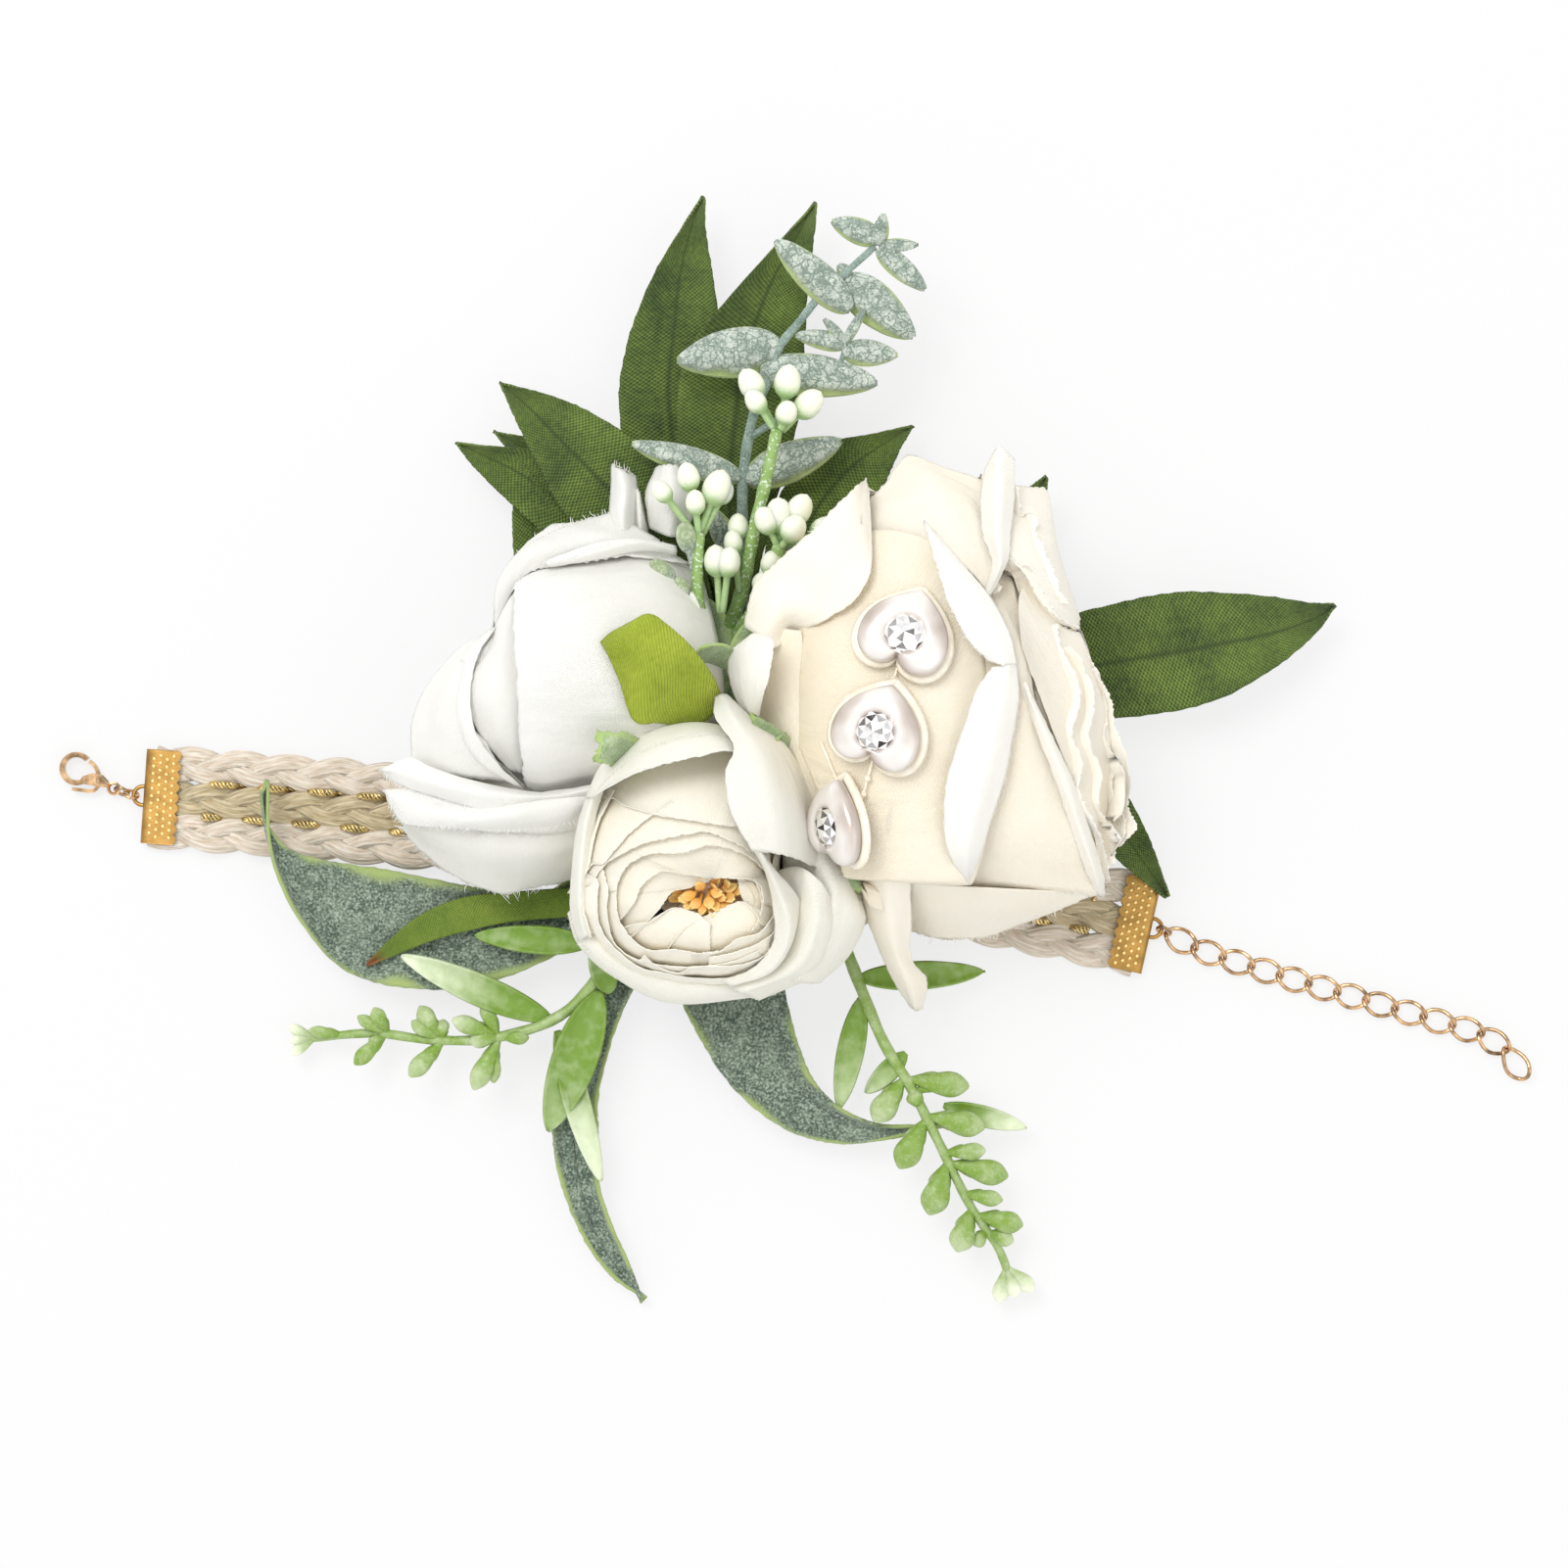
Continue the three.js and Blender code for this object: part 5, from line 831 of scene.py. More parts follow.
def rose():
    """The left bloom: photographed petals over plainer ones that fill it."""
    outer, inner, bud = Bag(), Bag(), Bag()
    cover = Cover(ROSE_OUTLINE, (585, 710))

    def raised(places):
        """The bud's side of the rose stands higher than its rows say, and all that lies there alike."""
        return [(x, y, z + BUD_LIFT * min(max((BUD_EDGE - x) / BUD_FADE, 0), 1)) for x, y, z in places]

    def drawn(bag, rows, *rest, **more):
        draw(bag, cover, [raised(row) for row in rows], *rest, **more)

    # The tones of the rose's petals are painted shade, set for each drawn petal and from foot to rim for the
    # plainer ones.
    drawn(outer, [
        [(728, 772, 20), (738, 735, 26), (738, 690, 30), (730, 640, 28), (716, 585, 20)],
        [(668, 802, 24), (674, 762, 35), (676, 690, 40), (674, 622, 36.5), (670, 566, 26)],
        [(600, 803, 26), (600, 766, 37), (600, 690, 43.5), (602, 622, 41), (606, 572, 29)],
        [(560, 809, 26), (556, 765, 36), (552, 690, 42), (548, 630, 39), (548, 581, 29)],
        [(539, 805, 26), (533, 765, 34), (529, 690, 39.5), (526, 636, 36.5), (526, 594, 29)],
    ], foot_shade_tone(np.zeros((44, 60)), 0.35, 0.0), 2, 44, 60, 0.4, 16)
    drawn(inner, [
        [(527, 596, 29), (520, 610, 27), (506, 640, 24)], [(540, 584, 29.5), (528, 583, 29), (507, 600, 24)],
        [(560, 577, 30), (550, 558, 30), (527, 566, 23)], [(600, 572, 31), (588, 550, 30), (560, 538, 22)],
        [(640, 566, 30), (622, 545, 28), (588, 533, 21)], [(700, 575, 25), (670, 552, 24), (626, 524, 19)],
    ], 0.12, 5, 40, 26, 0.35, 8, 0.9)
    drawn(inner, [
        [(560, 579, 31), (558, 577, 31.5), (556, 574, 31)],
        [(610, 571, 31.5), (608, 563, 33), (606, 555, 31.5)],
        [(655, 562, 30), (652, 554, 31.5), (650, 550, 30)],
        [(690, 566, 27), (690, 562, 27.5), (690, 558, 27)],
    ], 0.0, 6, 30, 12, 0.1, 8, 0.3)
    for k, rows in enumerate([
        [[(652, 556, 19), (638, 556, 23), (624, 556, 18)], [(650, 530, 19), (635, 528, 25), (622, 526, 18)],
         [(651, 502, 18), (637, 500, 22.5), (624, 500, 17)],
         [(649, 487, 16), (635, 481, 19), (625, 475, 16)]],
        [[(664, 556, 18), (655, 556, 21), (647, 556, 18)], [(659, 528, 18), (653, 528, 21), (648, 524, 18)],
         [(655, 508, 17), (651, 502, 19), (648, 500, 16)]],
        [[(700, 548, 20), (683, 548, 23), (664, 540, 19)], [(708, 515, 20), (686, 512, 24), (660, 505, 19)],
         [(700, 482, 17), (686, 476, 20), (670, 478, 17)]],
    ]):
        drawn(inner, rows, (0.0, 0.25, 0.1)[k], 20 + k, 24, 18, 0.3, 6)
    drawn(inner, [
        [(531, 600, 29), (520, 612, 29), (507, 636, 25)],
        [(529, 650, 34.5), (515, 655, 33.5), (501, 662, 31)],
        [(529, 700, 37), (502, 702, 35), (475, 704, 32.5)],
        [(531, 750, 34), (512, 750, 33), (491, 750, 31.5)],
        [(534, 790, 28.5), (527, 788, 28.2), (520, 786, 28)],
    ], 0.2, 31, 40, 30, 0.3, 9, 0.35)
    drawn(bud, [
        [(512, 636, 26), (507, 640, 25), (500, 645, 21)], [(505, 664, 31), (488, 662, 29), (470, 662, 22)],
        [(480, 700, 33), (456, 697, 30), (436, 702, 21)], [(478, 735, 32), (448, 735, 29), (421, 738, 20)],
        [(500, 765, 31), (458, 762, 28.5), (420, 772, 21)],
        [(518, 796, 27.6), (466, 792, 26), (412, 786, 21)],
    ], 0.1, 32, 40, 34, 0.35, 9, 0.5)
    drawn(bud, [
        [(506, 640, 27.5), (500, 643, 27), (494, 648, 25)], [(488, 668, 32), (480, 672, 31), (472, 672, 28)],
        [(480, 705, 34), (471, 708, 33), (462, 706, 30)], [(484, 745, 34), (474, 745, 32.5), (466, 742, 29)],
        [(508, 780, 31), (492, 778, 30.5), (484, 772, 28.5)],
        [(532, 803, 28.2), (524, 800, 28), (516, 794, 27)],
    ], 0.05, 34, 40, 26, 0.25, 9, 0.4)
    # the petals' inside seen through the crescent opening; its tone of 0.85 paints it as shaded
    drawn(bud, [
        [(535, 802, 26), (505, 775, 27), (462, 760, 24)], [(536, 806, 25), (500, 790, 23), (460, 772, 20)],
        [(537, 808, 25), (498, 803, 24), (455, 788, 21)],
    ], 0.85, 33, 20, 34, 0.15, 9, 0.2)
    # the flares' tones are painted shade, most on the lowest one
    flares = [
        ([[(606, 801, 31), (560, 809, 29), (520, 805, 28), (475, 795, 27.5), (440, 783, 26), (419, 774, 25),
           (390, 785, 24)],
          [(604, 806, 32), (560, 813, 31), (515, 812, 30), (470, 805, 29.5), (435, 796, 28),
           (412, 788, 26.5), (390, 787, 24.5)],
          [(600, 812, 31), (555, 818, 30), (505, 826, 28), (468, 820, 27), (435, 810, 25.5), (408, 801, 24),
           (390, 789, 23)]], 0.0),
        ([[(606, 803, 30), (560, 808, 29), (520, 817, 28), (490, 824, 27.5), (455, 818, 26), (420, 806, 24),
           (393, 806, 22)],
          [(604, 815, 31), (560, 822, 31), (515, 832, 30), (482, 836, 28.5), (446, 832, 26), (415, 820, 24),
           (393, 808, 22)],
          [(600, 828, 30), (555, 836, 30), (510, 843, 28.5), (470, 844, 27), (434, 843, 24), (411, 836, 22),
           (396, 812, 21)],
          [(594, 848, 25), (550, 850, 26), (508, 848, 26), (468, 845, 25.5), (433, 844, 23), (410, 838, 21),
           (397, 814, 20.5)]], 0.05),
        ([[(604, 842, 25), (550, 846, 25.5), (505, 843, 25), (470, 838, 24), (430, 832, 21), (400, 822, 18)],
          [(602, 868, 23), (550, 873, 24), (505, 870, 23), (468, 862, 21.5), (434, 850, 19), (406, 834, 16)],
          [(590, 890, 17), (545, 897, 17), (508, 898, 16), (470, 886, 15), (438, 864, 14), (414, 846, 13)],
          [(583, 898, 14), (545, 905, 14), (512, 911, 13), (468, 894, 12), (434, 868, 11.5),
           (410, 846, 11)]], 0.3),
    ]
    for k, (rows, tone) in enumerate(flares):
        drawn(outer, rows, tone, 40 + k, 26, 70, 0.45, 9, 0.9, threads=1.8)
    loose_edge(outer, raised([(396, 811, 23.5), (404, 824, 24), (416, 834, 24.5), (434, 842, 25),
                              (456, 845, 27), (480, 846, 28)]),
               (-0.3, 1), 1.9, 81)
    loose_edge(outer, raised([(480, 846, 28), (510, 848, 29), (555, 846, 30), (590, 838, 30)]),
               (0.1, 1), 0.9, 82)
    loose_edge(outer, raised([(391, 788, 25), (402, 799, 25.5), (420, 808, 26.5), (450, 817, 27.5),
                              (475, 822, 28)]), (-0.2, 1), 1.3, 83)
    loose_edge(inner, raised([(526, 566, 24), (548, 550, 25), (566, 541, 25), (590, 532, 24),
                              (624, 523, 22)]), (-0.3, -1), 1.0, 84)
    loose_edge(inner, raised([(545, 578, 32), (580, 570, 33), (608, 559, 33.5), (650, 553, 32.5),
                              (690, 560, 28.5)]), (0, -1), 0.8, 85)
    loose_edge(inner, raised([(625, 474, 17), (636, 478, 20), (647, 485, 17)]), (0, -1), 0.9, 86)
    far = [
        (20, 40, 0.85, 0.16, 1.0, 0.9, 0.5, 0),
        (172, 50, 0.6, 0.16, 1.25, 0.95, 0.25, 0),
        (248, 50, 0.8, 0.16, 1.1, 0.95, 0.4, 0),
        (310, 45, 0.86, 0.16, 1.1, 0.95, 0.4, 0.2),
        (205, 45, 0.72, 0.16, 1.2, 0.95, 0.3, 0.4),
    ]
    for k, row in enumerate(far):
        grid = cover.tuck(petal(ROSE, *row, seed=60 + k, depth=0.5, roll=0.5), 1.2)
        outer.sheet(grid, THIN, foot_shade_tone(grid, 0.6, 0.05))
    wraps = [(60, 0.84, 0.98, 0.6), (160, 0.86, 1.02, 0.66), (280, 0.86, 0.98, 0.72), (220, 0.8, 0.9, 0.6),
             (340, 0.8, 0.9, 0.62)]
    for k, (at, reach, belly, rim) in enumerate(wraps):
        grid = cover.tuck(petal(ROSE, at, 56, reach, 0.12, belly, rim, 0.3, 1 + 0.25 * k, seed=70 + k,
                                roll=0.4), 1.8)
        inner.sheet(grid, THIN, foot_shade_tone(grid, 0.7, 0.1))
    for k in range(9):
        share = k / 9
        grid = petal(ROSE, 30 + GOLDEN_ANGLE * k, 70 - 20 * share, 0.86 - 0.12 * share, 0.1,
                     0.78 - 0.42 * share,
                     0.42 - 0.3 * share, 0.35, 2 + 0.4 * k, lap=0.12, seed=80 + k, roll=0.3, nu=22, nv=36)
        bud.sheet(cover.tuck(grid, 2.2), THIN, foot_shade_tone(grid, 0.8, 0.15))
    outer.object("rose_outer_silk", WHITE_SILK, "rose_outer_petals", "white_silk")
    inner.object("rose_inner_silk", WHITE_SILK, "rose_inner_petals", "white_silk")
    bud.object("rose_bud_silk", WHITE_SILK, "rose_bud", "white_silk")


RANUNCULUS_OUTLINE = [(597, 812), (617, 778), (655, 749), (698, 738), (735, 738), (749, 717), (778, 740),
                      (804, 763), (824, 801), (836, 841), (842, 887), (884, 938), (881, 953), (847, 993),
                      (804, 1013), (744, 1022), (686, 1025), (635, 999), (603, 970), (583, 953), (581, 921),
                      (584, 870)]


def seen(x, y, corner=(575, 700), scale=4.68):
    """Pixels of the photograph from places measured in an enlarged part of it."""
    return corner[0] + np.asarray(x, float) / scale, corner[1] + np.asarray(y, float) / scale


class Dome(Outline):
    """The closed face of a bloom: nested petals, each one under the petal outside it."""

    def __init__(self, outline, centre, top, fall, tilt, dip, seed):
        super().__init__([seen(*p) for p in outline], centre)
        self.top, self.fall, self.tilt, self.dip, self.seed = top, fall, tilt, dip, seed

    def height(self, px):
        """The dome's height at those pixels, sunk where the stamens stand."""
        off = px - self.centre
        share = np.hypot(off[..., 0], off[..., 1]) / self.limit(off)
        x, y, deep, wide = self.dip
        hole = deep * np.exp(-((px[..., 0] - x) ** 2 + (1.5 * (px[..., 1] - y)) ** 2) / wide ** 2)
        folds = noise_grid(px[..., 0] / 46, px[..., 1] / 46, self.seed)
        lean = self.tilt * (self.centre[1] - px[..., 1])
        return self.top - self.fall * share ** 3 + lean - hole + 0.5 * folds

    def petal(self, bag, rim, depth, tone, seed, nu=30, nv=80):
        """A petal from its rim out to the bloom's outline, that many layers down."""
        line = np.array([seen(*p) for p in rim])
        line = spline(np.concatenate([line, np.zeros((len(line), 1))], 1), nv)[:, :2]
        line += 0.5 * np.stack([noise_grid(line[:, 0] / 7, line[:, 1] / 7, seed + k) for k in (0, 5)], -1)
        off = line - self.centre
        away = np.hypot(off[:, 0], off[:, 1])
        outer = np.maximum(self.limit(off) * (1.0 - 0.015 * depth), away + 8)
        v = np.linspace(1, 0, nu)[:, None] ** 1.3
        px = self.centre + off[None] * (1 + v * (outer / away - 1))[..., None]
        lip, steep = 0.45 * np.exp(-v * (outer - away) / 5), (2.5 + 0.3 * depth) * v ** 6
        z = self.height(px) - 0.42 * depth + lip - 0.6 * v - steep
        grid = at_px(px[..., 0], px[..., 1], z)
        # the tone is painted shade, deepening towards the outline where the petal slides under the one
        # outside it
        bag.sheet(fray(grid, 0.3, seed), 0.14, tone + 0.35 * np.clip(v, 0, 1) * np.ones((1, nv)))


# the face's outline, and each petal's depth in layers, tone of painted shade and rim, as places for seen()
BUD_OUTLINE = [(1040, 900), (1130, 1050), (1110, 1180), (1060, 1340), (850, 1405), (640, 1410), (450, 1385),
               (300, 1345), (200, 1280), (120, 1190), (50, 1090), (35, 950), (60, 780), (110, 640),
               (205, 470), (330, 330), (600, 250), (850, 250), (960, 450), (1010, 700)]
BUD_RIMS = [
    (1, 0.0, [(245, 500), (175, 640), (140, 760), (122, 860), (92, 940), (88, 1040), (110, 1120),
              (135, 1200)]),
    (1, 0.1, [(130, 540), (240, 540), (300, 575), (430, 612), (600, 640), (790, 668), (920, 660)]),
    (2, 0.1, [(60, 990), (130, 862), (190, 850), (240, 790), (330, 690), (430, 612), (520, 560)]),
    (2, 0.0, [(110, 900), (165, 935), (160, 1030), (175, 1150), (240, 1250), (360, 1345), (470, 1372),
              (600, 1395), (720, 1402), (870, 1388), (1010, 1330), (1090, 1210)]),
    (3, 0.15, [(120, 960), (205, 852), (340, 772), (450, 735), (600, 705), (690, 697), (800, 738),
               (900, 790), (980, 800)]),
    (3, 0.05, [(390, 1290), (440, 1335), (540, 1372), (640, 1345), (850, 1335), (990, 1270), (1062, 1150),
               (1040, 1000), (1020, 900)]),
    (4, 0.05, [(190, 880), (212, 980), (208, 1060), (218, 1160), (255, 1245), (330, 1300), (440, 1332),
               (560, 1345), (700, 1340), (820, 1315), (930, 1270)]),
    (4, 0.15, [(1010, 800), (1000, 930), (1036, 1080), (1015, 1170), (930, 1235), (820, 1275), (700, 1300)]),
    (5, 0.15, [(250, 980), (275, 900), (330, 840), (430, 800), (560, 800), (700, 760), (860, 800),
               (960, 880), (1010, 980)]),
    (6, 0.1, [(300, 860), (258, 940), (252, 1020), (262, 1105), (310, 1190), (400, 1262), (540, 1262),
              (640, 1280), (740, 1272)]),
    (6, 0.1, [(620, 1282), (740, 1276), (830, 1214), (930, 1185), (1000, 1110), (1010, 1020)]),
    (7, 0.2, [(240, 1180), (330, 1142), (420, 1128), (520, 1064), (630, 1088), (700, 1140)]),
    (7, 0.25, [(270, 1120), (335, 1040), (370, 962), (440, 900), (500, 886), (600, 905), (720, 918),
               (830, 920), (900, 928), (945, 962), (960, 1040)]),
    (8, 0.2, [(330, 1200), (400, 1130), (452, 1074), (520, 986), (600, 966), (690, 932), (740, 905)]),
    (8, 0.3, [(500, 1260), (560, 1180), (622, 1134), (720, 1086), (850, 1034), (915, 1084), (945, 1140)]),
    (9, 0.3, [(900, 900), (940, 980), (950, 1060), (938, 1110), (900, 1180)]),
    (10, 0.35, [(800, 900), (838, 926), (852, 1000), (900, 1076), (932, 1120), (920, 1200)]),
    (11, 0.5, [(420, 1120), (480, 1020), (600, 940), (760, 900), (880, 960), (900, 1060), (780, 1110),
               (640, 1150), (500, 1160)]),
]


def ranunculus():
    """The middle bloom: photographed outer petals, a domed face and plainer petals that fill it."""
    outer, middle, heart = Bag(), Bag(), Bag()
    cover = Cover(RANUNCULUS_OUTLINE, (715, 880))
    # The petals' tones in this bloom are painted shade, set for each drawn petal and from foot to rim for the
    # plainer ones.
    draw(outer, cover, [
        [(606, 822, 26), (598, 815, 34), (606, 813, 39), (617, 806, 42)],
        [(628, 790, 22), (615, 780, 34), (628, 786, 41), (645, 791, 45)],
        [(662, 765, 20), (651, 750, 34), (664, 761, 42), (675, 780, 46.5)],
        [(702, 755, 20), (698, 738, 34), (704, 750, 43), (712, 772, 47.5)],
        [(738, 756, 22), (738, 741, 35), (739, 751, 43), (738, 766, 47.5)],
        [(768, 770, 25), (764, 758, 36), (760, 762, 43), (756, 768, 46)],
    ], 0.0, 101, 50, 34, 0.25, 8, 0.6)
    draw(outer, cover, [
        [(730, 712, 36), (736, 709, 38), (742, 709, 36)],
        [(731, 733, 43), (752, 733, 44), (768, 733, 36)],
        [(750, 762, 48), (776, 763, 46.5), (800, 758, 36)],
        [(741, 790, 48.5), (786, 798, 47.5), (826, 800, 34)],
        [(748, 832, 47.5), (797, 840, 46.5), (839, 843, 33)],
        [(768, 868, 45), (803, 873, 44), (841, 888, 32)],
    ], 0.02, 102, 46, 40, 0.2, 11, 0.3)
    draw(outer, cover, [
        [(745, 826, 44), (758, 838, 46), (772, 858, 44)], [(764, 858, 43), (776, 870, 44.5), (790, 886, 42)],
        [(782, 892, 40), (793, 905, 42), (812, 912, 38)], [(790, 930, 38), (806, 938, 40), (818, 930, 34)],
        [(790, 962, 36), (803, 968, 37.5), (812, 958, 32)], [(770, 988, 33), (784, 994, 34), (796, 985, 29)],
        [(738, 1001, 30.5), (748, 1006, 31), (758, 1002, 28)],
    ], 0.1, 103, 50, 22, 0.15, 9, 0.3)
    for k, rows in enumerate([
        [[(800, 862, 30), (830, 862, 34), (858, 880, 33), (872, 905, 30), (872, 907, 25)],
         [(800, 905, 27), (840, 905, 35), (862, 925, 35), (882, 938, 31), (882, 939, 24)],
         [(795, 950, 26), (835, 955, 34), (852, 965, 33), (866, 975, 28), (866, 976, 21)],
         [(770, 985, 25), (805, 1000, 31), (822, 1003, 30), (838, 1002, 25), (838, 1002, 17)]],
        [[(790, 890, 29), (815, 885, 37), (838, 900, 38), (850, 920, 35), (850, 922, 29)],
         [(790, 930, 28), (825, 935, 37), (840, 945, 37), (850, 955, 33), (850, 957, 24)],
         [(770, 970, 26), (808, 985, 34), (820, 990, 33), (832, 992, 29), (832, 994, 19)],
         [(720, 985, 24), (752, 1010, 30), (762, 1016, 29), (775, 1020, 25), (776, 1020, 16)]],
        [[(600, 905, 26), (586, 925, 28), (580, 932, 26), (581, 933, 20)],
         [(630, 950, 25), (606, 962, 28), (592, 965, 25), (593, 965, 18)],
         [(670, 975, 24), (645, 990, 27), (628, 997, 24), (630, 996, 17)],
         [(715, 985, 24), (705, 1008, 27), (690, 1024, 23), (692, 1022, 15)],
         [(770, 980, 24), (778, 1010, 27), (790, 1016, 23), (790, 1014, 15)]],
    ]):
        draw(outer, cover, rows, 0.1, 110 + k, 34, 30, 0.25, 8, 0.4)
    draw(outer, cover, [
        [(616, 806, 35), (606, 809, 37), (598, 815, 33)], [(607, 838, 34.5), (597, 842, 36), (589, 847, 31)],
        [(602, 880, 33.5), (592, 885, 35), (584, 890, 30)],
        [(601, 918, 32), (591, 924, 33), (582.5, 930, 28)],
        [(606, 952, 29), (597, 957, 29.5), (590, 961, 26)],
    ], 0.0, 114, 50, 22, 0.2, 8, 0.35)
    guards = [
        (150, 46, 0.88, 0.18, 1.4, 0.84, 0.12, 0),
        (205, 46, 0.82, 0.18, 1.34, 0.92, 0.12, 0.1),
        (258, 44, 0.78, 0.18, 1.32, 0.95, 0.12, 0.0),
        (305, 46, 0.76, 0.18, 1.34, 0.98, 0.12, 0.15),
        (350, 44, 0.78, 0.18, 1.32, 0.98, 0.14, 0.05),
        (60, 50, 0.8, 0.18, 1.35, 0.9, 0.14, 0.1),
        (100, 48, 0.84, 0.18, 1.38, 0.86, 0.12, 0.05),
    ]
    face = Dome(BUD_OUTLINE, (724.6, 905), 43.5, 13, 0.018, (718, 914, 4.5, 44), 3)
    lowest = Cover(RANUNCULUS_OUTLINE, (715, 880))
    lowest.low = cover.low.copy()
    for k, (depth, tone, rim) in enumerate(BUD_RIMS):
        face.petal(middle if depth < 6 else heart, rim, depth, tone, 120 + k)
    # a cup at the bottom of the mouth; its tone of 0.75 paints it as shaded
    turn = np.linspace(0, 2 * math.pi, 41)
    bowl = np.array([[at_px(718 + 50 * s * math.cos(a), 914 + 26 * s * math.sin(a), 32.6 + 2.2 * s ** 3)
                      for a in turn] for s in np.linspace(0.02, 1, 12)])
    heart.sheet(bowl, THIN, 0.75)
    rows, cols = np.mgrid[0:CELLS, 0:CELLS]
    middles = np.stack([cols, rows], -1) * float(CELL) + CELL / 2
    field = face.height(middles) - 6.0
    off = middles - face.centre
    field[np.hypot(off[..., 0], off[..., 1]) > face.limit(off)] = np.inf
    lowest.low = np.minimum(lowest.low, field)
    for k, row in enumerate(guards):
        grid = lowest.tuck(petal(RANUNCULUS, *row, seed=120 + k, depth=0.4, pitch=8, roll=0.25,
                                 roll_turn=80, nv=80))
        outer.sheet(grid, THIN, foot_shade_tone(grid, 0.7, 0.05))
    oval = Flower((-0.045, 0.018, 0.075), 259, 68, 27, 24.5, 0.88, 0.88, pressed=False)
    for k in range(10):
        share = k / 9
        at = 75 + GOLDEN_ANGLE * k
        lean = 0.05 * math.sin(math.radians(at))
        grid = petal(oval, at, 66 - 6 * share, 0.86 + lean - 0.2 * share, 0.15, 1.25 - 0.6 * share,
                     0.84 - 0.5 * share, 0.1 + 0.1 * share, 0.35 + 0.2 * k, corner=0.22, lap=0.06,
                     ruffle=0.01, seed=140 + k, depth=0.3, pitch=7, roll=0.0, nu=24, nv=60, fray_size=0.55)
        (middle if k < 5 else heart).sheet(lowest.tuck(grid, 1.2), THIN,
                                           foot_shade_tone(grid, 0.7, 0.05 + 0.3 * share))
    loose_edge(outer, [(606, 813, 39), (628, 786, 42), (664, 761, 43.5), (704, 751, 44.5), (738, 750, 44)],
               (0.3, 1), 0.7, 91)
    loose_edge(outer, [(839, 845, 33.5), (852, 862, 33), (866, 890, 32.5), (883, 938, 31)],
               (1, -0.2), 0.8, 92)
    loose_edge(outer, [(582, 932, 28), (590, 960, 27), (604, 972, 27), (628, 997, 25)], (-1, 0.5), 0.7, 93)
    outer.object("ranunculus_outer_silk", CREAM_SILK, "ranunculus_outer_petals", "cream_silk")
    middle.object("ranunculus_middle_silk", WARM_SILK, "ranunculus_middle_petals", "cream_silk")
    heart.object("ranunculus_heart_silk", WARM_SILK, "ranunculus_heart_petals", "cream_silk")


PEONY_FRONT = dict(at=96, span=56, reach=0.66, foot=0.14, belly=1.34, rim=0.98, low=0.22, level=0,
                   corner=0.12, lap=0.04, ruffle=0.01)
PEONY_OUTLINE = [(883, 491), (905, 505), (927, 467), (994, 491), (1020, 456), (1035, 469), (1068, 502),
                 (1072, 532), (1087, 595), (1102, 629), (1120, 680), (1136, 734), (1143, 767), (1154, 793),
                 (1154, 823), (1162, 849), (1150, 862), (1136, 887), (1124, 913), (1088, 930), (1046, 939),
                 (1001, 955), (949, 954), (927, 946), (884, 931), (870, 880), (800, 830), (765, 760),
                 (744, 690), (750, 650), (770, 610), (825, 550), (860, 515)]
SEAM_MIDDLE, SEAM_SLOPE = (930, 899), 0.06
SEAM_SQUEEZE, SEAM_SINK = 0.06, 0.01


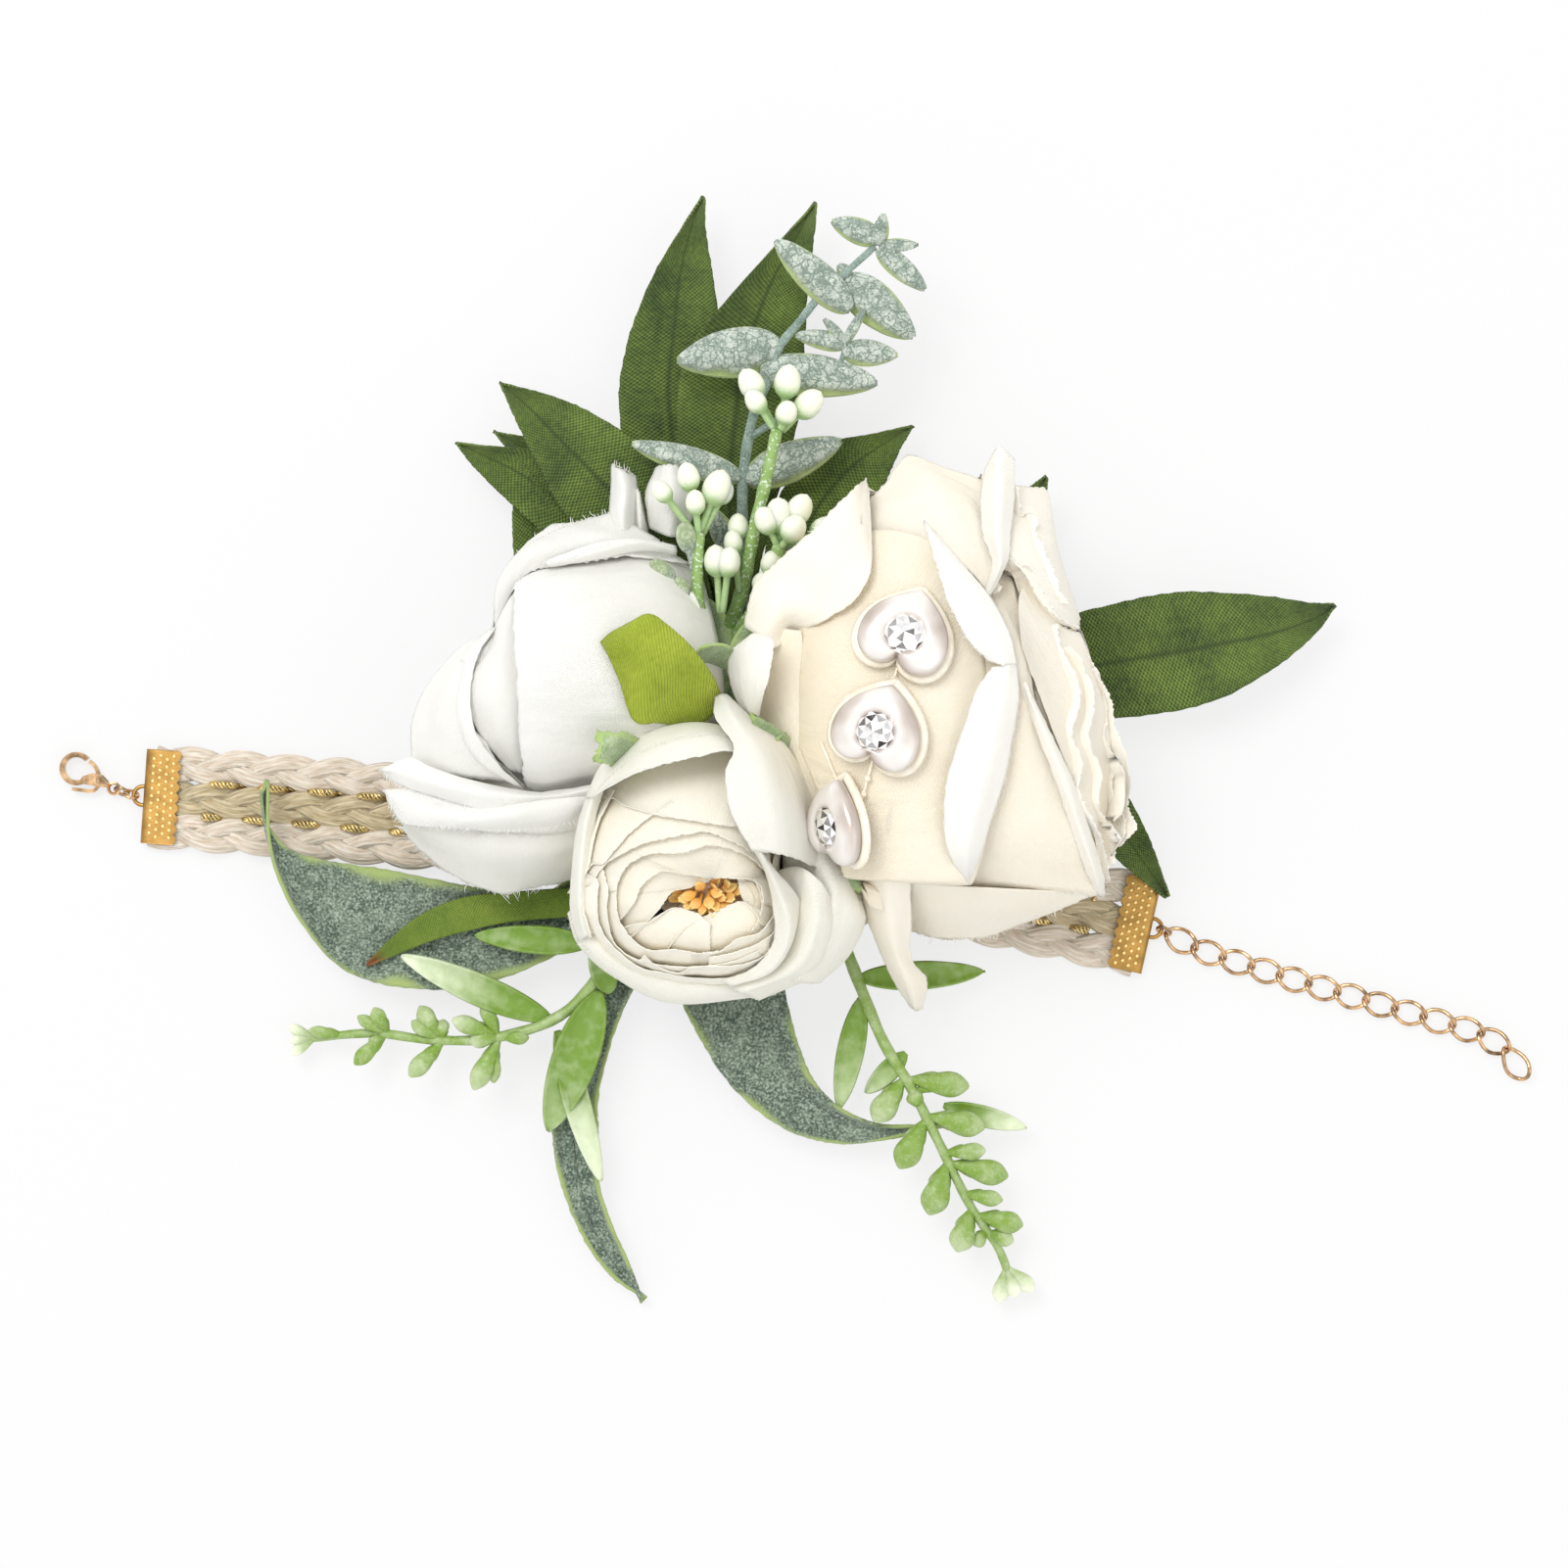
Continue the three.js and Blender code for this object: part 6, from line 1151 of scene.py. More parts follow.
def peony():
    """The right bloom: its broad front petal, the photographed ones round it and plainer ones behind."""
    guard, inner, heart = Bag(), Bag(), Bag()
    cover = Cover(PEONY_OUTLINE, (950, 700))
    front = petal(PEONY, seed=200, depth=0.0, nu=70, nv=120, fray_size=0.0, **PEONY_FRONT)
    x, y = to_px(front)
    # the rim ends in a seam at the lower side
    seam = SEAM_MIDDLE[1] + SEAM_SLOPE * (x - SEAM_MIDDLE[0])
    low = y > seam
    shrink = (1 - front[..., 2] / CAMERA[2]) / PIXELS_PER_MM
    beyond = y - seam
    front[..., 1] = np.where(low, CAMERA[1] + (FRAME_MIDDLE - seam - SEAM_SQUEEZE * beyond) * shrink,
                             front[..., 1])
    front[..., 2] = np.where(low, front[..., 2] - SEAM_SINK * beyond, front[..., 2])
    front = cover.add(wrinkle(front, 0.2, 16, 200))
    # the front petal's high tone is partly its own deeper cream and partly painted shade, most at the foot
    guard.sheet(front, THIN, foot_shade_tone(front, 0.8, 0.62))
    surface = Cover(PEONY_OUTLINE, (950, 700))
    surface.add(front)

    def over(px, py, lift):
        """A place that far over the front petal."""
        z = surface.low[cells(px, py)]
        return px, py, (z if np.isfinite(z) else 36.0) + lift

    # the front petal's two curled white lips; their tone of -0.4 is a painted highlight that makes them the
    # palest silk
    for k, rows in enumerate([
        [[(944, 531, 41), (944, 531, 41.5), (943, 532, 41)],
         [(978, 571, 43.5), (969, 572, 46), (957, 576, 46.5)],
         [(1011, 611, 45), (992, 611, 48.5), (968, 612, 48.5)],
         [(1030, 648, 46.5), (1012, 650, 50), (987, 650, 49)],
         [(1037, 678, 46.5), (1024, 678, 50), (1008, 674, 49)]],
        [[(1037, 678, 46.5), (1030, 679, 49.5), (1014, 681, 49.5)],
         [(1040, 711, 47), (1022, 709, 51), (997, 707, 49.5)],
         [(1034, 752, 46.5), (1012, 750, 51), (983, 747, 49)],
         [(1026, 792, 46), (1002, 791, 50.5), (969, 790, 48.5)],
         [(1012, 836, 44.5), (992, 834, 49), (964, 832, 47)],
         [(1001, 872, 43), (987, 871, 46.5), (969, 870, 45)],
         [(989, 900, 40), (988, 900, 41), (987, 900, 40)]],
    ]):
        grid = cloth_patch(rows, 50, 26, 210 + k, 0.2, 6, 0.4)
        guard.sheet(grid, THIN, -0.4)
    # the tones of the petals from here on are painted shade, set for each petal or from foot to rim
    sides = [
        ([[over(760, 640, -3), over(775, 650, 1.4), over(790, 662, 1.8)],
          [over(770, 600, -2), over(796, 622, 2.2), over(810, 648, 2.2)],
          [(790, 578, 36), over(820, 600, 2.8), over(838, 634, 2.6)],
          [(825, 547, 37), over(846, 575, 3.2), over(870, 614, 3.0)],
          [(853, 518, 38), over(872, 548, 3.2), over(888, 585, 3.2)],
          [(872, 500, 38.5), over(880, 520, 2.4), over(890, 550, 3.0)],
          [(882, 491, 34), (883.5, 490, 36), (887, 500, 37)]], 0.35),
        ([[(764, 650, 36), (770, 647, 39), (786, 650, 43.5)],
          [(745, 668, 33), (766, 662, 40), (789, 658, 44.5)],
          [(745, 695, 33), (764, 692, 40), (784, 690, 44)], [(756, 722, 33), (767, 720, 38), (778, 712, 42)],
          [(769, 733, 34), (771, 735, 36), (774, 734, 37)]], 0.1),
        ([[(905, 801, 44.5), (912, 801, 45.5), (920, 808, 45)],
          [(880, 850, 38), (904, 850, 43.5), (923, 852, 42.5)],
          [(877, 888, 33), (903, 890, 40), (928, 892, 39)], [(884, 931, 27), (906, 935, 34), (929, 938, 32)],
          [(899, 972, 22), (914, 975, 27), (930, 978, 25)],
          [(913, 1003, 18), (928, 1005, 22), (945, 1000, 19)],
          [(929, 1028, 15), (935, 1031, 16), (941, 1028, 15)]], 0.4),
    ]
    for k, (rows, tone) in enumerate(sides):
        guard.sheet(cloth_patch(rows, 50, 34, 220 + k, 0.3, 8, 0.5), THIN, tone)
    bodies = [
        ([[(960, 560, 34), (990, 570, 37), (1032, 590, 38)],
          [(1000, 620, 42), (1030, 640, 43.5), (1048, 662, 43)],
          [(1003, 700, 44.5), (1040, 715, 45), (1060, 738, 44)],
          [(995, 780, 44), (1045, 790, 43.5), (1083, 803, 42)],
          [(978, 850, 41), (1045, 857, 40), (1102, 862, 37.5)],
          [(968, 903, 35), (1045, 906, 33), (1124, 914, 28)]], 0.55),
        ([[(1044, 702, 45), (1047, 703, 46), (1051, 706, 45.5)],
          [(1060, 748, 45), (1067, 748, 46), (1073, 750, 44.5)],
          [(1080, 800, 43.5), (1088, 800, 44.5), (1096, 800, 42)],
          [(1096, 850, 39), (1104, 849, 40.5), (1112, 848, 38)],
          [(1110, 890, 34), (1118, 891, 35.5), (1126, 892, 33)],
          [(1121, 913, 28.5), (1124, 914, 29), (1128, 914, 28)]], 0.25),
        ([[(884, 520, 33), (890, 545, 37), (912, 566, 38.5)],
          [(893, 506, 33), (908, 528, 37.5), (932, 562, 39.5)],
          [(906, 492, 30), (930, 515, 36.5), (955, 568, 40.5)],
          [(927, 466, 25), (955, 500, 35), (985, 577, 42)],
          [(965, 479, 25), (985, 512, 35), (1010, 603, 43)],
          [(1001, 490, 27), (1006, 530, 36), (1020, 603, 43)]], 0.45),
        ([[(1007, 476, 32), (1020, 456, 35), (1035, 468, 32)],
          [(1002, 510, 36), (1020, 510, 41), (1035, 510, 36)],
          [(1004, 545, 39.5), (1018, 545, 43.5), (1031, 545, 40)],
          [(1013, 576, 42.5), (1021, 576, 44.5), (1028, 573, 42.5)],
          [(1004, 606, 44), (1008, 607, 45), (1012, 606, 44.5)]], 0.15),
        ([[(1034, 496, 28), (1030, 530, 36), (1024, 563, 41)],
          [(1056, 499, 26), (1052, 545, 36), (1047, 586, 41.5)],
          [(1070, 505, 23), (1071, 560, 34), (1063, 613, 41.5)],
          [(1080, 560, 23), (1086, 597, 33), (1081, 630, 40)],
          [(1102, 627, 24), (1102, 634, 31), (1099, 642, 36)]], 0.35),
        ([[(1048, 590, 39), (1040, 615, 42.5), (1043, 660, 44)],
          [(1066, 618, 39), (1060, 650, 42.5), (1066, 720, 44)],
          [(1084, 640, 38), (1086, 690, 41), (1092, 790, 41)],
          [(1104, 650, 34), (1112, 720, 37), (1116, 850, 36)],
          [(1122, 700, 29), (1134, 770, 32), (1126, 908, 28)]], 0.45),
        ([[(922, 901, 36), (964, 904, 37.5), (1040, 908, 34), (1118, 912, 28)],
          [(922, 926, 29), (965, 930, 31), (1035, 930, 29), (1088, 925, 25)],
          [(926, 948, 21), (955, 957, 22), (1005, 957, 21), (1050, 940, 20)]], 0.45),
        ([[(770, 636, 30), (790, 640, 35), (816, 644, 37)],
          [(770, 700, 31), (794, 704, 35.5), (824, 708, 37.5)],
          [(788, 765, 31), (818, 770, 36), (854, 775, 38.5)],
          [(826, 835, 31), (856, 840, 36), (888, 845, 38.5)],
          [(866, 890, 28), (890, 894, 32), (915, 896, 34)]], 0.6),
    ]
    for k, (rows, tone) in enumerate(bodies):
        draw(inner if k < 6 else guard, cover, rows, tone, 240 + k, 44, 44, 0.4, 8, 0.7)
    loose_edge(guard, [(926, 948, 21), (955, 957, 22), (1005, 957, 21), (1050, 940, 20), (1086, 926, 24)],
               (0.1, 1), 1.3, 95)
    loose_edge(guard, [(957, 576, 46.5), (968, 612, 48.5), (987, 650, 49), (1008, 674, 49)],
               (-1, 0.3), 0.8, 96)
    loose_edge(guard, [(1040, 711, 47), (1034, 752, 46.5), (1026, 792, 46), (1012, 836, 44.5),
                       (1001, 872, 43)], (1, 0.2), 0.7, 97)
    loose_edge(guard, [(853, 518, 38), (825, 547, 37), (790, 578, 36)], (-1, -0.6), 0.7, 98)
    ruffles = [
        [(760, 290), (790, 330), (830, 352), (852, 405), (880, 450), (925, 492), (960, 508)],
        [(790, 130), (800, 200), (835, 200), (848, 262), (880, 330), (905, 400), (925, 440)],
        [(812, 660), (850, 760), (882, 832), (922, 950), (962, 1030), (988, 1095), (1016, 1180)],
        [(905, 500), (925, 600), (965, 690), (940, 780), (965, 870), (960, 950), (1000, 1040), (1035, 1130),
         (1040, 1190)],
        [(935, 560), (985, 640), (1000, 730), (985, 810), (1020, 900), (1010, 980), (1050, 1060),
         (1055, 1150)],
        [(975, 560), (1020, 660), (1035, 740), (1030, 810), (1062, 880), (1050, 950), (1085, 1040),
         (1062, 1100)],
        [(1000, 620), (1045, 700), (1056, 770), (1080, 840), (1102, 920), (1088, 985), (1110, 1055),
         (1070, 1100)],
    ]
    for k, rim in enumerate(ruffles):
        line = np.array([seen(x, y, (740, 450), 2.66) for x, y in rim])
        line = spline(np.concatenate([line, np.zeros((len(line), 1))], 1), 110)[:, :2]
        run = np.linspace(0, 1, 110)
        wave = noise_grid(run[:, None] * 9 + k, run[:, None] * 0, 7)[:, 0]
        v = np.linspace(0, 1, 26)[:, None]
        wide = 20 + 8 * math.sin(2.1 * k)
        px = line[None] + np.stack([-(1 - v) * wide + 6 * v ** 2 * wave[None],
                                    (1 - v) * 3 + 0 * wave[None]], -1)
        cell = cells(px[..., 0], px[..., 1])
        under = np.where(np.isfinite(cover.low[cell]), cover.low[cell], 30.0)
        under = np.minimum(np.median(under, axis=0, keepdims=True) + 1.0, under + 2.0)
        ease = np.convolve(np.pad(under.mean(axis=0), 9, mode="edge"), np.ones(19) / 19, mode="valid")[None]
        z = np.minimum(ease, 46) - 1.4 + 2.2 * v ** 1.5 + (0.9 * wave[None] - 0.5) * v ** 2
        grid = at_px(px[..., 0], px[..., 1], z)
        # the ruffle's tone is painted shade, deepest on its low inner side under the lip
        inner.sheet(fray(grid, 0.5, 250 + k), THIN, 0.2 + 0.4 * (1 - v) * np.ones((1, 110)))
    far = [
        (22, 40, 0.68, 0.14, 1.38, 0.98, 0.22, 0),
        (168, 42, 0.7, 0.14, 1.36, 0.94, 0.22, 0),
        (236, 46, 0.75, 0.14, 1.3, 0.95, 0.25, 0),
        (308, 46, 0.75, 0.14, 1.3, 0.95, 0.25, 0.2),
    ]
    for k, row in enumerate(far):
        grid = cover.tuck(petal(PEONY, *row, seed=260 + k, depth=0.6, roll=0.6, nv=70), 1.0)
        guard.sheet(grid, THIN, foot_shade_tone(grid, 0.8, 0.4))
    wraps = [(40, 0.92, 1.1, 0.84), (150, 0.93, 1.12, 0.78), (240, 0.94, 1.05, 0.78), (330, 0.98, 1.08, 0.8),
             (195, 0.9, 1.0, 0.74), (285, 0.92, 1.0, 0.76), (95, 0.86, 1.02, 0.8), (10, 0.9, 1.02, 0.8)]
    for k, (at, reach, belly, rim) in enumerate(wraps):
        grid = petal(PEONY, at, 52, reach, 0.12, belly, rim, 0.26, 0.8 + 0.2 * k, ruffle=0.02, seed=270 + k,
                     roll=0.5, depth=0.8, pitch=8, fray_size=0.7)
        inner.sheet(cover.tuck(grid, 1.8), THIN, foot_shade_tone(grid, 0.9, 0.4))
    for k in range(16):
        share = k / 15
        grid = petal(PEONY, 20 + GOLDEN_ANGLE * k, 46 - 10 * share, 1.04 - 0.06 * share, 0.1,
                     0.98 - 0.6 * share, 0.86 - 0.66 * share, 0.3, 1.6 + 0.1 * k, ruffle=0.06, lap=0.1,
                     seed=290 + k, roll=0.4, roll_turn=120, depth=1.3, pitch=5, nu=26, nv=44, fray_size=0.7)
        heart.sheet(cover.tuck(grid, 2.4), THIN, foot_shade_tone(grid, 1.0, 0.15))
    guard.object("peony_guard_silk", PEONY_SILK, "peony_guard_petals", "cream_silk")
    inner.object("peony_inner_silk", PEONY_SILK, "peony_inner_petals", "cream_silk")
    heart.object("peony_heart_silk", PEONY_SILK, "peony_heart", "cream_silk")


rose()
ranunculus()
peony()


# Foliage

def blade(rows, lift, nu, nv, seed, depth, pitch):
    """A leaf from base to tip through (left, middle, right, height) rows; lift is the middle's own."""
    places = [[(*left, z), (*middle, z + lift), (*right, z)] for left, middle, right, z in rows]
    return wrinkle(patch(places, nu, nv), depth, pitch, seed, 2.0)


def rib_tone(grid, width=0.035):
    """1 on the midrib, fading over its width."""
    v = np.linspace(-1, 1, grid.shape[1])[None]
    return np.exp(-(v / width) ** 2) * np.ones((grid.shape[0], 1)) * 0.3


def margin_tone(grid, seed, start=0.78):
    """1 on an uneven band along both edges and the tip."""
    uv = lengths(grid)
    v = np.abs(np.linspace(-1, 1, grid.shape[1])[None])
    u = np.linspace(0, 1, grid.shape[0])[:, None]
    uneven = 0.22 * noise_grid(uv[..., 0] / 9, uv[..., 1] / 6, seed)
    outward = np.maximum(v * np.ones_like(u), ramp(u, 0.8, 1.0)) + uneven
    return np.clip(ramp(outward, start, start + 0.16), 0, 1)


DARK_LEFT = [
    [((725, 640), (733, 640), (741, 640), 6.5), ((655, 520), (700, 515), (742, 520), 8),
     ((633, 420), (683, 415), (735, 410), 9),
     ((641, 350), (687, 345), (736, 345), 10.5), ((667, 282), (695, 278), (727, 280), 10.5),
     ((695, 235), (706, 232), (719, 232), 9.5), ((715.5, 204), (717, 201), (718.5, 204), 8)],
    [((745, 640), (752, 640), (760, 640), 7), ((700, 520), (745, 515), (790, 520), 9.5),
     ((692, 440), (750, 435), (815, 425), 11),
     ((700, 365), (762, 358), (821, 350), 12), ((745, 303), (787, 290), (824, 295), 12.5),
     ((798, 245), (813, 243), (830, 245), 11.5), ((830.5, 210), (832, 207), (833.5, 210), 10)],
    [((720, 650), (728, 645), (735, 640), 7), ((655, 590), (680, 560), (705, 530), 10),
     ((584, 532), (622, 500), (660, 463), 11), ((552, 478), (578, 455), (606, 423), 10.8),
     ((527, 428), (543, 419), (560, 404), 9.5), ((511, 393), (511, 391), (513.5, 392), 8)],
    [((700, 660), (708, 652), (716, 645), 7), ((612, 595), (635, 570), (650, 545), 8.5),
     ((556, 545), (574, 515), (594, 480), 8.3), ((508, 500), (530, 483), (555, 461), 8),
     ((482, 474), (491, 464), (502, 456), 7.5), ((467, 454), (466, 453), (468, 452), 7)],
    [((700, 650), (706, 645), (712, 640), 6.4), ((590, 545), (605, 525), (620, 505), 7.4),
     ((532, 475), (547, 467), (560, 455), 7.4), ((505.5, 444), (505, 441), (508, 441), 6.4)],
    [((600, 690), (612, 680), (624, 670), 6.6), ((530, 610), (550, 600), (572, 590), 6.8),
     ((525, 560), (546, 555), (570, 550), 7.0),
     ((524, 520), (540, 515), (560, 520), 6.8), ((526, 500), (535, 498), (545, 500), 6.4)],
]
DARK_RIGHT = [
    [((900, 700), (905, 720), (910, 740), 6.5), ((1040, 645), (1050, 692), (1060, 735), 8),
     ((1130, 619), (1145, 675), (1160, 731), 9.5),
     ((1205, 605), (1222, 662), (1240, 715), 11.3), ((1292, 609), (1297, 647), (1302, 681), 11),
     ((1337, 616), (1338, 633), (1341, 648), 9), ((1361, 617.5), (1363, 619), (1361, 620.5), 7.8)],
    [((910, 690), (920, 695), (930, 700), 6.5), ((960, 600), (985, 615), (1010, 630), 8),
     ((1010, 530), (1035, 548), (1060, 565), 9.5), ((1067, 487), (1068, 488), (1069, 490), 9.7)],
    [((1000, 740), (1000, 760), (1000, 780), 6.5), ((1080, 745), (1075, 775), (1070, 805), 7),
     ((1135, 790), (1120, 815), (1105, 840), 7.7),
     ((1170, 850), (1157, 865), (1143, 878), 6.5), ((1193, 913), (1192, 915), (1190, 915), 4)],
    [((795, 660), (802, 665), (810, 670), 8), ((780, 590), (805, 600), (830, 610), 8.5),
     ((795, 510), (830, 527), (865, 548), 10), ((838, 457), (866, 480), (898, 503), 10.5),
     ((893, 443), (903, 453), (916, 464), 9.5), ((930, 435), (932, 436), (931, 438), 8.5)],
    [((860, 560), (872, 566), (884, 572), 7.5), ((872, 520), (884, 526), (896, 530), 8),
     ((904, 494), (905, 493), (906, 495), 7.5)],
]
SAGES = [
    [((640, 850), (650, 875), (660, 900), 6.6), ((560, 912), (578, 935), (596, 955), 6.8),
     ((515, 911), (528, 950), (545, 985), 7.4), ((462, 902), (468, 957), (475, 1007), 7.8),
     ((398, 889), (398, 950), (403, 1006), 7.3), ((335, 880), (340, 935), (348, 986), 6.8),
     ((296, 868), (300, 905), (308, 940), 7.2), ((272, 840), (277, 865), (284, 896), 8),
     ((266, 815), (269, 832), (275, 856), 8.5), ((271, 799), (272, 797), (274, 800), 8.8)],
    [((685, 960), (740, 960), (800, 960), 6.6), ((690, 1005), (748, 1010), (802, 1015), 6.8),
     ((715, 1058), (765, 1055), (812, 1058), 6.8), ((750, 1110), (793, 1095), (828, 1100), 6.6),
     ((800, 1150), (828, 1135), (855, 1130), 6.1), ((855, 1167), (872, 1155), (893, 1147), 6.2),
     ((910, 1163), (920, 1156), (930, 1149), 7), ((959, 1150), (961, 1149), (960, 1148), 7.8)],
    [((690, 900), (700, 905), (710, 910), 6.6), ((600, 1010), (617, 1015), (640, 1020), 6.3),
     ((566, 1100), (588, 1105), (612, 1110), 5.8), ((566, 1160), (588, 1160), (610, 1160), 5.2),
     ((575, 1210), (594, 1208), (610, 1205), 4.8), ((596, 1262), (610, 1258), (624, 1250), 4),
     ((622, 1300), (632, 1295), (640, 1285), 3), ((655, 1325), (657, 1327), (657, 1325), 2.8)],
]
SATIN_ROWS = [((700, 742), (722, 735), (738, 715), 34), ((672, 738), (695, 712), (728, 690), 38.5),
              ((647, 736), (676, 690), (706, 660), 42), ((632, 695), (650, 665), (682, 638), 44),
              ((620, 668), (636, 650), (664, 627), 44.5), ((613, 656), (624, 646), (645, 636), 43.5)]
OLIVE_ROWS = [((600, 905), (600, 920), (600, 935), 9.2), ((520, 911), (522, 925), (526, 941), 10.3),
              ((470, 917), (475, 933), (480, 950), 9.8), ((428, 935), (435, 947), (443, 960), 9),
              ((398, 959), (403, 966), (410, 973), 8.4), ((374, 984), (375, 986), (377, 985), 7.9)]


def foliage():
    """The single leaves: dark sprays, sage, satin and olive."""
    for name, rows in (("left", DARK_LEFT), ("right", DARK_RIGHT)):
        bag = Bag()
        for k, leaf_rows in enumerate(rows):
            grid = blade(leaf_rows, -0.9, 60, 25, 300 + k, 0.5, 14)
            bag.sheet(fray(grid, 0.3, k), 0.4, rib_tone(grid, 0.03) * 2.5)
        bag.object(f"dark_leaves_{name}", DARK_LEAF, f"leaf_spray_{name}", "dark_leaf")
    for k, rows in enumerate(SAGES):
        grid = blade(rows, -0.8, 90, 25, 320 + k, 0.9, 12)
        v = np.linspace(-1, 1, 25)[None]
        curl = 0.6 + 0.8 * noise_grid(lengths(grid)[..., 1] / 14, v * np.ones((90, 1)), k)
        grid[..., 2] += 1.4 * ramp(np.abs(v), 0.72, 1.0) * curl
        grid[..., 2] -= 0.8 * np.exp(-((v - (0.2, 0.45, -0.1)[k]) / 0.07) ** 2)
        grid = fray(grid, 0.35, k)
        bag = Bag()
        bag.sheet(grid, 0.55, margin_tone(grid, k, 0.86))
        bag.object(f"sage_{k + 1}", SAGE, f"sage_leaf_{k + 1}", "sage_leaf")
    grid = blade(SATIN_ROWS, 0.3, 40, 25, 340, 0.3, 8)
    bag = Bag()
    bag.sheet(grid, 0.35, rib_tone(grid) * 0.3)
    bag.object("satin_leaf_cloth", SATIN, "satin_leaf", "satin_green")
    grid = blade(OLIVE_ROWS, -0.5, 60, 17, 341, 0.4, 9)
    bag = Bag()
    bag.sheet(grid, 0.4, ramp(np.linspace(0, 1, 60)[:, None], 0.86, 0.97) * np.ones((1, 17)))
    bag.object("olive_leaf_cloth", OLIVE, "olive_leaf", "olive_leaf")


def oval_leaf(start, end, width, seed, arch=0.12, droop=0.5, nu=34, nv=21, blunt=0.75, seat=0.12):
    """A small fleshy leaf: a smooth oval that arches and turns its edges down."""
    start, end = np.array(start), np.array(end)
    reach = np.linalg.norm(end - start)
    along = unit(end - start)
    side = unit(np.cross(along, UP))
    up = np.cross(side, along)
    u = np.linspace(0, 1, nu)[:, None]
    v = np.linspace(-1, 1, nv)[None]
    half = width / 2 * np.maximum(np.sin(math.pi * u ** blunt) ** 0.62, seat * (1 - 0.8 * u))
    crown = arch * reach * 4 * u * (1 - u)
    drop = droop * half * v ** 2
    grid = (start + along * (u * reach)[..., None] + side * (half * v)[..., None]
            + up * (crown - drop)[..., None])
    return wrinkle(grid, 0.28, 4.0, seed, 1.3)


def bulb(bag, root, tip, radius, stalk=0.5, share=0.55, tones=(0.1, 1.0), sides=14, sharp=0.0):
    """A stalk that swells into a berry or bud at its end."""
    s = np.concatenate([np.linspace(0, 1 - share, 5), np.linspace(1 - share, 1, 14)[1:]])
    root, tip = np.array(root), np.array(tip)
    path = root + (tip - root) * s[:, None]
    t = np.clip((s - (1 - share)) / share, 0, 1)
    swell = np.sqrt(np.clip(1 - (2 * t - 1) ** 2, 0, 1)) * (1 - sharp * t)
    widths = np.maximum(radius * swell, np.where(t < 0.5, stalk, 0.06 * radius))
    tone = tones[0] + (tones[1] - tones[0]) * ramp(t, 0.05, 0.55)
    bag.tube(path, widths, sides, tone=tone)


def twig(bag, places, thick, thin, tone=0.2, sides=10, count=40):
    """A knotty stem that thins towards its end."""
    line = even(places, count)
    bag.tube(line, np.linspace(thick, thin, count) * (1 + 0.06 * np.sin(np.arange(count) * 1.7)),
             sides, tone=tone)


def eucalyptus():
    """The tall sprig of round, crackled leaves; its rows give a leaf's foot, tip and width in pixels."""
    stems, leaves = Bag(), Bag()
    twig(stems, px_line([(757, 620, 12), (758, 560, 14), (759, 486, 16.5), (769, 425, 18.5),
                         (785, 388, 19.3), (794, 357, 20), (815, 330, 20.2), (840, 299, 20.5),
                         (864, 278, 20.8), (893, 252, 20.8)]), 1.05, 0.55, 0.15)
    twig(stems, px_line([(766, 446, 18), (800, 425, 18), (824, 413, 18), (852, 385, 18.5),
                         (864, 352, 19.5)]), 0.6, 0.4, 0.15)
    rows = [
        ((797, 354, 20), (692, 368, 19), 47), ((777, 378, 20), (895, 391, 18), 40),
        ((757, 488, 17), (646, 453, 17), 27), ((762, 490, 17), (859, 450, 17), 38),
        ((868, 316, 21), (792, 246, 22), 33), ((862, 284, 20), (932, 344, 19), 40),
        ((898, 244, 21.5), (850, 226, 21), 24), ((897, 250, 21), (902, 219, 23), 14),
        ((899, 251, 21), (937, 250, 21), 11), ((897, 254, 21), (944, 295, 20), 20),
        ((864, 352, 19.6), (813, 342, 20), 17), ((861, 359, 19.4), (916, 362, 19), 24),
        ((862, 350, 19.6), (842, 326, 21), 9), ((863, 350, 19.6), (882, 317, 21), 8),
        ((866, 282, 20.4), (857, 271, 20), 12), ((745, 560, 16), (727, 520, 19), 22),
    ]
    for k, (start, end, width) in enumerate(rows):
        grid = oval_leaf(at_px(*start), at_px(*end), width / PIXELS_PER_MM, 350 + k, 0.1, 0.45)
        v = np.linspace(-1, 1, grid.shape[1])[None] * (1 if k % 2 else -1)
        turned = ramp(v + 0.25 * noise_grid(grid[..., 0] / 4, grid[..., 1] / 4, k), 0.55, 0.8)
        grid[..., 2] -= 0.16 * width / PIXELS_PER_MM * turned
        leaves.sheet(grid, 0.7, np.maximum(margin_tone(grid, 350 + k, 0.92) * 0.8, 0.85 * turned))
    stems.object("eucalyptus_stem", EUCALYPTUS_STEM, "eucalyptus_sprig", "eucalyptus")
    leaves.object("eucalyptus_leaves", EUCALYPTUS, "eucalyptus_sprig", "eucalyptus")


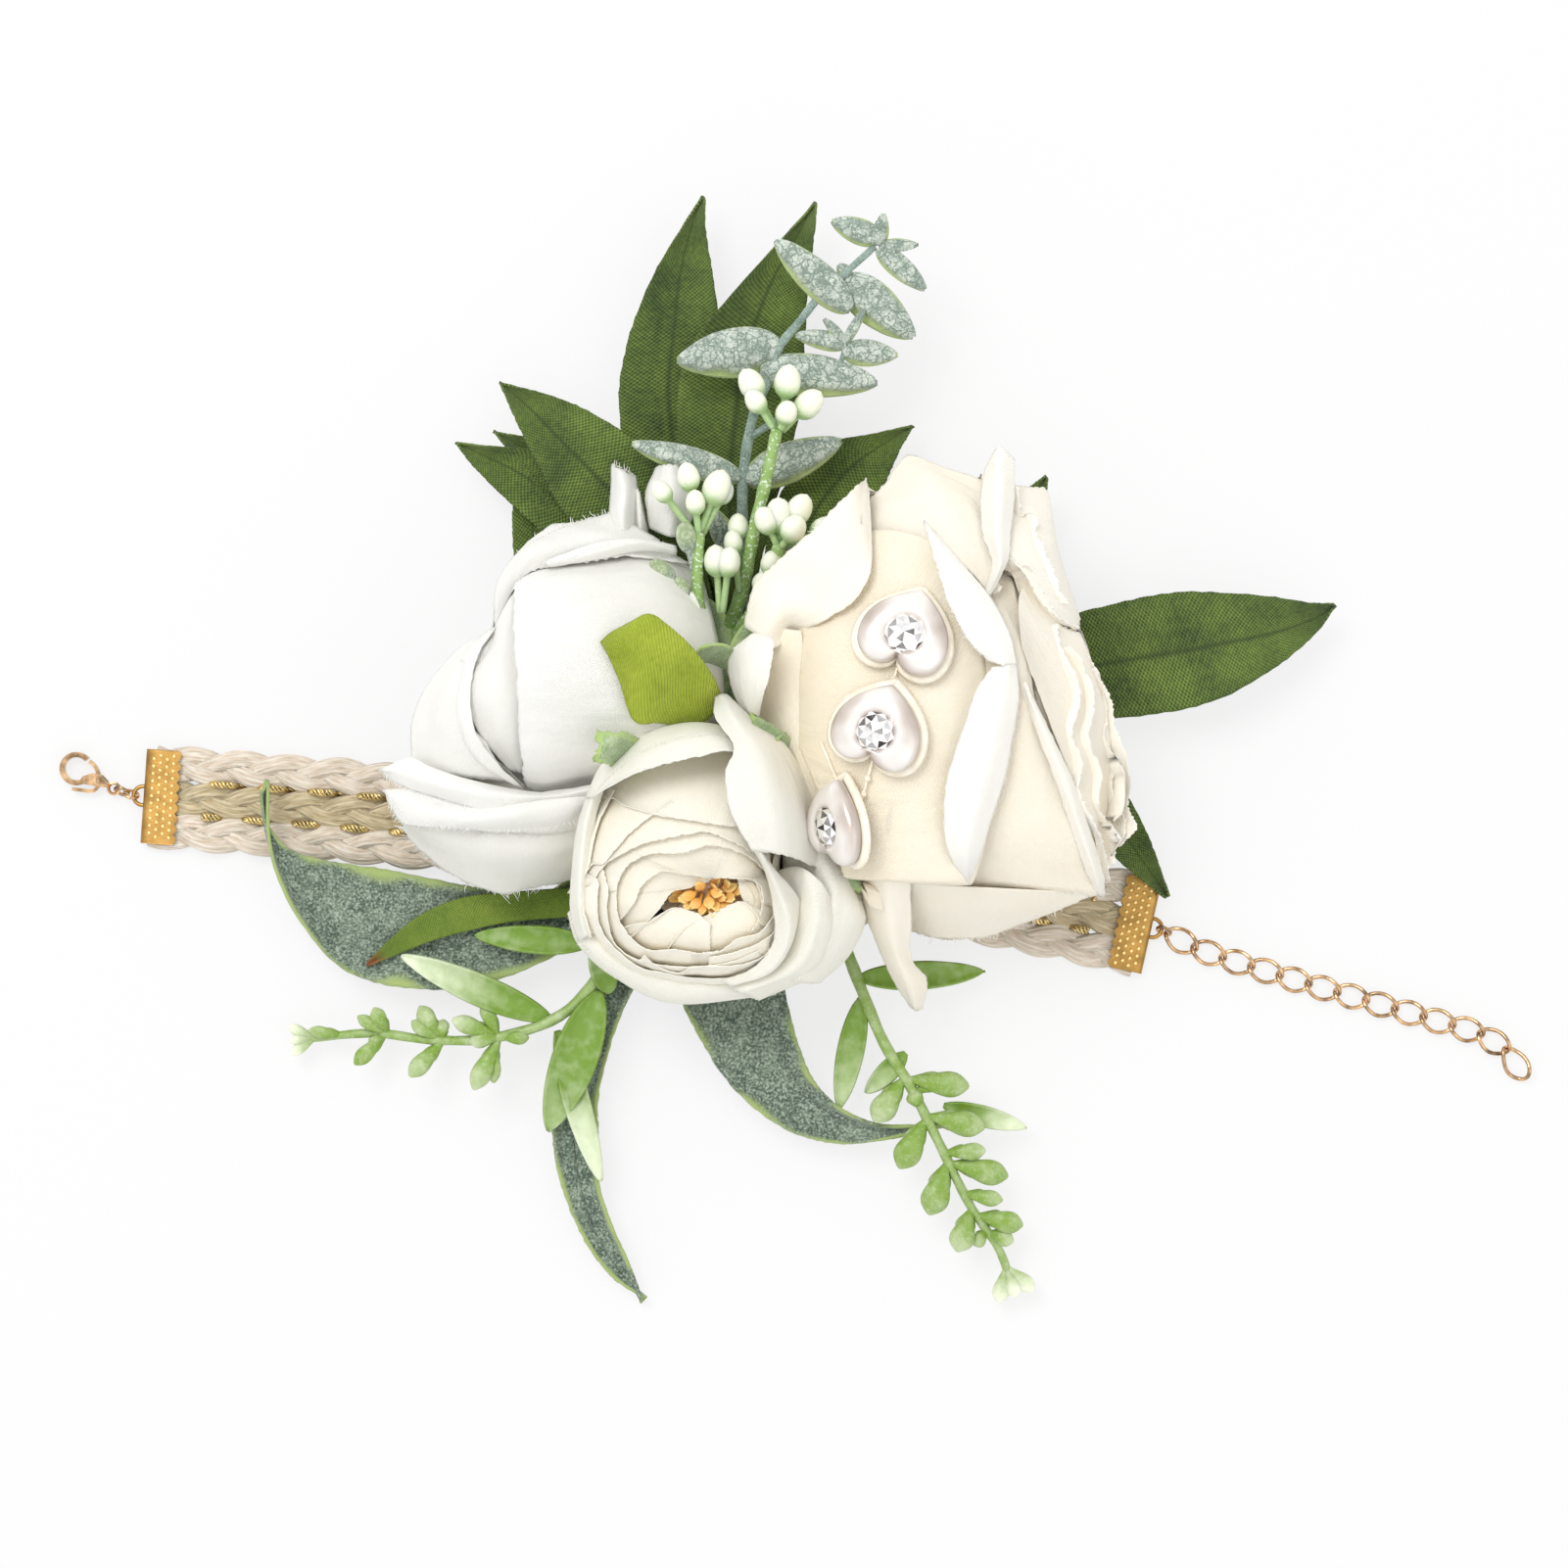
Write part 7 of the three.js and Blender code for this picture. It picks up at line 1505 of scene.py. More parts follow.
def berry_sprig():
    """Berries, dusty buds and small leaves; the rows give root, tip, radius in pixels and height."""
    stems, fruit, buds = Bag(), Bag(), Bag()
    root = (732, 690, 11)
    twig(stems, px_line([root, (742, 650, 19), (757, 605, 23), (769, 547, 26), (783, 486, 27),
                         (793, 440, 26.5)]), 1.3, 0.95, 0.2)
    twig(stems, px_line([root, (748, 655, 20), (772, 620, 24.5), (785, 600, 27), (796, 556, 28.5)]),
         1.2, 1.1, 0.2)
    twig(stems, px_line([root, (728, 665, 21), (717, 631, 26), (712, 600, 28), (714, 545, 28)]),
         1.1, 0.9, 0.2)
    berries = [
        ((793, 440), (759, 377), 13.5, 26.5), ((790, 438), (764, 398), 11, 27.5),
        ((796, 440), (807, 372), 14, 26), ((797, 438), (807, 410), 11.5, 28),
        ((799, 440), (838, 400), 14, 26), ((714, 545), (700, 472), 12, 28),
        ((714, 545), (739, 480), 15, 28.5), ((713, 545), (709, 500), 10.5, 29.5),
        ((712, 548), (668, 492), 10, 28), ((716, 548), (745, 492), 10, 27.5),
        ((795, 556), (795, 508), 14.5, 29), ((793, 556), (776, 518), 12, 30),
        ((797, 556), (824, 505), 13.5, 28.5), ((798, 558), (818, 528), 13.5, 30.5),
        ((800, 560), (856, 533), 12.5, 28), ((757, 600), (753, 524), 11, 24),
        ((755, 604), (747, 541), 10, 26), ((735, 625), (730, 556), 13, 28),
        ((738, 625), (746, 558), 12.5, 28.8), ((775, 612), (791, 562), 10.5, 27.5),
        ((768, 610), (782, 585), 9, 27),
    ]
    for (rx, ry), (tx, ty), radius, z in berries:
        start, end = at_px(rx, ry, z - 1.5), at_px(tx, ty, z + 1.2)
        reach = np.linalg.norm(end - start)
        size = radius / PIXELS_PER_MM
        bulb(fruit, start, end, size, 0.55, min(0.8, 2.5 * size / reach), (-0.25, 1.05), 20, 0.14)
    dusty = [((713, 600), (697, 533), 10), ((712, 612), (664, 573), 9.5), ((800, 562), (846, 570), 10.5),
             ((712, 620), (690, 590), 7)]
    for (rx, ry), (tx, ty), radius in dusty:
        start, end = at_px(rx, ry, 27), at_px(tx, ty, 29)
        reach = np.linalg.norm(end - start)
        bulb(buds, start, end, radius / PIXELS_PER_MM, 0.6, min(0.8, 3.2 * radius / PIXELS_PER_MM / reach),
             (0.0, 0.4))
    for k, (start, end, width) in enumerate([((715, 655), (693, 600), 17), ((716, 655), (706, 604), 15),
                                             ((718, 650), (688, 622), 13)]):
        grid = oval_leaf(at_px(*start, 24), at_px(*end, 29), width / PIXELS_PER_MM, 380 + k, 0.1, -0.3)
        fruit.sheet(grid, 0.5, ramp(np.linspace(0, 1, 34)[:, None], 0.2, 0.7) * np.ones((1, 21)))
    stems.object("berry_stems", BERRY_STEM, "berry_sprig", "berry_green")
    fruit.object("berries", BERRY, "berry_sprig", "berry_green")
    buds.object("dusty_buds", EUCALYPTUS, "berry_sprig", "berry_green")


LAVENDER_LEFT = dict(
    stem=[(-0.15, -0.1, 0.02), (-0.214, -0.164, 0.035), (-0.28, -0.266, 0.04), (-0.345, -0.317, 0.04),
          (-0.444, -0.345, 0.035), (-0.543, -0.348, 0.02), (-0.642, -0.338, 0.0), (-0.754, -0.348, -0.02)],
    corner=(300, 700), scale=1.96,
    leaves=[((515, 668, 9), (215, 540, 10), 5.2, 1.0), ((595, 515, 10), (362, 500, 10), 4.6, 0.1),
            ((632, 615, 10), (600, 498, 14), 4.2, 0.7),
            ((612, 612, 10), (510, 892, 7), 7.4, 0.25), ((527, 690, 8), (614, 992, 7), 4.4, 1.3)],
    lobes=[((420, 712), (318, 668), 2.0), ((415, 705), (380, 632), 1.7), ((420, 715), (360, 808), 2.3),
           ((410, 715), (400, 795), 1.6), ((420, 715), (470, 705), 1.5), ((425, 716), (352, 712), 1.8),
           ((300, 715), (252, 642), 2.0), ((300, 718), (236, 672), 1.6), ((305, 722), (232, 782), 2.1),
           ((300, 716), (300, 668), 1.4), ((190, 715), (160, 645), 1.7), ((190, 712), (128, 662), 1.4),
           ((185, 715), (122, 758), 1.8), ((180, 715), (152, 722), 1.4), ((95, 705), (30, 690), 1.3)])
LAVENDER_RIGHT = dict(
    stem=[(0.1, -0.1, 0.02), (0.132, -0.131, 0.03), (0.165, -0.221, 0.035), (0.215, -0.345, 0.04),
          (0.264, -0.427, 0.035), (0.314, -0.526, 0.03), (0.363, -0.625, 0.01), (0.412, -0.7, -0.01),
          (0.43, -0.745, -0.02)],
    corner=(300, 700), scale=1.96,
    leaves=[((1130, 585, 9), (1382, 572, 6), 4.6, 0.1), ((1135, 625, 9), (1090, 848, 6), 4.4, 0.5),
            ((1300, 840, 8), (1466, 884, 5), 3.4, 1.1), ((1225, 735, 9), (1145, 815, 7), 3.4, 0.6)],
    lobes=[((1240, 770), (1350, 802), 2.4), ((1225, 775), (1162, 872), 2.5), ((1280, 830), (1235, 812), 1.6),
           ((1260, 800), (1330, 780), 1.6), ((1275, 850), (1382, 884), 2.4), ((1270, 860), (1212, 965), 2.6),
           ((1310, 925), (1384, 930), 1.6), ((1315, 945), (1428, 982), 2.4),
           ((1315, 940), (1272, 1058), 2.7), ((1345, 1010), (1418, 1030), 1.5),
           ((1360, 1060), (1458, 1080), 2.1), ((1350, 1045), (1328, 1132), 2.4),
           ((1385, 1095), (1360, 1120), 1.4), ((1385, 1100), (1440, 1112), 1.5)])


def lavender(name, sprig, seed):
    """A soft sprig: spoon-shaped lobes stand in pairs along a thin stem and end in a pale flower."""
    stems, lobes, leaves = Bag(), Bag(), Bag()
    slim = 0.72 if name == "left" else 0.86
    line = even([layout(*p) for p in sprig["stem"]], 200)
    twig(stems, [layout(*p) for p in sprig["stem"]], 1.1, 0.7, 0.15)
    local = np.random.default_rng(seed)

    def place(x, y, z):
        return at_px(*(float(c) for c in seen(x, y, sprig["corner"], sprig["scale"])), z)

    def lobe(root, tip, radius, tones, bow=0.8):
        t = np.linspace(0, 1, 16)
        path = even([root, (root + tip) / 2 + UP * bow, tip], 16)
        width = slim * radius * np.sin(math.pi * np.clip(t, 0.02, 0.985) ** 2.1) ** 0.62 + 0.4 * (1 - t)
        fade = tones[0] + (tones[1] - tones[0]) * ramp(t, 0.25, 1.0)
        lobes.tube(path, np.maximum(width, 0.12), 12, tone=fade, flat=0.5)

    for k, (start, end, radius) in enumerate(sprig["lobes"]):
        near = line[int(np.argmin(np.linalg.norm(line - place(*start, 6), axis=1)))]
        height = max(near[2], 1.6)
        tip = place(*end, height + 1.2 * local.random() - 0.2)
        lobe(near, tip, radius, (0.0, 0.15 + 0.35 * local.random()))
        # the pair's hidden lobe stands away from the viewer
        back = near + (tip - near) * 0.62 - UP * (0.5 * min(3.0, height - 0.8))
        lobe(near, back, radius * 0.8, (0.0, 0.4), -0.1)
    end, along = line[-1], unit(line[-1] - line[-8])
    side = unit(np.cross(along, UP))
    for k in range(6):
        out = side * (k % 3 - 1) * 0.75 + UP * (0.5 if k > 2 else 0.05)
        tip = end + (along + out) * (4.2 if name == "right" else 3.2)
        tip[2] = max(tip[2], 1.0)
        lobe(end - along * 1.2, tip, 1.5 if name == "right" else 1.1, (0.3, 1.0), 0.2)
    for k, (start, tip, width, pale) in enumerate(sprig["leaves"]):
        grid = oval_leaf(place(*start), place(*tip), width, seed + k, 0.05, -0.45, 44, 19, 0.85, 0.2)
        uv = lengths(grid)
        patchy = 0.5 + 0.5 * noise_grid(uv[..., 0] / 5, uv[..., 1] / 9, seed + k)
        u = np.linspace(0, 1, 44)[:, None]
        leaves.sheet(grid, 0.45, np.clip(ramp(u, 0.2, 0.9) * pale * (0.4 + 0.9 * patchy), 0, 1))
    node = f"lavender_sprig_{name}"
    stems.object(f"{name}_fresh_stem", FRESH, node, "fresh_green")
    lobes.object(f"{name}_fresh_lobes", FRESH, node, "fresh_green")
    leaves.object(f"{name}_fresh_leaves", FRESH_LEAF, node, "fresh_green")


def calyx(name, flower, foot, sepals):
    """The green cup behind a bloom, its sepals and the stem down to the band."""
    bag = Bag()
    top = flower.base - flower.along * 1.1
    s = np.linspace(0, 1, 9)
    bag.tube(top - flower.along * (s * 5)[:, None], 1.5 + 3.4 * (1 - s) ** 1.3, 20, tone=0.2)
    bend = top - flower.along * 4.5
    ground = layout(*foot)
    ground[2] = SEAT_TOP
    lower = ground.copy()
    lower[2] = bend[2] * 0.4 + SEAT_TOP * 0.6
    bag.tube(even([bend, (bend + lower) / 2, lower, ground], 24), 1.4, 12, tone=0.3)
    for k, (at, reach, spread) in enumerate(sepals):
        out = flower.left * math.cos(math.radians(at)) + flower.front * math.sin(math.radians(at))
        near = top - flower.along * 1.0 + out * 2.0
        tip = near + out * reach * flower.radius
        points = np.array([near, (near + tip) / 2 - flower.along * 0.5, tip])
        line = even(keep_above(points, SEAT_TOP + 3.0), 30)
        along = unit(np.gradient(line, axis=0))
        side = unit(np.cross(along, UP + 0.001))
        u = np.linspace(0, 1, 30)[:, None]
        v = np.linspace(-1, 1, 13)[None]
        half = spread * flower.radius / 2 * np.maximum(np.sin(math.pi * u ** 0.9) ** 0.75, 0.1)
        dish = 0.1 * np.abs(v) * half
        grid = line[:, None] + side[:, None] * (half * v)[..., None] + UP * dish[..., None]
        grid = wrinkle(grid, 0.4, 5, 400 + k, 2)
        bag.sheet(grid, 0.45, margin_tone(grid, k, 0.8))
    bag.object(name + "_cup", CALYX, name, "calyx_green")


SEPAL_TIPS = [
    [[(652, 792, 30), (660, 786, 31), (668, 780, 30)], [(630, 782, 38), (640, 770, 39), (652, 758, 38)],
     [(616, 778, 43), (622, 765, 44), (634, 750, 43.5)],
     [(610, 777, 43.5), (612, 768, 44.5), (614, 748, 43.5)]],
    [[(790, 790, 30), (798, 782, 31), (806, 776, 30)], [(796, 768, 34), (802, 762, 35), (810, 762, 34)],
     [(782, 750, 38), (788, 744, 39), (795, 745, 38)], [(768, 736, 41), (770, 731, 41.5), (775, 733, 41)]],
    [[(838, 880, 28), (842, 870, 29), (848, 862, 28)], [(850, 893, 31), (858, 884, 32), (862, 874, 31)],
     [(864, 905, 32), (873, 898, 33), (876, 890, 32)], [(876, 908, 32), (880, 906, 32.5), (880, 902, 32)]],
]


def sepal_tips():
    """The sepals' frosted ends, seen between the blooms."""
    bag = Bag()
    for k, rows in enumerate(SEPAL_TIPS):
        grid = fray(cloth_patch(rows, 30, 17, 430 + k, 0.3, 5, 0.5), 0.6, 430 + k)
        bag.sheet(grid, 0.3, margin_tone(grid, k, 0.8))
    bag.object("sepal_ends", CALYX, "ranunculus_calyx", "calyx_green")


def stamens():
    """Flat-headed threads that lean out of the bloom's mouth."""
    bag = Bag()
    flower = RANUNCULUS
    foot = flower.base + flower.along * 3.6
    local = np.random.default_rng(5)
    bag.tube(even([foot, foot + flower.along * 1.5, foot + flower.along * 3.0], 8),
             [3.1, 3.1, 3.0, 2.8, 2.5, 2.0, 1.2, 0.5], 18)
    mouth = at_px(722, 911, 34.6)
    for k in range(26):
        a = 2.4 * k
        spread = math.sqrt((k + 0.5) / 26)
        out = np.array([math.cos(a), 0.55 * math.sin(a), 0.0])
        neck = mouth + out * 4.6 * spread + UP * (0.9 * local.random() - 0.4 * spread)
        sway = out * (0.5 + 0.7 * local.random()) + UP * 0.75
        lean = unit(sway + np.array([0.5, 0.35, 0.0]) * local.normal(0, 0.6))
        aside = flower.left * math.cos(a) + flower.front * math.sin(a)
        root = foot + aside * 1.4 * spread + flower.along * 0.8
        tip = neck + lean * (2.0 + 0.9 * local.random())
        line = np.concatenate([even([root, (root + neck) / 2 + UP * 0.6, neck], 10)[:-1],
                               even([neck, tip], 10)])
        t = np.concatenate([np.zeros(9), np.linspace(0, 1, 10)])[:, None]
        half = 0.22 + 0.62 * np.sin(math.pi * np.clip(t, 0, 0.93) ** 0.8)
        across = unit(np.cross(lean, UP) + 0.35 * UP * local.normal())
        v = np.linspace(-1, 1, 7)[None]
        grid = line[:, None] + across * (half * v)[..., None] + UP * (0.45 * v ** 2 * half)[..., None]
        bag.sheet(fray(grid, 0.2, k), 0.22, 0.1 + 0.35 * local.random() + 0.5 * t * np.ones((1, 7)))
    bag.object("stamen_threads", STAMEN, "ranunculus_stamens", "stamen_yellow")


# Pearls

def petal_frames():
    """Frames on the peony's front petal, by shares from foot to rim and from edge to edge."""
    grid = petal(PEONY, depth=0.0, fray_size=0.0, nu=101, nv=101, **PEONY_FRONT)

    def frame_at(u, v, lift):
        i, j = u * 100, (v + 1) * 50
        i0, j0 = int(i), int(j)
        down, right = grid[i0 + 1, j0] - grid[i0, j0], grid[i0, j0 + 1] - grid[i0, j0]
        point = grid[i0, j0] + down * (i - i0) + right * (j - j0)
        side = unit(grid[i0 + 2, j0] - grid[i0 - 2, j0])
        slope = grid[i0, j0 + 1] - grid[i0, j0 - 1]
        normal = unit(np.cross(side, slope))
        normal = -normal if normal[2] < 0 else normal
        return point + normal * lift, side, unit(np.cross(normal, side)), normal
    return frame_at


# place on the petal, turn in its plane and lean to the left, in degrees
HEARTS = [(0.75, -0.42, -16, 0), (0.63, -0.02, -20, 0), (0.5, 0.42, 8, 32)]
HEART_CURVES = [(0.55, 0.72, 1.05, 0.3, 1, -0.3), (0.95, -0.95, 0.12, -1, 0, -0.55),
                (-0.12, -1, -0.95, -0.95, -1, -0.3), (-1.05, 0.3, -0.55, 0.72, 0, 1)]
HEART_HALF = 7.3
HEART_MIDDLE = np.array([0, -0.6])
STONE_SEAT = 3.3


def heart_outline(count=18):
    """The heart's rim in its own plane."""
    here, points = np.array([0.0, 1.0]), []
    for row in HEART_CURVES:
        a, b, c = (np.array(row[i:i + 2], float) for i in (0, 2, 4))
        t = np.linspace(0, 1, count, endpoint=False)[:, None]
        points.append((1 - t) ** 3 * here + 3 * t * (1 - t) ** 2 * a + 3 * t * t * (1 - t) * b + t ** 3 * c)
        here = c
    return np.concatenate(points) * HEART_HALF


def heart_frames(lift):
    """Each heart's seat, its own right and up, and the way that it faces."""
    frame_at = petal_frames()
    for u, v, turn, lean in HEARTS:
        point, side, across, normal = frame_at(u, v, lift)
        a, b = math.radians(turn), math.radians(lean)
        x = side * math.cos(a) + across * math.sin(a)
        y = across * math.cos(a) - side * math.sin(a)
        right = x * math.cos(b) + normal * math.sin(b)
        yield point - x * (0.05 * lean), right, y, normal * math.cos(b) - x * math.sin(b)


def hearts():
    """Domed pearl hearts, each with a round seat and a cut stone in it."""
    outline, middle = heart_outline(), HEART_MIDDLE
    for k, (point, x, y, normal) in enumerate(heart_frames(1.6)):
        rings = [(0.02, 0.0), (0.6, 0.0), (0.84, 0.1), (0.95, 0.5), (1.0, 1.2), (1.0, 1.9), (0.96, 2.5),
                 (0.87, 3.0), (0.74, 3.35), (0.58, 3.55), (0.46, 3.5), (0.42, 3.1), (0.02, 2.6)]
        grid = []
        for share, height in rings:
            flat = middle + (outline - middle) * share
            if share < 0.5:
                away = unit(outline - middle)
                flat = middle + away * (share / 0.42 * STONE_SEAT)
            grid.append(point + x * flat[:, :1] + y * flat[:, 1:] + normal * height)
        grid = np.array(grid)
        bag = Bag()
        rows, cols = grid.shape[:2]
        index = numbering(rows, cols)
        faces = round_faces(index[:-1], index[1:])
        # the tone is painted shade and highlight: darker on the low sides and in the stone's seat, pale on
        # the dome's top, with light and dark bands round the heart
        rise = np.array([0.8, 0.8, 0.8, 0.75, 0.6, 0.45, 0.35, 0.25, 0.1, 0.0, 0.0, 0.5, 0.8])[:, None]
        glow = np.array([0, 0, 0, 0, 0.15, 0.25, 0.35, 0.4, 0.3, 0.1, 0, 0, 0])[:, None]
        shade = rise + glow * np.sin(3 * np.linspace(0, 2 * math.pi, cols, endpoint=False) - 0.9)[None]
        bag.add(grid, faces, np.zeros((rows * cols, 2)), shade)
        piece = bag.object(f"heart_{k + 1}", PEARL, f"pearl_heart_{k + 1}", "pearl")
        modifier = piece.modifiers.new("smooth", "SUBSURF")
        modifier.levels = modifier.render_levels = 1
        stone = Bag()
        seat = point + x * middle[0] + y * middle[1]
        cut_stone(stone, seat, x, y, normal)
        stone.object(f"stone_{k + 1}", CRYSTAL, f"rhinestone_{k + 1}", "crystal", smooth=False)


def cut_stone(bag, seat, x, y, normal):
    """A brilliant: a star of flat facets under a small table."""
    radius, count = STONE_SEAT, 9
    levels = [(radius, 2.75, 0.0), (radius, 3.1, 0.0), (radius * 0.84, 3.75, 0.5), (radius * 0.5, 4.35, 0.0)]
    rings = []
    for r, h, shift in levels:
        a = 2 * math.pi * (np.arange(count) + shift) / count
        rings.append(seat + x * (np.cos(a) * r)[:, None] + y * (np.sin(a) * r)[:, None] + normal * h)
    local = np.random.default_rng(int(abs(seat[0] * 10)))

    # each facet's tone is a painted reflection: a set level for its place in the cut plus a random share
    def face(painted_glint, *corners):
        ids = [0, 1, 2, 3] if len(corners) == 4 else [0, 1, 2, 2]
        bag.add(np.array(corners), [ids], np.zeros((len(corners), 2)),
                painted_glint + 0.7 * (local.random() - 0.35))

    for k in range(count):
        n = (k + 1) % count
        face(0.5, rings[0][k], rings[0][n], rings[1][n], rings[1][k])
        face(0.2, rings[1][k], rings[1][n], rings[2][k])
        face(0.9, rings[2][k], rings[1][n], rings[2][n])
        face(0.8, rings[2][k], rings[3][n], rings[3][k])
        face(0.25, rings[2][k], rings[2][n], rings[3][n])
        face(0.75 if k % 3 else 0.2, rings[3][k], rings[3][n], seat + normal * 4.8)


def strand():
    """The clear line from heart to heart, its drops of glue and the glue rims round the hearts."""
    frame_at = petal_frames()
    stops = [(0.36, 0.06), (0.5, 0.42), (0.63, -0.02), (0.75, -0.42)]
    points = [frame_at(a[0] + (b[0] - a[0]) * k / 6, a[1] + (b[1] - a[1]) * k / 6, 1.0)[0]
              for a, b in zip(stops[:-1], stops[1:]) for k in range(6)]
    bag = Bag()
    bag.tube(even(points, 120), 0.22, 8)
    for k in (7, 8, 9, 13, 14, 15):
        centre = points[k] + UP * 0.1
        bag.ball(centre, 0.55, 12, 8)
    for point, x, y, normal in heart_frames(0.9):
        outline, middle = heart_outline(), HEART_MIDDLE
        rim = [(0.9, 0.9), (1.0, 0.95), (1.08, 0.75), (1.13, 0.35), (1.1, -0.1), (0.9, -0.3)]
        flat = [middle + (outline - middle) * share for share, _ in rim]
        grid = np.array([point + x * f[:, :1] + y * f[:, 1:] + normal * height
                         for f, (_, height) in zip(flat, rim)])
        grid = np.concatenate([grid, grid[:, :1]], axis=1)
        bag.sheet(grid, 0.1)
    bag.object("clear_strand", CLEAR, "pearl_strand_line", "clear_line")


# Band and hardware

BAND_MIDDLE = np.array([-18.0, -4.5, 0.0])
BAND_SPAN = 160.0
HARDWARE_Z = 1.35


def heading(degrees):
    """The level direction at that angle from the x axis."""
    return np.array([math.cos(math.radians(degrees)), math.sin(math.radians(degrees)), 0.0])


BAND_START = BAND_MIDDLE - heading(-7.4) * BAND_SPAN / 2
BAND_END = BAND_MIDDLE + heading(-7.4) * BAND_SPAN / 2


def band_at(d):
    """The band's middle line, its left side and its thickness, at distances from the clasp crimp's mouth."""
    d = np.asarray(d, float)
    s = np.clip(d / BAND_SPAN, 0, 1)[:, None]
    start, end = heading(-4) * BAND_SPAN, heading(-12.5) * BAND_SPAN
    p = (BAND_START * (2 * s ** 3 - 3 * s ** 2 + 1) + BAND_END * (3 * s ** 2 - 2 * s ** 3)
         + start * (s ** 3 - 2 * s ** 2 + s) + end * (s ** 3 - s ** 2))
    p = p + heading(-4) * np.minimum(d, 0)[:, None] + heading(-12.5) * np.maximum(d - BAND_SPAN, 0)[:, None]
    share = np.clip(d / BAND_SPAN, 0, 1)
    rise = ramp(share, 0.1, 0.38) * (1 - ramp(share, 0.84, 0.98))
    opened = ramp(np.minimum(d, BAND_SPAN - d), 0, 4)
    p[:, 2] = HARDWARE_Z * (1 - opened) + (1.65 + 1.85 * rise) * opened
    along = np.gradient(p, axis=0)
    left = unit(np.cross(UP, along))
    return p, left, 1.0 + 2.2 * opened


def braids():
    """Three plaits side by side and the two gold yarns that weave in and out between them."""
    d = np.arange(-4.8, BAND_SPAN + 4.8, 0.55)
    p, left, thick = band_at(d)
    flat = (thick / 3.2)[:, None]
    for name, lane, material, slot in (("upper", 1, COTTON, "natural_cotton"),
                                       ("middle", 0, KHAKI, "khaki_cotton"),
                                       ("lower", -1, COTTON, "natural_cotton")):
        bag = Bag()
        wave = 25.0
        for strand_no in range(3):
            a = 2 * math.pi * d / wave + 2 * math.pi * strand_no / 3 + lane * 1.1
            across = lane * 5.6 + 1.7 * np.sin(a)
            lift = 0.7 * np.sin(2 * a)[:, None] * flat
            path = p + left * across[:, None] + UP * lift
            plump = 1 + 0.16 * np.abs(np.sin(a)) ** 2
            fibrous_strand(bag, path, 1.3 * plump[:, None], 1.0 * flat[:, 0] * plump, 32,
                           7 * strand_no + lane)
        bag.object(f"plait_{name}", material, f"braid_{name}", slot)
    cords = (("upper", 1, 0.9), ("lower", -1, 2.6))
    for name, lane, phase in cords:
        d2 = np.arange(4.0, BAND_SPAN - 4.0, 0.3)
        p2, left2, _ = band_at(d2)
        bag = Bag()
        dash = np.cos(2 * math.pi * d2 / 8.35 + phase)
        rise = 1.5 + 0.35 * dash - 1.3 * (1 - ramp(dash, -0.7, 0.4))
        middle = p2 + left2 * (lane * 2.8) + UP * rise[:, None]
        swell = 0.22 + 0.3 * ramp(dash, -0.2, 1.0)
        for k in range(3):
            turn = 2 * math.pi * d2 / 2.1 + 2 * math.pi * k / 3
            path = middle + left2 * (swell * np.cos(turn))[:, None] + UP * (0.24 * np.sin(turn))[:, None]
            bag.tube(path, 0.24, 8)
        bag.object(f"gold_yarn_{name}", GOLD_THREAD, f"gold_cord_{name}", "gold_thread")


def fibrous_strand(bag, path, wide, thick, sides, seed):
    """A flattened yarn bundle whose surface is ridged by its fibres."""
    along = unit(np.gradient(path, axis=0))
    side = unit(np.cross(UP, along))
    up = np.cross(along, side)
    n = len(path)
    turn = np.linspace(0, 2 * math.pi, sides, endpoint=False)[None]
    s = np.arange(n)[:, None]
    ridges = 1 + 0.1 * np.sin(9 * turn + 0.12 * s + seed) + 0.05 * np.sin(5 * turn - 0.11 * s + 2 * seed)
    ring = (path[:, None] + side[:, None] * (np.cos(turn) * wide * ridges)[..., None]
            + up[:, None] * (np.sin(turn) * np.asarray(thick).reshape(-1, 1) * ridges)[..., None])
    index = numbering(n, sides)
    faces = round_faces(index[:-1], index[1:])
    uv = np.stack(np.broadcast_arrays(turn * np.mean(wide), distances(path)[:, None]), -1)
    # the tone is painted shade: higher where the surface dips between fibre ridges, lower on their crests
    bag.add(ring, faces, uv, np.clip(0.5 - 4 * (ridges - 1), 0, 1) * 0.75)


def felt():
    """The oval backing, fuzzy at its edge."""
    bag = Bag()
    count = 96
    turn = np.linspace(0, 2 * math.pi, count, endpoint=False)
    rings = [(0.0, 0.0), (0.5, 0.0), (0.97, 0.0), (0.995, 0.25), (1.0, 0.8), (0.995, 1.35), (0.97, 1.6),
             (0.5, 1.6), (0.0, 1.6)]
    fuzz = np.random.default_rng(3).random((len(rings), count)) * 0.25
    grid = []
    for (share, height), rough in zip(rings, fuzz):
        worn = rough * (share > 0.9)
        x, y = np.cos(turn) * (31 * share - worn), np.sin(turn) * (20 * share - worn)
        grid.append(np.stack([x, y, np.full(count, height)], -1))
    grid = np.array(grid)
    index = numbering(len(rings), count)
    faces = round_faces(index[:-1], index[1:])
    bag.add(grid, faces[:, ::-1], grid[..., :2], 0.0)
    bag.object("felt_pad", FELT, "felt_backing", "felt")


def placed(points, origin, degrees, tilt=0.0):
    """Turns local points about their own x axis, then to a heading, and moves them."""
    points = np.asarray(points, float)
    t, h = math.radians(tilt), math.radians(degrees)
    lean = np.array([[1, 0, 0], [0, math.cos(t), -math.sin(t)], [0, math.sin(t), math.cos(t)]])
    turn = np.array([[math.cos(h), -math.sin(h), 0], [math.sin(h), math.cos(h), 0], [0, 0, 1]])
    return points @ (turn @ lean).T + origin


def ring_points(radius, count=48):
    """A flat circle."""
    a = np.linspace(0, 2 * math.pi, count, endpoint=False)
    return np.stack([radius * np.cos(a), radius * np.sin(a), np.zeros(count)], -1)


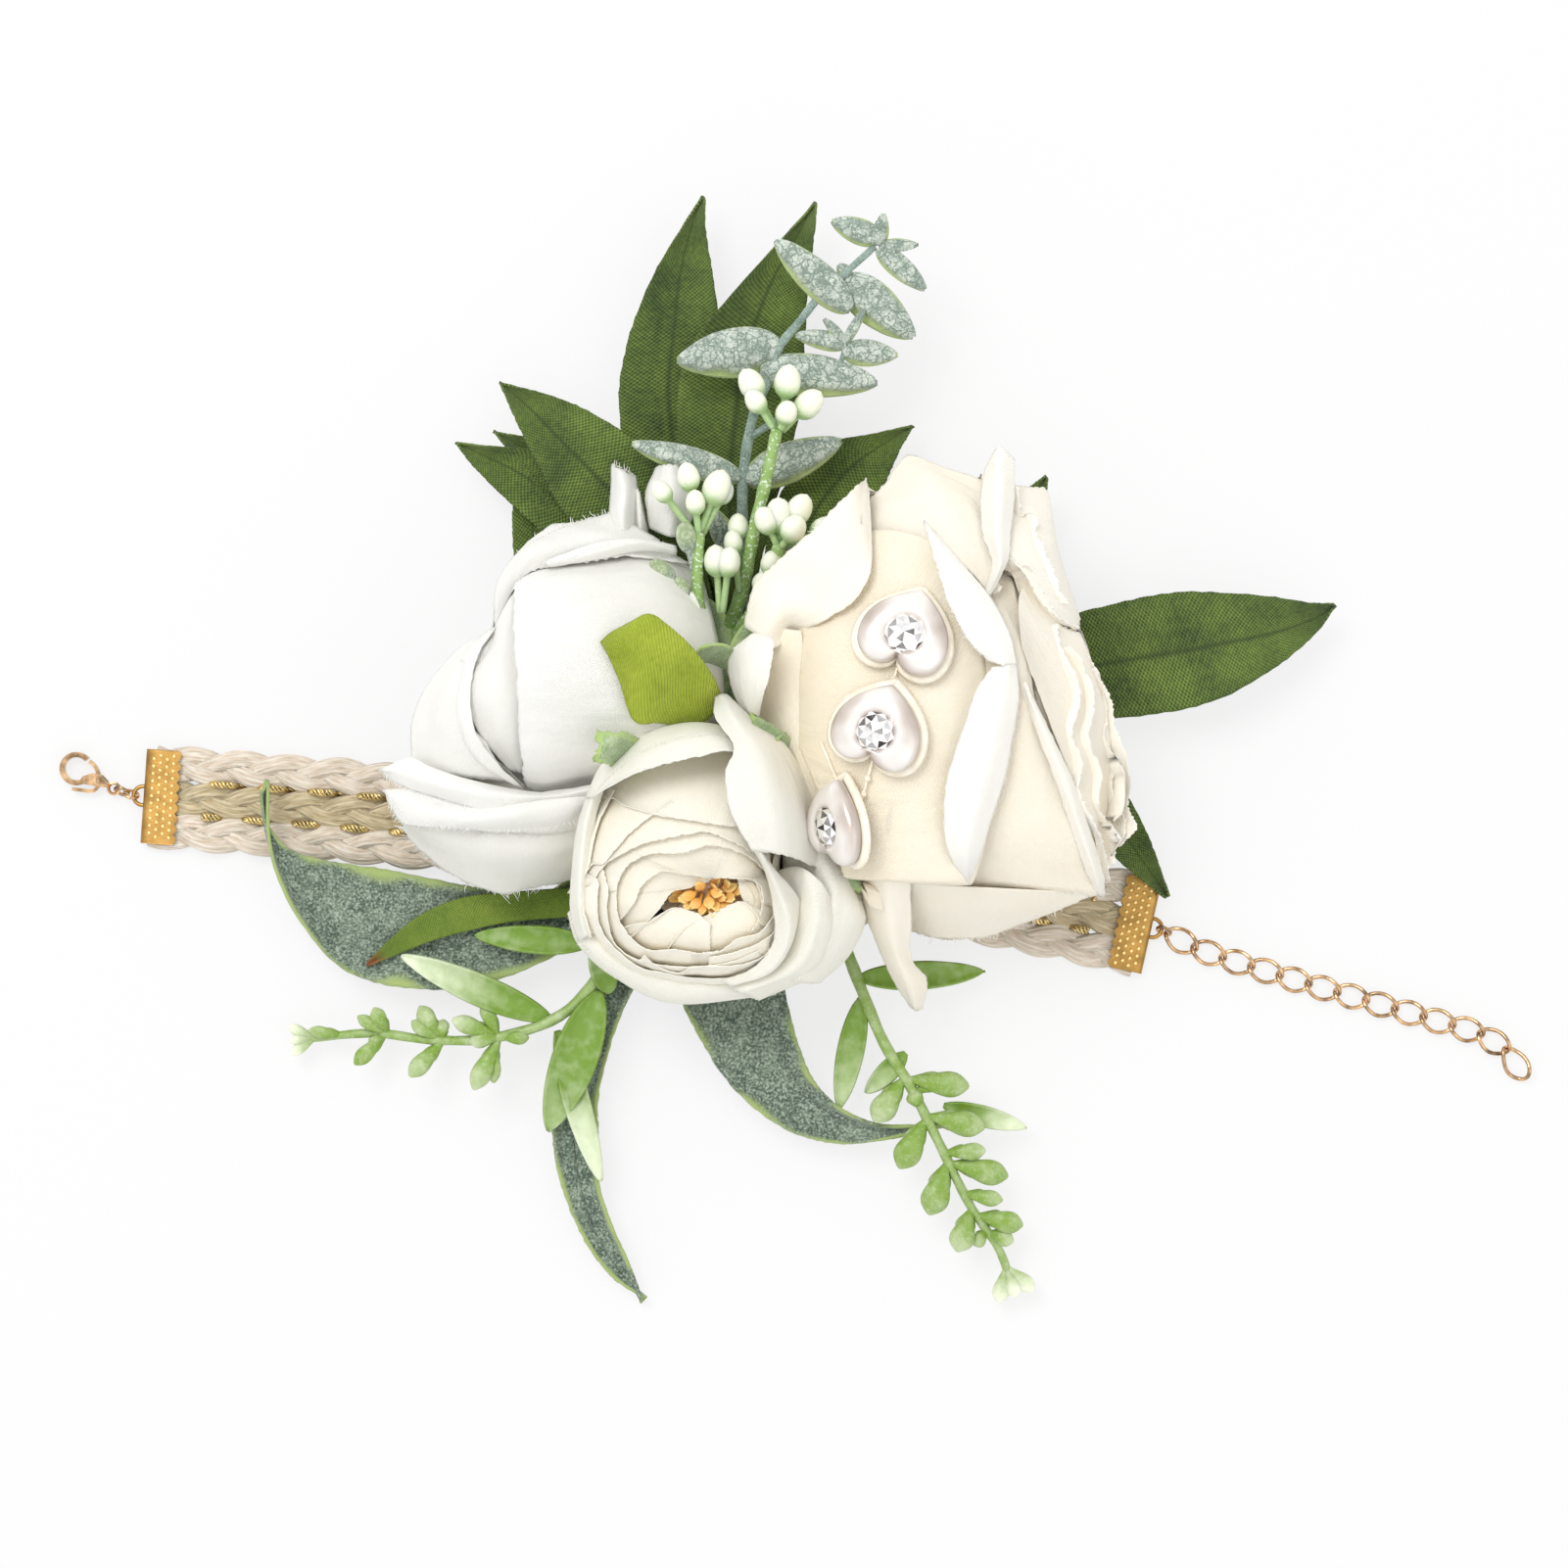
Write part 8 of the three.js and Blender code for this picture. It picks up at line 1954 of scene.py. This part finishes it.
CRIMP_LOOP, CRIMP_LOOP_AT = 1.6, 6.46
RING_RADIUS, RING_WIRE, RING_TILT = 1.2, 0.56, 62
RING_PLAY, RING_STEP = 0.42, 1.69
LINK_LENGTH, LINK_WIDTH, LINK_WIRE, LINK_STEP = 2.965, 1.9, 0.7, 2.115
LINK_TURNS = [-30, -20, -17, -17, -17, -16, -16, -16, -16, -16, -16, -30]
DROP_LENGTH, DROP_WIDTH, DROP_TURN = 3.15, 1.85, -55
CLASP_TURN, CLASP_RING_TURN, CHAIN_TURN, CHAIN_RING_TURN = 176, 162, -12.5, -24


def crimp(name, origin, degrees):
    """A folded sheet end with rows of raised dots, a scalloped mouth and a wire loop."""
    bag = Bag()
    half, sheet, width = 1.3, 0.5, 16.0
    count = 161
    y = np.linspace(-width / 2, width / 2, count)
    scallop = 0.55 * np.abs(np.sin(math.pi * (y + width / 2) / (width / 9)))
    outer = [(0.0, half), (1.5, half), (3.0, half), (4.6, half), (5.6, half * 0.98), (6.05, half * 0.8),
             (6.28, half * 0.4), (6.3, 0.0)]
    inner = [(x - (0 if k < 4 else 0.42), max(h - sheet, 0)) for k, (x, h) in enumerate(outer)]
    outline = outer + [(x, -h) for x, h in outer[-2::-1]]
    back = [(x, -h) for x, h in inner[:-1]] + [(inner[-1][0], 0)] + [(x, h) for x, h in inner[-2::-1]]
    profile = outline + back
    grid = []
    for x, h in profile:
        xs = 0.75 - scallop if x == 0 else np.full(count, x)
        grid.append(np.stack([xs, y, np.full(count, h)], -1))
    grid.append(grid[0])
    grid = np.array(grid)
    rows = len(grid)
    index = numbering(rows, count)
    faces = open_faces(index)
    m = len(outline)
    ends = []
    for edge in (0, -1):
        for k in range(m - 1):
            quad = [index[k, edge], index[k + 1, edge], index[rows - 3 - k, edge], index[rows - 2 - k, edge]]
            ends.append(quad if edge == 0 else quad[::-1])
    flat = placed(grid.reshape(-1, 3), origin, degrees)
    bag.add(flat, np.concatenate([faces, np.array(ends)]), grid[..., :2].reshape(-1, 2), 0.0)
    for column in range(4):
        for row in range(12):
            x = 1.45 + 1.12 * column
            yy = -width / 2 + 0.95 + (row + 0.5 * (column % 2)) * 1.26
            if yy > width / 2 - 0.7:
                continue
            for face in (1, -1):
                centre = placed([[x, yy, face * (half - 0.1)]], origin, degrees)[0]
                # the dots' tone paints a highlight colour on them
                bag.ball(centre, 0.38, 12, 8, (1, 1, 0.85), tone=1.0)
    loop = placed(ring_points(CRIMP_LOOP) + [CRIMP_LOOP_AT, 0, 0], origin, degrees)
    bag.tube(loop, 0.35, 12, closed=True)
    bag.object(name + "_folded", ANTIQUE_GOLD, name, "antique_gold")


def wire_loop(name, node, points, wire):
    """A closed ring or link on its own body."""
    bag = Bag()
    bag.tube(points, wire / 2, 12, closed=True)
    bag.object(name, ROSE_GOLD, node, "rose_gold", body=node)


def link_points(half_length, half_width, flare=0.0, count=56):
    """A curb link: an oval whose two ends are twisted against each other."""
    a = np.linspace(0, 2 * math.pi, count, endpoint=False)
    x, y = half_length * np.cos(a), half_width * np.sin(a) * (1 + flare * np.cos(a))
    turn = math.radians(45) * np.cos(a)
    return np.stack([x, y * np.cos(turn), y * np.sin(turn)], -1)


def hardware():
    """The crimps, the rings at the clasp, and the extender chain."""
    clasp_mouth = band_at([0, 0.01])[0][0]
    chain_mouth = band_at([BAND_SPAN - 0.01, BAND_SPAN])[0][1]
    clasp_mouth[2] = chain_mouth[2] = HARDWARE_Z
    crimp("clasp_crimp", clasp_mouth, CLASP_TURN)
    crimp("chain_crimp", chain_mouth, CHAIN_TURN)
    loop_end = clasp_mouth + heading(CLASP_TURN) * (CRIMP_LOOP_AT + CRIMP_LOOP)
    first = loop_end + heading(CLASP_RING_TURN) * RING_PLAY
    second = first + heading(CLASP_RING_TURN) * RING_STEP
    loop_end = chain_mouth + heading(CHAIN_TURN) * (CRIMP_LOOP_AT + CRIMP_LOOP)
    third = loop_end + heading(CHAIN_RING_TURN) * RING_PLAY
    for name, node, centre, degrees, tilt in (
            ("clasp_ring_a", "clasp_crimp_ring", first, CLASP_RING_TURN, RING_TILT),
            ("clasp_ring_b", "clasp_link_ring", second, CLASP_RING_TURN, -RING_TILT),
            ("chain_ring", "chain_crimp_ring", third, CHAIN_RING_TURN, RING_TILT)):
        wire_loop(name, node, placed(ring_points(RING_RADIUS), centre, degrees, tilt), RING_WIRE)
    end = third + heading(CHAIN_RING_TURN) * RING_PLAY
    for k, degrees in enumerate(LINK_TURNS, 1):
        centre = end + heading(degrees) * LINK_LENGTH
        points = placed(link_points(LINK_LENGTH, LINK_WIDTH), centre, degrees)
        wire_loop(f"curb_link_{k:02d}", f"chain_link_{k:02d}", points, LINK_WIRE)
        end = centre + heading(degrees) * LINK_STEP
    centre = end + heading(DROP_TURN) * DROP_LENGTH
    points = placed(link_points(DROP_LENGTH, DROP_WIDTH, 0.2), centre, DROP_TURN)
    wire_loop("drop_link", "chain_end_link", points, LINK_WIRE)


foliage()
eucalyptus()
berry_sprig()
lavender("left", LAVENDER_LEFT, 420)
lavender("right", LAVENDER_RIGHT, 440)
calyx("ranunculus_calyx", RANUNCULUS, (-0.045, 0.018, 0), [(34 + 72 * k, 0.92, 0.34) for k in range(5)])
calyx("rose_calyx", ROSE, (-0.035, 0.085, 0), [(20 + 90 * k, 0.5, 0.3) for k in range(4)])
sepal_tips()
calyx("peony_calyx", PEONY, (0.02, 0.07, 0), [(20 + 90 * k, 0.4, 0.24) for k in range(4)])
stamens()
hearts()
strand()
braids()
felt()
hardware()

# the clasp's solids are shown as they are
CAD_FINISHES = {"clasp_body": ROSE_GOLD, "clasp_lever": ROSE_GOLD, "clasp_pin": ROSE_GOLD,
                "clasp_spring": STEEL}
for node_name, finish in CAD_FINISHES.items():
    for carried in bpy.data.objects:
        if carried.name == node_name or carried.get("node") == node_name:
            for slot in carried.material_slots:
                slot.material = finish


# Stage, light and camera

def seen_rays(tree):
    """1 for rays that show the surroundings: straight, mirrored or seen through."""
    path = tree.nodes.new("ShaderNodeLightPath")
    seen = path.outputs["Is Camera Ray"]
    for kind in ("Is Glossy Ray", "Is Transmission Ray"):
        either = tree.nodes.new("ShaderNodeMath")
        either.operation = "MAXIMUM"
        tree.links.new(seen, either.inputs[0])
        tree.links.new(path.outputs[kind], either.inputs[1])
        seen = either.outputs[0]
    return seen


FLOOR_HALF, FLOOR_Z = 3.0, -0.0002
FLOOR_GLOW, FLOOR_GREY, FLOOR_SHARE = 0.934, 0.93, 0.8
AMBIENT = 0.86
SENSOR, LENS, FAR_CLIP = 36, 94.45, 50


def stage():
    """The white floor, which partly glows by itself for the rays that show it."""
    mesh = bpy.data.meshes.new("floor")
    corners = ((-1, -1), (1, -1), (1, 1), (-1, 1))
    mesh.from_pydata([(x * FLOOR_HALF, y * FLOOR_HALF, FLOOR_Z) for x, y in corners], [], [(0, 1, 2, 3)])
    floor = bpy.data.objects.new("floor", mesh)
    bpy.context.scene.collection.objects.link(floor)
    material = bpy.data.materials.new("floor_white")
    material.use_nodes = True
    tree = material.node_tree
    tree.nodes.clear()
    out = tree.nodes.new("ShaderNodeOutputMaterial")
    mix = tree.nodes.new("ShaderNodeMixShader")
    glow = tree.nodes.new("ShaderNodeEmission")
    matte = tree.nodes.new("ShaderNodeBsdfDiffuse")
    share = tree.nodes.new("ShaderNodeMath")
    glow.inputs["Strength"].default_value = FLOOR_GLOW
    matte.inputs["Color"].default_value = (FLOOR_GREY, FLOOR_GREY, FLOOR_GREY, 1)
    share.operation = "MULTIPLY"
    share.inputs[1].default_value = FLOOR_SHARE
    tree.links.new(seen_rays(tree), share.inputs[0])
    tree.links.new(share.outputs[0], mix.inputs[0])
    tree.links.new(matte.outputs[0], mix.inputs[1])
    tree.links.new(glow.outputs[0], mix.inputs[2])
    tree.links.new(mix.outputs[0], out.inputs[0])
    mesh.materials.append(material)
    floor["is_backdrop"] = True


def area_light(name, place, size, power):
    """A soft lamp that faces the corsage."""
    data = bpy.data.lights.new(name, "AREA")
    data.size, data.energy = size, power
    lamp = bpy.data.objects.new(name, data)
    lamp.location = place
    lamp.rotation_euler = (Vector(place) * -1).to_track_quat("-Z", "Y").to_euler()
    bpy.context.scene.collection.objects.link(lamp)


def studio():
    """A white surrounding, weaker where only its light counts, a key lamp and a fill."""
    world = bpy.data.worlds.new("studio")
    world.use_nodes = True
    tree = world.node_tree
    background = tree.nodes["Background"]
    background.inputs["Color"].default_value = (1, 1, 1, 1)
    strength = tree.nodes.new("ShaderNodeMath")
    strength.operation = "MULTIPLY_ADD"
    strength.inputs[1].default_value = 1 - AMBIENT
    strength.inputs[2].default_value = AMBIENT
    tree.links.new(seen_rays(tree), strength.inputs[0])
    tree.links.new(strength.outputs[0], background.inputs["Strength"])
    bpy.context.scene.world = world
    area_light("key", (-0.38, 0.52, 1.16), 0.6, 8.3)
    area_light("fill", (0.6, -0.45, 1.0), 1.0, 2.2)
    bpy.context.scene.view_settings.view_transform = "Standard"


def camera():
    """The photograph's camera, straight above."""
    data = bpy.data.cameras.new("photo_camera")
    data.sensor_width = SENSOR
    data.lens = LENS
    data.clip_end = FAR_CLIP
    seat = bpy.data.objects.new("photo_camera", data)
    seat.location = Vector(CAMERA) * MM
    bpy.context.scene.collection.objects.link(seat)
    bpy.context.scene.camera = seat


stage()
studio()
camera()
bpy.context.view_layer.update()
boxes = {"cad": cad_bounds, "visual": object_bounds()}
{name: [[float(x) for x in corner] for corner in box] for name, box in boxes.items()}
